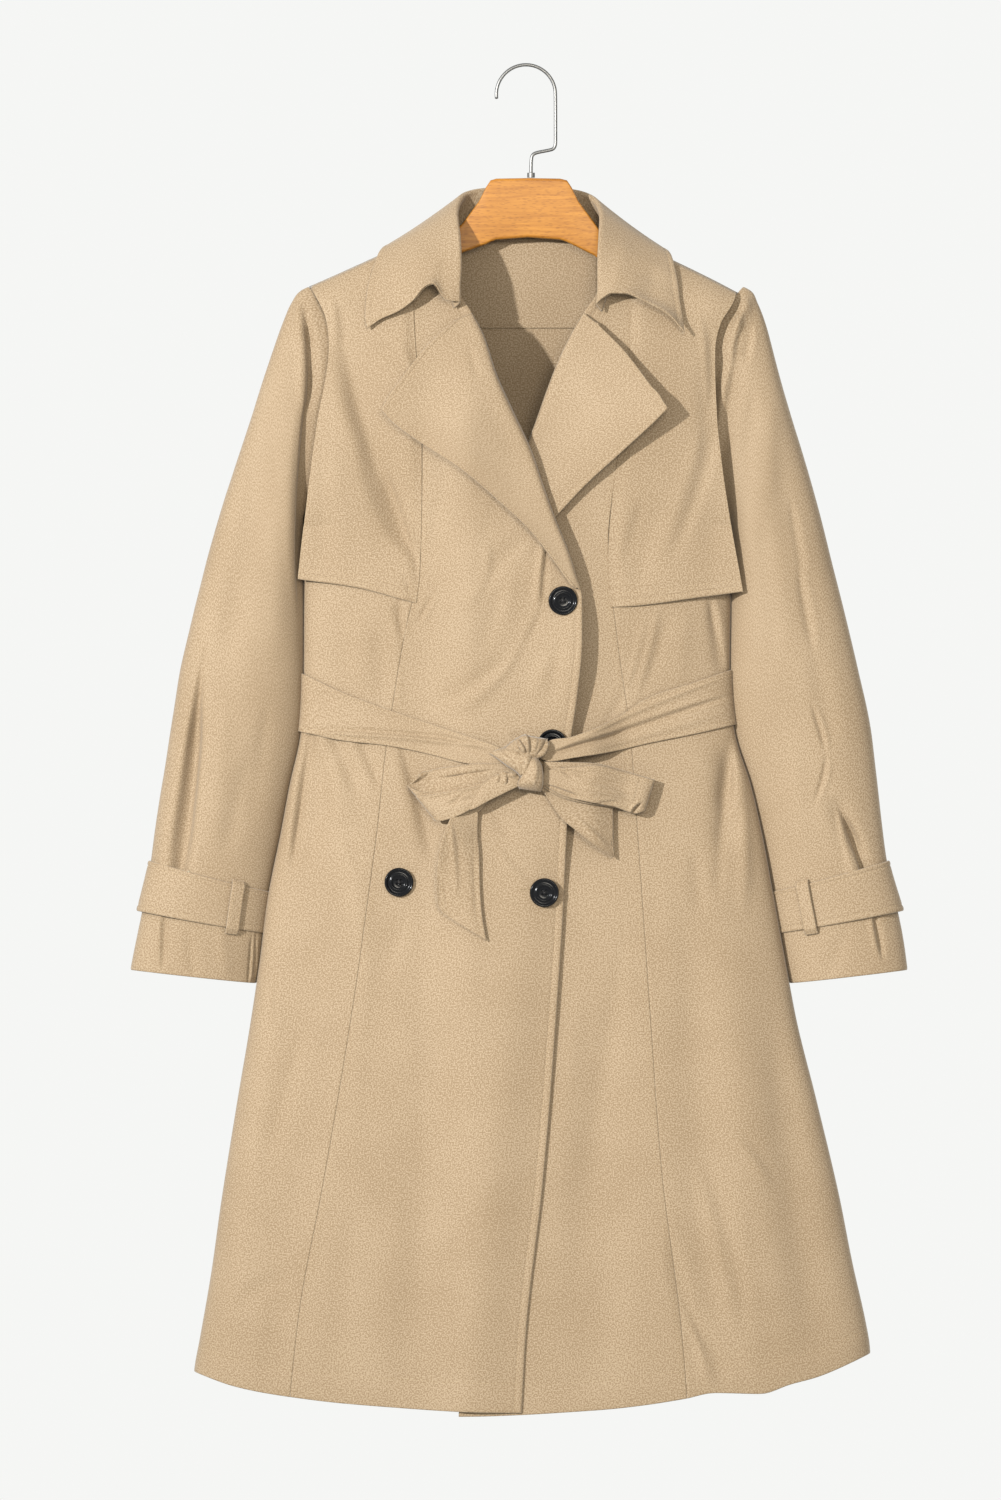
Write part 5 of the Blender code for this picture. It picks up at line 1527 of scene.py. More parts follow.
def cloth_lengths(base):
    """How far each point of a grid lies across the cloth, from its middle column, and down it."""
    across = np.zeros(base.shape[:2])
    across[:, 1:] = np.cumsum(np.linalg.norm(np.diff(base, axis=1), axis=-1), axis=1)
    middle = base.shape[1] // 2
    across = across - across[:, middle : middle + 1]
    down = np.zeros(base.shape[:2])
    down[1:] = np.cumsum(np.linalg.norm(np.diff(base, axis=0), axis=-1).mean(axis=1))[:, None]
    return np.stack((across, down), axis=-1)


def shell(name, skin, us, vs, thick=CLOTH, relief=None, flip=False, wraps=False, side=0):
    """A piece of cloth on a surface, with its relief: its object, and its sheet."""
    u, v = np.meshgrid(us, vs)
    sign = -1 if flip else 1
    base = skin(u, v)
    facing = sign * grid_normals(base, wraps)
    if relief is not None:
        base = base + relief(base[..., 0], -base[..., 2], u, v)[..., None] * facing
        facing = sign * grid_normals(base, wraps)
    inner = base - thick * facing
    if side:
        inner[..., 1] = side * np.maximum(side * inner[..., 1], SEAM / 2)
    points = np.concatenate((base.reshape(-1, 3), inner.reshape(-1, 3)))
    quads = wall_quads(len(us), len(vs), wraps)
    if flip:
        quads = quads[:, ::-1]
    grain = cloth_lengths(base).reshape(-1, 2)
    made = mesh_piece(name, points, quads, cloth_look(), np.concatenate((grain, grain)))
    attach(made, "root")
    return made, Sheet(us, vs, base, facing, wraps)


def tube_faces(rings, sides, order=(0, 1, 2, 3)):
    """Faces between rings of points, and those that close both ends at two last points. The
    order of a face's corners turns it inside out, and its ends with it, unless it is the first one."""
    i, j = np.meshgrid(np.arange(sides), np.arange(rings - 1))
    i, j = i.ravel(), j.ravel()
    after = (i + 1) % sides
    row, below = j * sides, (j + 1) * sides
    quads = np.stack((row + i, row + after, below + after, below + i), axis=1)[:, order]
    k = np.arange(sides)
    next_k = (k + 1) % sides
    last = (rings - 1) * sides
    first_cap = np.stack((next_k, k, np.full(sides, rings * sides)), axis=1)
    last_cap = np.stack((last + k, last + next_k, np.full(sides, rings * sides + 1)), axis=1)
    caps = np.concatenate((first_cap, last_cap))
    return quads, caps if order == (0, 1, 2, 3) else caps[:, (1, 0, 2)]


def with_middles(flat, sides):
    """The points of a tube, with the middles of its first and last ring after them."""
    return np.concatenate((flat, flat[:sides].mean(axis=0)[None], flat[-sides:].mean(axis=0)[None]))


def solid_piece(name, points, quads, triangles, look, grain=None):
    """A smooth closed mesh of four- and three-cornered faces, from points in millimetres."""
    mesh = bpy.data.meshes.new(name)
    faces = [tuple(face) for face in quads.tolist()] + [tuple(face) for face in triangles.tolist()]
    mesh.from_pydata((np.asarray(points) * MM).tolist(), [], faces)
    if grain is not None:
        layer = mesh.uv_layers.new(name="grain")
        order = np.concatenate((quads.ravel(), triangles.ravel()))
        layer.data.foreach_set("uv", (np.asarray(grain)[order] * MM).astype(np.float32).ravel())
    mesh.materials.append(look)
    mesh.update(calc_edges=True)
    mesh.shade_smooth()
    made = bpy.data.objects.new(name, mesh)
    bpy.context.scene.collection.objects.link(made)
    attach(made, "root")
    return made
# ---------------------------------------------------------------------------------------------- body pieces


def soft_cloth(x, down, seed, height=0.2):
    """The unevenness of hung cloth: long shallow waves that run down it, and a few short ones."""
    long_waves = noise(x, down * 0.22, 88.0, seed)
    near = noise(x, down * 0.5, 46.0, seed + 3)
    fine = noise(x, down, 24.0, seed + 5)
    return height * (0.9 * long_waves + 0.5 * near + 0.16 * fine)


def under_cover(x, down, side):
    """1 where a side front lies under its storm flap or the belt, 0 where it shows."""
    lower = FLAP_LOWER_LINES[side](x)
    flap = 1 - ease(lower - 16, lower - 5, down)
    return np.maximum(flap, under_belt(x, down))


def under_belt(x, down):
    upper, lower = belt_edges(x)
    return ease(upper - 1, upper + 5, down) * (1 - ease(lower - 5, lower + 1, down))


def belt_edges(x):
    """Upper and lower edge of the belt in front, at each x."""
    right, left = np.minimum(x, BAND_ENDS[0]), np.maximum(x, BAND_ENDS[1])
    upper = np.where(x < 0, BAND_LINES["right"][0](right), BAND_LINES["left"][0](left))
    lower = np.where(x < 0, BAND_LINES["right"][1](right), BAND_LINES["left"][1](left))
    return upper, lower


BAND_ENDS = (-18, 20)  # x where the bands go in under the knot
FLAP_LOWER_LINES = {"right": line(RIGHT_FLAP_LOWER), "left": line(LEFT_FLAP_LOWER)}
BAND_LINES = {
    "right": (line(RIGHT_BAND, 1), line(RIGHT_BAND, 2)),
    "left": (line(LEFT_BAND, 1), line(LEFT_BAND, 2)),
}


def seam_pucker(distance, along, pitch=11.0, reach=9.0, height=0.22):
    """Small ripples across a seam that has pulled the cloth a little."""
    wave = np.sin(2 * math.pi * along / pitch + 1.3 * np.sin(along / 37.0))
    return height * wave * np.exp(-((distance / reach) ** 2))


def no_stand(x, down, inside, v):
    return 0.0


def right_front_stand(x, down, inside, v):
    """The right front's edge lies close to the left front in the skirt and stands off it at the chest."""
    near = np.exp(-((inside / EDGE_REACH) ** 2))
    low = -EDGE_SINK * wrap_over(x, down) * ease(*EDGE_SINK_ROWS, down)
    high = EDGE_LIFT * ease(*EDGE_LIFT_ROWS[:2], down) * (1 - ease(*EDGE_LIFT_ROWS[2:], down))
    return near * (low + high)


EDGE_REACH = 26.0
EDGE_SINK = 0.58  # of the height that the right front has above the left one
EDGE_SINK_ROWS = (620.0, 740.0)
EDGE_LIFT = 7.0
EDGE_LIFT_ROWS = (440.0, 492.0, 520.0, 592.0)


def panel_relief(width, length, seed, table, edges, cover, stand, folds):
    """Relief of a body panel: its creases, its seam edges and the cloth's unevenness."""

    def relief(x, down, u, v):
        left, right = u * width(v), (1 - u) * width(v)
        total = creases(table, x, down) + soft_cloth(x, down, seed)
        total = total * calm_side(x, body_row(v))
        covered = cover(x, down)
        total = total * (1 - covered) - COVERED_SINK * covered + stand(x, down, right, v)
        total = total + creases(folds, x, down)
        for near, has_edge in ((left, edges[0]), (right, edges[1])):
            if has_edge == 2:
                total = total + edge_relief(near)
            if has_edge == 1:
                total = total - SEAM_SINK * (1 - rounded(near / RIM_WIDTH)) + seam_pucker(near, down)
        total = total + edge_relief((1 - v) * length, groove=0.3, seam=HEM_TURN)
        return total * ease(0.0, 0.03, v)

    return relief


SEAM_SINK = 0.35  # of a panel at its seam to the next one


def panel_width(skin):
    """Width of a panel at each share of its length."""
    rows = np.linspace(0, 1, 60)
    across = np.linspace(0, 1, 12)
    u, v = np.meshgrid(across, rows)
    points = skin(u, v)
    width = np.linalg.norm(np.diff(points, axis=1), axis=-1).sum(axis=1)
    return lambda at: np.interp(at, rows, width)


def body_rows(length, pitch):
    """Shares along a panel: close together from the chest to the upper skirt, and at the hem."""
    start = np.array((0.0, 0.004, 0.01, 0.018))
    chest, skirt = ROWS_FINE[0] / length, ROWS_FINE[1] / length
    hem_rows = spaced(length, pitch * 1.6, (0, 1))
    upper = np.arange(0.022, chest, pitch * 1.5 / length)
    fine = np.arange(upper[-1] + pitch * 1.1 / length, skirt, pitch * 1.1 / length)
    lower = hem_rows[hem_rows > fine[-1] + pitch * 0.8 / length]
    return np.concatenate((start, upper, fine, lower))


ROWS_FINE = (215.0, 560.0)  # along a panel


def body_panel(name, skin, table, seed, edges, flip, side, cover, pitch=2.6, stand=no_stand, folds=()):
    """A panel of the body. An edge is 0 at a side seam, 1 at a princess seam and 2 at the front edge."""
    width = panel_width(skin)
    middle_width = float(width(0.5))
    length = CORNER_DOWN - SHOULDER_DOWN + 40.0
    us = spaced(middle_width, pitch, edges)
    vs = body_rows(length, pitch)
    relief = panel_relief(width, length, seed, table, edges, cover, stand, folds)
    made, sheet = shell(name, skin, us, vs, CLOTH, relief, flip, side=side)
    sheet.width, sheet.length = width, length
    return made, sheet


SEWN = 0.06  # between two pieces that are sewn together


def lower_hem(skin):
    """The left front's hem hangs a little lower towards its edge, under the right front."""

    def lowered(u, v):
        points = np.array(skin(u, v))
        near_edge = 1 - ease(*HEM_LOWER_X, points[..., 0])
        points[..., 2] = points[..., 2] - HEM_LOWER * near_edge * ease(0.93, 1.0, v)
        return points

    return lowered


HEM_LOWER = 5.0
HEM_LOWER_X = (-90.0, 60.0)


def make_body():
    right_seam, left_seam = line(RIGHT_PRINCESS), line(LEFT_PRINCESS)
    right_edge, left_edge = line(RIGHT_FRONT_EDGE), line(LEFT_FRONT_EDGE)
    half = SEWN / 2
    quarter = math.pi / 2
    right_side = front_panel(-quarter, None, right_seam, 1, (0, -half))
    right_centre = front_panel(0, right_seam, right_edge, 1, (half, 0))
    left_side = front_panel(quarter, None, left_seam, 0, (0, half))
    left_centre = lower_hem(front_panel(0, left_seam, left_edge, 0, (-half, 0)))
    made = {}
    for side, side_skin, centre_skin, seed in (
        ("right", right_side, right_centre, 1),
        ("left", left_side, left_centre, 2),
    ):
        flip = side == "right"

        def side_cover(x, down, side=side):
            return under_cover(x, down, side)

        stand = right_front_stand if side == "right" else no_stand
        for name, skin, edges, cover, lift in (
            ("side_front_" + side, side_skin, (0, 1), side_cover, no_stand),
            ("centre_front_" + side, centre_skin, (1, 2), centre_cover, stand),
        ):
            made[name] = body_panel(
                "cloth_" + name, skin, FRONT_CREASES, seed, edges, flip, -1, cover,
                stand=lift, folds=CHEST_FOLDS,
            )

    def back(u, v):
        row = body_row(v)
        x = middle(row) + half_width(row) * np.sin(mix(-quarter, quarter, u))
        return back_skin(x, row)

    made["back"] = body_panel("cloth_back", back, BACK_CREASES, 3, (0, 0), False, 1, back_cover, pitch=5.0)
    return made


def centre_cover(x, down):
    """1 where a centre front lies under the belt, and along the roll of its lapel."""
    near_roll = np.minimum(np.abs(x - ROLL_LINES[0](down)), np.abs(x - ROLL_LINES[1](down)))
    lapel = (1 - ease(6, 16, near_roll)) * (1 - ease(405, 430, down))
    return np.maximum(0.6 * lapel, under_belt(x, down))


def back_cover(x, down):
    upper, lower = BACK_BAND_LINES[0](x), BACK_BAND_LINES[1](x)
    return ease(upper - 1, upper + 5, down) * (1 - ease(lower - 5, lower + 1, down))


ROLL_LINES = (line(RIGHT_FRONT_EDGE), line(LEFT_FRONT_EDGE))
BACK_BAND_LINES = (line(BACK_BAND, 1), line(BACK_BAND, 2))
COVERED_SINK = 0.9  # what lies under a flap or the belt is pressed in this far
HEM_TURN = 24.0  # from the hem to its row of stitches


FACING_WIDER = 9.0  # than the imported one, at each side
FACING_STITCH = 5.0
FACING_LONG = 75.0


def make_neck_facing():
    def inside(u, v):
        x = mix(NECK_FACING_X[0] - FACING_WIDER, NECK_FACING_X[1] + FACING_WIDER, u)
        down = mix(*NECK_FACING_DOWN, v)
        return back_skin(x, row_at(x, down, back_neck))

    def relief(x, down, u, v):
        return -0.25 * np.exp(-(((1 - v) * FACING_LONG - FACING_STITCH) / GROOVE_HALF) ** 2)

    facing = moved_out(inside, -(CLOTH + NECK_FACING_GAP))
    width, length = NECK_FACING_X[1] - NECK_FACING_X[0], NECK_FACING_DOWN[1] - NECK_FACING_DOWN[0]
    us, vs = spaced(width, 3.0, (0, 0)), spaced(length, 3.0, (0, 1))
    return {"back_neck_facing": shell("cloth_back_neck_facing", facing, us, vs, NECK_FACING_THICK, relief)}


FLAP_WIDTH = 112.0  # for its rows of stitches
FLAP_LENGTH = 270.0
FLAP_ROWS = (5.0, 10.5)  # from its edge
FLAP_SEWN_IN = 2.1  # a flap comes down to the front by this at the princess seam
FLAP_WIDER = 1.0  # and reaches to it


def widened(skin, sign):
    def wide(u, v):
        points = np.array(skin(u, v))
        points[..., 0] = points[..., 0] + sign * FLAP_WIDER * ease(0.9, 1.0, u)
        return points

    return wide


def make_flaps():
    made = {}
    for side in ("right", "left"):
        flip = side == "right"
        lifted = widened(moved_out(flap_surface(side), FLAP_GAP + CLOTH, flip=flip), 1 if flip else -1)
        seed = 4 if flip else 6
        width, length = FLAP_WIDTH, FLAP_LENGTH

        def relief(x, down, u, v, seed=seed, lifted=lifted):
            total = creases(FLAP_CREASES + CHEST_FOLDS, x, down) + soft_cloth(x, down, seed, 0.35)
            lower = (1 - v) * length
            second_row = 0.4 * np.exp(-(((lower - FLAP_ROWS[1]) / GROOVE_HALF) ** 2))
            double = edge_relief(lower, groove=0.4, seam=FLAP_ROWS[0]) - second_row
            outer = -CLOTH / 2 * (1 - rounded(u * width / RIM_WIDTH))
            seam = -FLAP_SEWN_IN * (1 - ease(0, 9, (1 - u) * width)) + seam_pucker((1 - u) * width, down)
            return (total + double + outer + seam) * ease(0, 0.02, v)

        us = spaced(width, 2.6, (1, 1))
        vs = spaced(length, 2.8, (0, 1))
        name = "cloth_gun_flap_" + side
        made["gun_flap_" + side] = shell(name, lifted, us, vs, CLOTH, relief, flip)
    return made


LAPEL_POINT = {"right": 0.66, "left": 0.67}  # share along the lapel where its point is
POINT_REACH = (0.02, 0.09)  # the sharpened part on both sides of it
LAPEL_LONG = 240.0
FACED_SEAM = 5.2  # from a lapel's or the collar's edge to the groove of its stitches


def sharp_point(rows, side):
    """Draws a lapel's edge out to a sharp point where the smooth line through its table rounds it off."""
    at = [row[0] for row in rows]
    smooth_x, smooth_down = line(rows, 1), line(rows, 2)

    def sharpen(points, u, v):
        beyond_x = np.interp(v, at, [row[1] for row in rows]) - smooth_x(v)
        beyond_down = np.interp(v, at, [row[2] for row in rows]) - smooth_down(v)
        near = (1 - ease(*POINT_REACH, np.abs(v - LAPEL_POINT[side]))) * ease(0.5, 1.0, u)
        points[..., 0] = points[..., 0] + beyond_x * near
        points[..., 2] = points[..., 2] - beyond_down * near
        return points

    return sharpen


def make_lapels():
    made = {}
    for side, edge_rows, lapel, lowest, over, height in (
        ("right", RIGHT_FRONT_EDGE, RIGHT_LAPEL, RIGHT_BREAK, 1, 5.0),
        ("left", LEFT_FRONT_EDGE, LEFT_LAPEL, LEFT_BREAK, 0, 2.0),
    ):
        under = lapel_surface(line(edge_rows), lapel, lowest, over, height)

        def face(u, v, under=under):
            """The lapel's outer face, which lies its thickness in front of the underside."""
            points = np.array(under(u, v))
            points[..., 1] = points[..., 1] - FACED
            return sharpen(points, u, v)

        edge_x, edge_down = line(lapel, 1), line(lapel, 2)
        roll = line(edge_rows)
        sharpen = sharp_point(lapel, side)
        low = lowest

        def relief(x, down, u, v, edge_x=edge_x, edge_down=edge_down, roll=roll, low=low):
            roll_down = mix(low, GORGE, v)
            width = np.hypot(edge_x(v) - roll(roll_down), edge_down(v) - roll_down)
            outer = (1 - u) * width
            body = creases(LAPEL_CREASES, x, down) + soft_cloth(x, down, 8, 0.25)
            rim = edge_relief(outer, puff=0.16, groove=0.3, seam=FACED_SEAM)
            ends = edge_relief((1 - v) * LAPEL_LONG, puff=0.1, groove=0.2, seam=FACED_SEAM)
            return body * ease(0, 0.2, u) + rim + ends

        us = spaced(85.0, 2.2, (0, 1))
        vs = spaced(250.0, 2.2, (1, 1))
        name = "cloth_lapel_" + side
        made["lapel_" + side] = shell(name, face, us, vs, FACED, relief, side == "right")
    return made


def make_collar():
    def relief(x, down, u, v):
        leaf = np.clip((v - FOLD_SHARE) / (1 - FOLD_SHARE), 0, 1)
        rim = edge_relief((1 - v) * COLLAR_HIGH, puff=0.16, groove=0.3, seam=FACED_SEAM) * (leaf > 0)
        side = edge_relief(np.minimum(u, 1 - u) * COLLAR_LONG, puff=0.16, groove=0.3, seam=FACED_SEAM)
        total = creases(COLLAR_CREASES, x, down) * ease(0.05, 0.3, leaf)
        return total + rim + side * ease(0.0, 0.1, leaf)

    us = spaced(COLLAR_LONG, 3.0, (1, 1))
    stand = np.linspace(0, STAND_SHARE, 5)
    roll = np.linspace(STAND_SHARE, FOLD_SHARE, 9)[1:]
    leaf = mix(FOLD_SHARE, 1, spaced(80.0, 2.4, (0, 1)))[1:]
    vs = np.concatenate((stand, roll, leaf))
    return {"collar": shell("cloth_collar", collar_skin, us, vs, COLLAR_THICK, relief)}


COLLAR_LONG = 620.0  # for its rows of stitches
COLLAR_HIGH = 105.0


TUCK = 3.2  # the sleeve head goes this far under the edge of the armhole
TUCK_SHARE = 0.06  # of the sleeve's length
TUCK_FLAT = 0.16  # and is this much flatter there
HEAD_TOP = (-0.2, 0.7)  # cosine of the turn round the sleeve: its head, over the shoulder
HEAD_FULL = 0.75  # this share of the flattening is left out there
SLEEVE_TOUCH = -1.6  # the inner side of a sleeve goes this far behind the side of the body
SLEEVE_BEHIND = 8.0  # and lies this much further back
TOUCH_ROWS = (396.0, 425.0, 790.0, 830.0)


def sleeve_on_body(side):
    """The sleeve, drawn up to the side of the body and in under the edge of the armhole."""
    sign = -1 if side == "right" else 1
    base = sleeve_surface(side)
    body_x = edge_right if side == "right" else edge_left

    def skin(u, v):
        points = np.array(base(u, v))
        down = -points[..., 2]
        turn = 2 * math.pi * u
        near = ((1 - np.cos(turn)) / 2) ** 3
        rows = ease(*TOUCH_ROWS[:2], down) * (1 - ease(*TOUCH_ROWS[2:], down))
        inner_x = base(np.full_like(points[..., 0], 0.5), v)[..., 0]
        inner_down = -base(np.full_like(points[..., 0], 0.5), v)[..., 2]
        wanted = side_x(body_x, inner_down) + sign * SLEEVE_TOUCH
        points[..., 0] = points[..., 0] + (wanted - inner_x) * near * rows
        points[..., 1] = points[..., 1] + SLEEVE_BEHIND * near * rows
        tuck = np.clip(1 - v / TUCK_SHARE, 0, 1) ** 2
        top = ease(*HEAD_TOP, np.cos(turn))
        points[..., 0] = points[..., 0] - sign * TUCK * tuck * (0.2 + 0.8 * np.abs(np.sin(turn)))
        points[..., 1] = points[..., 1] * (1 - TUCK_FLAT * tuck * (1 - HEAD_FULL * top))
        return points

    return skin


SLEEVE_FRONT, SLEEVE_REAR = 120, 40  # columns of the mesh
SLEEVE_LONG = 610.0
CUFF_SEAM = 30.0


def make_sleeves():
    made = {}
    for side in ("right", "left"):
        flip = side == "right"
        skin = sleeve_on_body(side)
        table = SLEEVE_CREASES[side]
        seed = 9 if flip else 11

        def relief(x, down, u, v, table=table, seed=seed):
            front = ease(0.05, 0.5, np.sin(2 * math.pi * u))
            rear = ease(0.05, 0.5, -np.sin(2 * math.pi * u))
            total = creases(table, x, down) * front + creases(SLEEVE_BACK_CREASES, np.abs(x), down) * rear
            cuff = edge_relief((1 - v) * SLEEVE_LONG, groove=0.35, seam=CUFF_SEAM)
            head = -0.6 * (1 - rounded(v * SLEEVE_LONG / 3.0))
            return total + soft_cloth(x, down, seed, 0.4) * ease(0, 0.05, v) + cuff + head

        front_half = 0.5 * np.arange(SLEEVE_FRONT) / SLEEVE_FRONT
        rear_half = 0.5 + 0.5 * np.arange(SLEEVE_REAR) / SLEEVE_REAR
        around = np.concatenate((front_half, rear_half))
        along = spaced(SLEEVE_LONG, 3.4, (1, 1))
        name = "cloth_sleeve_" + side
        made["sleeve_" + side] = shell(name, skin, around, along, CLOTH, relief, flip, True)
        made.update(make_cuff_strap(side, skin, flip))
    return made


STRAP_HIGH = 40.0
STRAP_SEAM = 4.5


def make_cuff_strap(side, skin, flip):
    """The strap round a cuff, and the loop that holds it."""
    upper, lower = STRAP_ROWS

    def ring(u, v):
        return skin(u, mix(upper, lower, v))

    def strap_out(u, v):
        return STRAP_OUT + CLOTH + STRAP_FLARE * v * (0.5 + 0.5 * np.cos(2 * math.pi * u)) ** 2

    def strap_relief(x, down, u, v):
        upper_edge = edge_relief(v * STRAP_HIGH, seam=STRAP_SEAM)
        return upper_edge + edge_relief((1 - v) * STRAP_HIGH, seam=STRAP_SEAM)

    strap = moved_out(ring, strap_out, flip=flip, wraps=True)
    around = np.arange(110) / 110
    rows = spaced(STRAP_HIGH, 2.0, (1, 1))
    name = "cloth_cuff_strap_" + side
    made = {"cuff_strap_" + side: shell(name, strap, around, rows, CLOTH, strap_relief, flip, True)}

    def loop_ring(u, v):
        down_share = mix(-LOOP_BEYOND, 1 + LOOP_BEYOND, v)
        turn = LOOP_TURN + (u - 0.5) * 2 * LOOP_HALF / CUFF_ROUND
        return skin(turn, mix(upper, lower, down_share))

    def loop_out(u, v):
        return CLOTH + LOOP_GAP + LOOP_OUT * ease(0.0, 0.1, v) * ease(1.0, 0.9, v)

    loop = moved_out(loop_ring, loop_out, flip=flip)
    name = "cloth_cuff_loop_" + side
    us = spaced(2 * LOOP_HALF, 1.0, (0, 0))
    made["cuff_loop_" + side] = shell(name, loop, us, np.linspace(0, 1, 50), CLOTH, None, flip)
    return made
# ---------------------------------------------------------------------------------------------- belt pieces


def belt_relief(width, table, seed):
    """Relief across a belt of a given width: rolled edges, rows of stitching and wrinkles."""

    def relief(x, down, u, v):
        near = np.minimum(v, 1 - v) * width
        rows = -0.22 * np.exp(-(((near - 4.5) / 0.7) ** 2))
        middle_row = -0.22 * np.exp(-(((near - width / 2) / 0.8) ** 2))
        rim = -CLOTH / 2 * (1 - rounded(near / 1.6))
        return creases(table, x, down) + soft_cloth(x, down, seed, 0.4) + rim + rows + middle_row

    return relief


# nominal sizes, for the rows of the meshes
BAND_LONG = 220.0
BAND_HIGH = 50.0
BELT_HIGH = 52.0
LOOP_HIGH = 34.0
TAIL_LONG = 150.0


def make_belt():
    made = {}
    for side, rows, turn_side in (("right", RIGHT_BAND, -1), ("left", LEFT_BAND, 1)):
        flip = side == "right"
        base = band_surface(rows, turn_side)

        def out(u, v, base=base):
            return CLOTH + belt_height(base(u, v)[..., 0])

        band = moved_out(base, out, flip=flip)
        us = spaced(BAND_LONG, 2.2, (0, 0))
        vs = spaced(BAND_HIGH, 1.8, (1, 1))
        name = "cloth_belt_band_" + side
        relief = belt_relief(48.0, BELT_CREASES, 12)
        made["belt_band_" + side] = shell(name, band, us, vs, CLOTH, relief, flip, side=-1)

    def back(u, v):
        return back_skin(*round_the_waist(BACK_BAND, -math.pi / 2, 1e3, back_neck, u, v))

    around = (1 - np.cos(math.pi * np.linspace(0, 1, 150))) / 2
    out_back = moved_out(back, CLOTH + BAND_OUT)
    relief = belt_relief(BELT_HIGH, BELT_BACK_CREASES, 13)
    vs = spaced(BELT_HIGH, 2.4, (1, 1))
    made["belt_back"] = shell("cloth_belt_back", out_back, around, vs, CLOTH, relief, side=1)
    return made


RIBBON_PITCH = 0.8
RIBBON_THICK = 1.2
BELT_SEED = 14


def make_ribbon(name, rows, size, table, arch, flip):
    """A short stretch of the belt at the knot; its size is nominal, for its rows."""
    us = spaced(size[0], RIBBON_PITCH, (0, 0))
    vs = spaced(size[1], RIBBON_PITCH, (0, 0))

    def relief(x, down, u, v):
        near = np.minimum(v, 1 - v) * size[1]
        uneven = soft_cloth(x, down, BELT_SEED, 0.3)
        return creases(table, x, down) + uneven - 0.6 * (1 - rounded(near / RIBBON_THICK))

    return shell(name, ribbon_surface(rows, arch), us, vs, RIBBON_THICK, relief, flip)


def make_knot():
    """The knot: four wraps of the belt, over a lump that fills it."""
    lump = make_lump()
    wraps = []
    for name, rows, size, arch, flip in (
        ("cloth_knot_hump", KNOT_HUMP, (42.0, 18.0), 6.0, False),
        ("cloth_knot_slant", KNOT_SLANT, (34.0, 16.0), 5.0, False),
        ("cloth_knot_fold", KNOT_FOLD, (20.0, 9.0), 4.0, True),
        ("cloth_knot_front", KNOT_FRONT, (30.0, 22.0), 6.0, True),
    ):
        wraps.append(make_ribbon(name, rows, size, KNOT_CREASES, arch, flip))
    return {"belt_knot": (lump, None)}, wraps


def make_lump():
    """The closed, rounded filling of the knot."""
    sides, rings = 40, 24
    x_at, half_at, deep_at = (line(KNOT, column) for column in (1, 2, 3))
    turns = 2 * math.pi * np.arange(sides) / sides
    turn, down = np.meshgrid(turns, np.linspace(KNOT[0][0] + 4, KNOT[-1][0] - 3, rings))
    base = belt_base(x_at(down), down)[..., 1] - LUMP_OUT
    x = x_at(down) + LUMP_SIZE * half_at(down) * np.cos(turn)
    y = base + LUMP_SIZE * deep_at(down) * np.sin(turn)
    flat = np.stack((x, y, -down), axis=-1).reshape(-1, 3)
    quads, caps = tube_faces(rings, sides, (3, 2, 1, 0))
    flat = with_middles(flat, sides)
    grain = np.stack((flat[:, 0], -flat[:, 2]), axis=1)
    made = solid_piece("cloth_belt_knot", flat, quads, caps, cloth_look(), grain)
    return made


LUMP_SIZE = 0.72
LUMP_OUT = 13.0


def make_bow():
    made, wraps = make_knot()
    for side, bow, rear, tail, tilt in (
        ("right", RIGHT_BOW, RIGHT_BOW_REAR, RIGHT_TAIL, RIGHT_TAIL_TILT),
        ("left", LEFT_BOW, LEFT_BOW_REAR, LEFT_TAIL, LEFT_TAIL_TILT),
    ):
        flip = side == "left"
        near, end, far = np.linspace(0, 0.4, 60), np.linspace(0.4, 0.6, 41), np.linspace(0.6, 1, 45)
        along = np.concatenate((near[:-1], end[:-1], far))
        across = spaced(LOOP_HIGH, 1.2, (1, 1))
        relief = belt_relief(LOOP_HIGH, BOW_CREASES, BELT_SEED)
        name = "cloth_bow_loop_" + side
        skin = bow_surface(bow, rear)
        made["bow_loop_" + side] = shell(name, skin, along, across, RIBBON_THICK, relief, flip)
        relief = belt_relief(36.0, TAIL_CREASES, 15)
        us = spaced(TAIL_LONG, 2.0, (0, 1))
        name = "cloth_belt_tail_" + side
        skin = ribbon_surface(tail, 0.0, tilt)
        made["belt_tail_" + side] = shell(name, skin, us, across, CLOTH, relief, flip)
    turn = make_ribbon("cloth_tail_turn", TAIL_TURN, (50.0, 18.0), TURN_CREASES, 1.5, True)
    wraps.append(turn)
    return made, wraps
# ---------------------------------------------------------------------------------------------- stitching

STITCH_PITCH = 3.1
STITCH_LONG = 2.3
STITCH_WIDE = 0.55
STITCH_HIGH = 0.32
STITCH_SUNK = -0.05  # its ends, below the cloth's face
# the faces of one stitch: point 0 is its first end, 1 to 4 go round its middle, 5 is its last end
SPINDLE = ((0, 1, 2), (0, 2, 3), (0, 3, 4), (0, 4, 1), (5, 2, 1), (5, 3, 2), (5, 4, 3), (5, 1, 4))


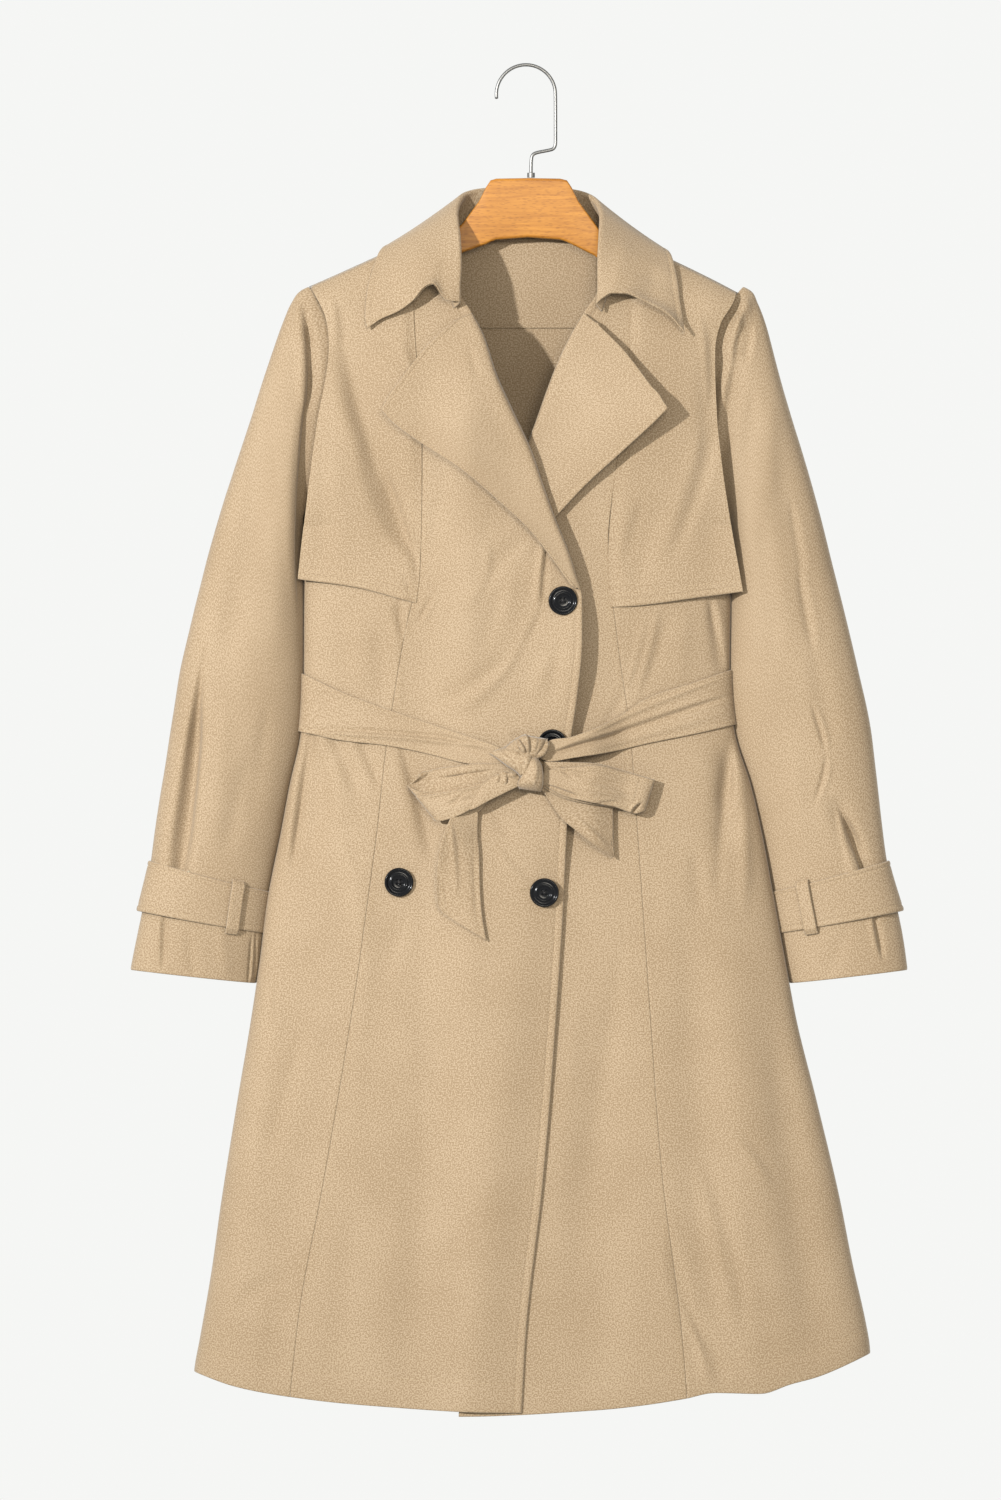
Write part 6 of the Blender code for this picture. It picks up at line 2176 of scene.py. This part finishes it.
class Thread:
    """Collects stitches, each a small spindle of eight faces, and makes one object of them."""

    def __init__(self, name):
        self.name = name
        self.points, self.faces = [], []

    def sew(self, sheet, us, vs, pitch=STITCH_PITCH):
        """A row of stitches along a path given by its shares of a sheet."""
        fine = np.linspace(0, 1, 400)
        at = np.linspace(0, 1, len(us))
        u, v = np.interp(fine, at, us), np.interp(fine, at, vs)
        path, _ = sheet.at(u, v)
        length = np.concatenate(([0], np.cumsum(np.linalg.norm(np.diff(path, axis=0), axis=1))))
        count = max(int(length[-1] / pitch), 1)
        middles = (np.arange(count) + 0.5) * length[-1] / count
        share = np.interp(middles, length, fine)
        before = np.interp(middles - STITCH_LONG / 2, length, fine)
        after = np.interp(middles + STITCH_LONG / 2, length, fine)
        middle, out = sheet.at(np.interp(share, fine, u), np.interp(share, fine, v), STITCH_HIGH / 2)
        first, _ = sheet.at(np.interp(before, fine, u), np.interp(before, fine, v), STITCH_SUNK)
        last, _ = sheet.at(np.interp(after, fine, u), np.interp(after, fine, v), STITCH_SUNK)
        self.spindles(first, middle, last, out)

    def spindles(self, first, middle, last, out):
        along = last - first
        along = along / np.maximum(np.linalg.norm(along, axis=-1, keepdims=True), 1e-9)
        side = np.cross(along, out) * STITCH_WIDE / 2
        up = out * STITCH_HIGH / 2
        rings = np.stack((first, middle + side, middle + up, middle - side, middle - up, last), axis=1)
        start = sum(len(part) for part in self.points)
        offsets = start + 6 * np.arange(len(rings))
        self.points.append(rings.reshape(-1, 3))
        self.faces.append((np.array(SPINDLE)[None] + offsets[:, None, None]).reshape(-1, 3))

    def finish(self, look=None):
        points, faces = np.concatenate(self.points), np.concatenate(self.faces)
        made = mesh_piece(self.name, points, faces[:, ::-1], look or thread_look())
        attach(made, "root")
        return made


def sew_body(made):
    thread = Thread("thread_body")
    rows = np.linspace(0.02, 0.998, 80)
    for side in ("right", "left"):
        centre, outer = made["centre_front_" + side][1], made["side_front_" + side][1]
        width = centre.width(rows)
        thread.sew(centre, PRINCESS_STITCH / width, rows)
        lower = np.linspace(0.37, 0.996, 70)
        thread.sew(centre, 1 - EDGE_STITCH / centre.width(lower), lower)
        hem_row = np.full(40, 1 - HEM_TURN / centre.length)
        across = np.linspace(0.005, 0.995, 40)
        thread.sew(centre, across, hem_row)
        thread.sew(outer, across, hem_row)
    back = made["back"][1]
    thread.sew(back, np.linspace(0.005, 0.995, 90), np.full(90, 1 - HEM_TURN / back.length))
    sew_flaps(thread, made)
    return thread.finish()


def sew_flaps(thread, made):
    for side in ("right", "left"):
        sheet = made["gun_flap_" + side][1]
        across = np.linspace(0.01, 0.985, 40)
        for inside in FLAP_ROWS:
            thread.sew(sheet, across, np.full(40, 1 - inside / FLAP_LENGTH))
        down = np.linspace(0.02, 0.99, 60)
        for inside in FLAP_SIDE_ROWS[side]:
            thread.sew(sheet, np.full(60, 1 - inside / FLAP_WIDTH), down)


def sew_collar(made):
    thread = Thread("thread_collar")
    for side in ("right", "left"):
        sheet = made["lapel_" + side][1]
        inner = np.linspace(0.0, 1 - EDGE_STITCH / LAPEL_LONG, 60)
        widths = np.linalg.norm(sheet.at(np.ones(60), inner)[0] - sheet.at(np.zeros(60), inner)[0], axis=-1)
        us = 1 - EDGE_STITCH / np.maximum(widths, EDGE_STITCH * 1.2)
        wide = widths > 14
        thread.sew(sheet, us[wide], inner[wide])
        thread.sew(sheet, np.linspace(0.05, us[-1], 30), np.full(30, 1 - EDGE_STITCH / LAPEL_LONG))
    collar = made["collar"][1]
    end = EDGE_STITCH / COLLAR_LONG
    low = 1 - EDGE_STITCH / COLLAR_HIGH
    thread.sew(collar, np.linspace(end, 1 - end, 160), np.full(160, low))
    for share in (end, 1 - end):
        thread.sew(collar, np.full(30, share), np.linspace(FOLD_SHARE + 0.04, low, 30))
    return thread.finish()


def sew_sleeves(made):
    thread = Thread("thread_sleeves")
    around = np.linspace(0, 0.9999, 120)
    for side in ("right", "left"):
        sleeve = made["sleeve_" + side][1]
        thread.sew(sleeve, around, np.full(120, 1 - CUFF_SEAM / SLEEVE_LONG))
        strap = made["cuff_strap_" + side][1]
        for inside in (0.12, 0.88):
            thread.sew(strap, around, np.full(120, inside))
        loop = made["cuff_loop_" + side][1]
        for share in (0.18, 0.82):
            thread.sew(loop, np.full(20, share), np.linspace(0.04, 0.96, 20))
    return thread.finish()


def sew_belt(made):
    thread = Thread("thread_belt")
    along = np.linspace(0.0, 1.0, 70)
    for node in ("belt_band_right", "belt_band_left", "belt_back"):
        for share in (0.09, 0.91):
            thread.sew(made[node][1], along, np.full(70, share))
    for node in ("bow_loop_right", "bow_loop_left"):
        for share in (0.12, 0.88):
            thread.sew(made[node][1], along, np.full(70, share))
    for node in ("belt_tail_right", "belt_tail_left"):
        for share in (0.12, 0.88):
            thread.sew(made[node][1], np.linspace(0.0, 0.95, 40), np.full(40, share))
        thread.sew(made[node][1], np.full(20, 0.955), np.linspace(0.12, 0.88, 20))
    return thread.finish()


PRINCESS_STITCH = 5.0
EDGE_STITCH = 5.6
FLAP_SIDE_ROWS = {"right": (5.0, 9.5), "left": (5.0,)}


# ---------------------------------------------------------------------------------------------- buttons

# radius, height above the button's back: the face, the rim and the back
BUTTON_FACE = (
    (0.0, 1.75), (1.4, 1.75), (2.8, 1.75), (4.2, 1.8), (5.2, 1.95), (6.1, 2.5), (6.8, 2.95),
    (7.4, 2.85), (8.2, 2.4), (9.2, 2.3), (10.1, 2.75), (10.9, 3.5), (11.6, 3.75), (12.2, 3.45),
    (12.65, 2.7), (12.7, 1.9), (12.3, 0.8), (11.2, 0.1), (8.0, 0.0), (0.0, 0.0),
)
BUTTON_ROUND = 72
BUTTON_RINGS = 76
HOLE_AT = 1.75  # of a hole's middle from the button's, along both axes
HOLE_HALF = 0.85
HOLE_DEEP = 1.5


def button_points():
    """A button that lies on its back, with four holes in its dished middle."""
    step = np.arange(len(BUTTON_FACE))
    table = [(k, *row) for k, row in zip(step, BUTTON_FACE)]
    at = np.concatenate((np.linspace(0.02, 3.2, 30), np.linspace(3.4, step[-1] - 0.02, BUTTON_RINGS - 30)))
    radius, height = line(table, 1)(at), line(table, 2)(at)
    turn = 2 * math.pi * np.arange(BUTTON_ROUND) / BUTTON_ROUND
    x, y = radius[:, None] * np.cos(turn), radius[:, None] * np.sin(turn)
    away = np.hypot(np.abs(x) - HOLE_AT, np.abs(y) - HOLE_AT)
    front = (at < 6)[:, None]
    hole = HOLE_DEEP * (1 - ease(HOLE_HALF * 0.75, HOLE_HALF * 1.15, away)) * front
    z = height[:, None] - hole
    return np.stack((x, y, z), axis=-1)


def make_button(name, x, down, lean, sheet):
    points = button_points()
    rings, sides = points.shape[:2]
    quads, caps = tube_faces(rings, sides, (0, 3, 2, 1))
    flat = with_middles(points.reshape(-1, 3), sides)
    made = solid_piece("horn_" + name, flat, quads, caps, bpy.data.materials["horn_polished"])
    made.location = (x * MM, (front_at(sheet, x, down) - BUTTON_OUT) * MM, -down * MM)
    made.rotation_euler = (math.radians(90), 0, math.radians(lean))
    return made


def front_at(sheet, x, down):
    """How far in front a sheet is at a place, as y."""
    away = np.hypot(sheet.outer[..., 0] - x, sheet.outer[..., 2] + down)
    return sheet.outer[..., 1].ravel()[away.argmin()]


def make_buttons(made):
    sheet = made["centre_front_right"][1]
    thread = Thread("thread_buttons")
    dark = Thread("thread_dark")
    for name, x, down, lean in BUTTONS:
        button = make_button(name, x, down, lean, sheet)
        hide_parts(name)
        face = front_at(sheet, x, down) - BUTTON_OUT - BUTTON_FACE[0][1]
        cross_stitches(dark, x, down, face)
    for x, down, long in BUTTONHOLES:
        sew_buttonhole(thread, sheet, x, down, long)
    thread.finish()
    dark.finish(dark_thread_look())


def cross_stitches(thread, x, down, face):
    """Thread over a button's middle, from hole to hole."""
    for sign in (-1, 1):
        for beside in (-0.18, 0.18):
            first = np.array((x - HOLE_AT + beside, face + 0.4, -(down - sign * HOLE_AT)))
            last = np.array((x + HOLE_AT + beside, face + 0.4, -(down + sign * HOLE_AT)))
            middle = (first + last) / 2 - np.array((0, 0.75 + 0.12 * sign, 0))
            thread.spindles(first[None], middle[None], last[None], np.array([[0.0, -1.0, 0.0]]))


def sew_buttonhole(thread, sheet, x, down, long):
    """Close short stitches on both sides of a slit."""
    count = int(long / 0.55)
    for k in range(count):
        at = x + long * k / (count - 1)
        for sign in (-1, 1):
            face = front_at(sheet, at, down)
            first = np.array((at, face + 0.1, -(down + sign * 0.1)))
            last = np.array((at, face + 0.1, -(down + sign * 1.5)))
            middle = (first + last) / 2 - np.array((0, 0.4, 0))
            thread.spindles(first[None], middle[None], last[None], np.array([[0.0, -1.0, 0.0]]))


# x of the end that shows, down, length
BUTTONHOLES = ((13.0, 468.0, 26.0), (-5.5, 721.5, 28.0))


# ---------------------------------------------------------------------------------------------- hanger


WOOD_CORNER = 7  # points round each rounded edge


def bar_section():
    """A flat bar's section with rounded edges: y, whether at the upper face, and how far from that face."""
    ring = []
    for y_sign, top, turn_from in ((1, True, 90), (1, False, 0), (-1, False, -90), (-1, True, -180)):
        for k in range(WOOD_CORNER):
            turn = math.radians(turn_from - 90 * k / (WOOD_CORNER - 1))
            y = y_sign * (WOOD_HALF - WOOD_EDGE) + WOOD_EDGE * math.cos(turn)
            inward = (WOOD_EDGE if top else -WOOD_EDGE) - WOOD_EDGE * math.sin(turn)
            ring.append((y, top, inward))
    return ring


def make_hanger_wood():
    """The flat wooden bow, with evenly rounded edges."""
    xs = np.array([row[0] for row in HANGER_OUTLINE], float)
    fine = np.unique(np.concatenate((np.linspace(xs[0], xs[-1], 150), xs)))
    high = np.interp(fine, xs, [row[1] for row in HANGER_OUTLINE])
    low = np.interp(fine, xs, [row[2] for row in HANGER_OUTLINE])
    ring = bar_section()
    points = np.array([
        [(x, y, -((up if top else bottom) + inward)) for y, top, inward in ring]
        for x, up, bottom in zip(fine, high, low)
    ])
    rows, size = points.shape[:2]
    quads, caps = tube_faces(rows, size, (1, 0, 3, 2))
    flat = with_middles(points.reshape(-1, 3), size)
    made = solid_piece("beech_hanger", flat, quads, caps, bpy.data.materials["beech_oiled"])
    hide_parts("hanger_wood")
    return made


WIRE_SIDES = 20
WIRE_TIP = 0.6  # the wire's end is rounded out by this


def make_hook():
    """The bent wire, round and smooth."""
    route = np.array([(x, 0.0, z) for x, z in hook_route()])
    fine = [route[0]]
    for first, last in zip(route[:-1], route[1:]):
        for share in (1 / 3, 2 / 3, 1.0):
            fine.append(first + (last - first) * share)
    fine = np.array(fine)
    for _ in range(3):
        fine[1:-1] = 0.25 * fine[:-2] + 0.5 * fine[1:-1] + 0.25 * fine[2:]
    along = np.gradient(fine, axis=0)
    along = along / np.linalg.norm(along, axis=1, keepdims=True)
    side = np.cross(along, (0.0, 1.0, 0.0))
    turn = 2 * math.pi * np.arange(WIRE_SIDES) / WIRE_SIDES
    rings = fine[:, None] + WIRE_RADIUS * (
        np.cos(turn)[None, :, None] * side[:, None] + np.sin(turn)[None, :, None] * np.array((0.0, 1.0, 0.0))
    )
    quads, caps = tube_faces(len(fine), WIRE_SIDES)
    flat = np.concatenate((rings.reshape(-1, 3), fine[:1] - WIRE_TIP * along[:1], fine[-1:]))
    made = solid_piece("steel_hook", flat, quads, caps, bpy.data.materials["drawn_steel"])
    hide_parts("hanger_hook")
    return made


# ---------------------------------------------------------------------------------------------- materials


class Nodes:
    """Short names for building a material's nodes."""

    def __init__(self, name):
        self.material = bpy.data.materials.new(name)
        self.material.use_nodes = True
        self.tree = self.material.node_tree
        self.shader = self.tree.nodes["Principled BSDF"]

    def add(self, kind, **values):
        node = self.tree.nodes.new(kind)
        for key, value in values.items():
            setattr(node, key, value)
        return node

    def join(self, source, target):
        self.tree.links.new(source, target)

    def number(self, operation, first, second=0.0):
        node = self.add("ShaderNodeMath", operation=operation)
        for socket, value in zip(node.inputs, (first, second)):
            if isinstance(value, (int, float)):
                socket.default_value = value
            else:
                self.join(value, socket)
        return node.outputs[0]

    def times(self, source, factor):
        return self.number("MULTIPLY", source, factor)

    def texture(self, kind, place=None, **values):
        """A texture with values for its sockets, at the place that a socket gives."""
        node = self.add(kind)
        for key, value in values.items():
            node.inputs[key].default_value = value
        if place is not None:
            self.join(place, node.inputs["Vector"])
        return node

    def ramp(self, source, dark, light, start=0.0, end=1.0):
        """A colour between two, by a value between a start and an end."""
        ramp = self.add("ShaderNodeValToRGB")
        for element, position, colour in zip(ramp.color_ramp.elements, (start, end), (dark, light)):
            element.position = position
            element.color = (*colour, 1)
        self.join(source, ramp.inputs[0])
        return ramp.outputs[0]

    def bump(self, height, strength, distance):
        bump = self.add("ShaderNodeBump")
        bump.inputs["Strength"].default_value = strength
        bump.inputs["Distance"].default_value = distance
        self.join(height, bump.inputs["Height"])
        self.join(bump.outputs[0], self.shader.inputs["Normal"])

    def colour(self, source):
        self.join(source, self.shader.inputs["Base Color"])

    def set(self, **values):
        for key, value in values.items():
            self.shader.inputs[key.replace("_", " ")].default_value = value


def cloth_look():
    """Cotton gabardine: a fine steep twill, slightly mottled, with a soft nap."""
    found = bpy.data.materials.get("gabardine")
    if found:
        return found
    nodes = Nodes("gabardine")
    place = nodes.add("ShaderNodeUVMap", uv_map="grain")
    split = nodes.add("ShaderNodeSeparateXYZ")
    nodes.join(place.outputs[0], split.inputs[0])
    across, along = split.outputs[0], split.outputs[1]

    # twill lines climb steeply: their phase runs with the width and more slowly with the length
    climb = nodes.number("ADD", nodes.times(across, 1.0 / TWILL), nodes.times(along, 0.5 / TWILL))
    ridge = nodes.number("SINE", nodes.times(climb, 2 * math.pi))
    pick = nodes.number("SINE", nodes.times(along, 2 * math.pi / (0.6 * TWILL)))
    weave = nodes.number("ADD", ridge, nodes.times(pick, 0.4))

    mottle = nodes.texture("ShaderNodeTexNoise", place.outputs[0], Scale=780.0, Detail=3.0)
    slub = nodes.texture("ShaderNodeTexNoise", place.outputs[0], Scale=14.0, Detail=4.0)
    mottle.noise_dimensions = slub.noise_dimensions = "2D"

    shade = nodes.number("ADD", nodes.times(mottle.outputs[0], 0.95), nodes.times(slub.outputs[0], 0.13))
    shade = nodes.number("ADD", shade, nodes.times(ridge, 0.02))
    nodes.colour(nodes.ramp(shade, CLOTH_DARK, CLOTH_LIGHT, 0.459, 0.640))

    height = nodes.number("ADD", nodes.times(weave, 0.00003), nodes.times(mottle.outputs[0], 0.00005))
    nodes.bump(height, 0.6, 1.0)
    nodes.set(Roughness=0.72, Sheen_Weight=0.18, Sheen_Roughness=0.45)
    nodes.shader.inputs["Specular IOR Level"].default_value = 0.28
    return nodes.material


def thread_look():
    found = bpy.data.materials.get("sewing_thread")
    return found or make_thread_look("sewing_thread", THREAD_DARK, THREAD_LIGHT)


def dark_thread_look():
    return make_thread_look("button_thread", BUTTON_THREAD_DARK, BUTTON_THREAD_LIGHT)


def make_thread_look(name, dark, light):
    nodes = Nodes(name)
    twist = nodes.texture("ShaderNodeTexNoise", Scale=2500.0)
    nodes.colour(nodes.ramp(twist.outputs[0], dark, light))
    nodes.set(Roughness=0.5)
    return nodes.material


def horn_look():
    """Dark polished horn, with faint brown streaks."""
    nodes = Nodes("horn_polished")
    streak = nodes.texture("ShaderNodeTexNoise", Scale=90.0, Detail=5.0, Distortion=1.5)
    nodes.colour(nodes.ramp(streak.outputs[0], HORN_DARK, HORN_LIGHT, 0.42, 0.8))
    nodes.set(Roughness=0.16)
    nodes.shader.inputs["Specular IOR Level"].default_value = 0.18
    return nodes.material


def beech_look():
    """Beech: honey wood with long faint grain and short dark flecks."""
    nodes = Nodes("beech_oiled")
    where = nodes.add("ShaderNodeTexCoord")
    inside = where.outputs["Object"]
    stretch = nodes.texture("ShaderNodeMapping", inside, Scale=(9.0, 60.0, 130.0))
    grain = nodes.texture("ShaderNodeTexNoise", stretch.outputs[0], Scale=3.0, Detail=6.0, Distortion=0.6)
    fleck_place = nodes.texture("ShaderNodeMapping", inside, Scale=(160.0, 300.0, 900.0))
    fleck = nodes.texture("ShaderNodeTexVoronoi", fleck_place.outputs[0], Scale=1.0)
    dark = nodes.add("ShaderNodeMix", data_type="RGBA", blend_type="MULTIPLY")
    dark.inputs[0].default_value = 0.7
    nodes.join(nodes.ramp(grain.outputs[0], WOOD_DARK, WOOD_LIGHT, 0.3, 0.7), dark.inputs[6])
    nodes.join(nodes.ramp(fleck.outputs["Distance"], FLECK_DARK, FLECK_LIGHT, 0.2, 0.38), dark.inputs[7])
    nodes.colour(dark.outputs[2])
    nodes.bump(grain.outputs[0], 0.15, 0.0004)
    nodes.set(Roughness=0.42)
    nodes.shader.inputs["Specular IOR Level"].default_value = 0.3
    return nodes.material


def steel_look():
    """Bright drawn wire, with faint lengthwise scratches."""
    nodes = Nodes("drawn_steel")
    scratch = nodes.texture("ShaderNodeTexNoise", Scale=120.0, Detail=4.0)
    rough = nodes.add("ShaderNodeMapRange")
    rough.inputs["To Min"].default_value = 0.34
    rough.inputs["To Max"].default_value = 0.42
    nodes.join(scratch.outputs[0], rough.inputs["Value"])
    nodes.join(rough.outputs[0], nodes.shader.inputs["Roughness"])
    nodes.set(Metallic=1.0, Base_Color=(0.16, 0.16, 0.157, 1.0))
    return nodes.material


# ---------------------------------------------------------------------------------------------- stage

FRAME_HIGH = 1.3125  # what the picture shows at the coat, in metres
FRAME_MIDDLE = (-0.0223, -0.025, -0.5994)
CAMERA_AWAY = 12.0
SENSOR = 36.0
FLOOR_DOWN = 1.75
FLOOR_RADIUS = 2.4
FLOOR_SIDES = 96


def make_camera():
    data = bpy.data.cameras.new("camera")
    data.sensor_fit = "AUTO"
    data.sensor_width = SENSOR
    data.lens = SENSOR * CAMERA_AWAY / FRAME_HIGH
    camera = bpy.data.objects.new("camera", data)
    x, y, z = FRAME_MIDDLE
    camera.location = (x, y - CAMERA_AWAY, z)
    camera.rotation_euler = (math.radians(90), 0, 0)
    bpy.context.scene.collection.objects.link(camera)
    bpy.context.scene.camera = camera


def make_floor():
    turn = np.linspace(0, 2 * math.pi, FLOOR_SIDES, endpoint=False)
    points = [(FLOOR_RADIUS * math.cos(t), FLOOR_RADIUS * math.sin(t), -FLOOR_DOWN) for t in turn]
    mesh = bpy.data.meshes.new("floor")
    mesh.from_pydata(points, [], [tuple(range(FLOOR_SIDES))])
    nodes = Nodes("pale_floor")
    nodes.set(Base_Color=(0.85, 0.85, 0.83, 1.0), Roughness=0.9)
    mesh.materials.append(nodes.material)
    floor = bpy.data.objects.new("floor", mesh)
    bpy.context.scene.collection.objects.link(floor)


def aim(obj, place, target):
    obj.location = place
    obj.rotation_euler = (Vector(target) - Vector(place)).to_track_quat("-Z", "Y").to_euler()
    bpy.context.scene.collection.objects.link(obj)


def make_lamp(name, power, radius, place, target, cone, colour=(1.0, 1.0, 1.0)):
    """A round lamp that fades towards the rim of its cone."""
    lamp = bpy.data.lights.new(name, "SPOT")
    lamp.energy = power
    lamp.color = colour
    lamp.shadow_soft_size = radius
    lamp.spot_size = math.radians(cone)
    lamp.spot_blend = 1.0
    aim(bpy.data.objects.new(name, lamp), place, target)


def make_lights():
    make_lamp("key", KEY_POWER, KEY_RADIUS, KEY_PLACE, KEY_TARGET, KEY_CONE)
    make_lamp("fill", FILL_POWER, FILL_RADIUS, FILL_PLACE, FRAME_MIDDLE, FILL_CONE, FILL_COLOUR)
    world = bpy.data.worlds.new("studio")
    world.use_nodes = True
    back = world.node_tree.nodes["Background"]
    back.inputs["Color"].default_value = (*SKY_COLOUR, 1.0)
    back.inputs["Strength"].default_value = SKY_STRENGTH
    bpy.context.scene.world = world
    bpy.context.scene.view_settings.view_transform = "Standard"


KEY_POWER = 2560.0
KEY_RADIUS = 0.11
KEY_PLACE = (-3.6, -4.9, 0.75)
KEY_TARGET = (0.18, 0.0, -0.25)
KEY_CONE = 35.0
FILL_POWER = 580.0
FILL_RADIUS = 0.8
FILL_PLACE = (0.6, -5.5, 0.6)
FILL_COLOUR = (1.0, 0.93, 0.8)
FILL_CONE = 50.0
SKY_COLOUR = (0.975, 0.98, 0.965)
SKY_STRENGTH = 0.94


# ---------------------------------------------------------------------------------------------- hard pieces


def make_hard_looks(frame):
    """The hard materials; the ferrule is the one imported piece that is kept, and gets its own at once."""
    horn_look()
    beech_look()
    ferrule = frame["nodes"]["hanger_ferrule"]
    ferrule.data.materials.clear()
    ferrule.data.materials.append(steel_look())


# ---------------------------------------------------------------------------------------------- all


def hide_replaced(made):
    for node, (piece, _) in made.items():
        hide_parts(node)


def main():
    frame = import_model()
    make_camera()
    make_lights()
    make_floor()
    made = {}
    made.update(make_body())
    made.update(make_neck_facing())
    made.update(make_flaps())
    made.update(make_lapels())
    made.update(make_collar())
    made.update(make_sleeves())
    made.update(make_belt())
    bow, wraps = make_bow()
    made.update(bow)
    hide_replaced(made)
    sew_body(made)
    sew_collar(made)
    sew_sleeves(made)
    sew_belt(made)
    make_hard_looks(frame)
    make_buttons(made)
    make_hanger_wood()
    make_hook()


main()
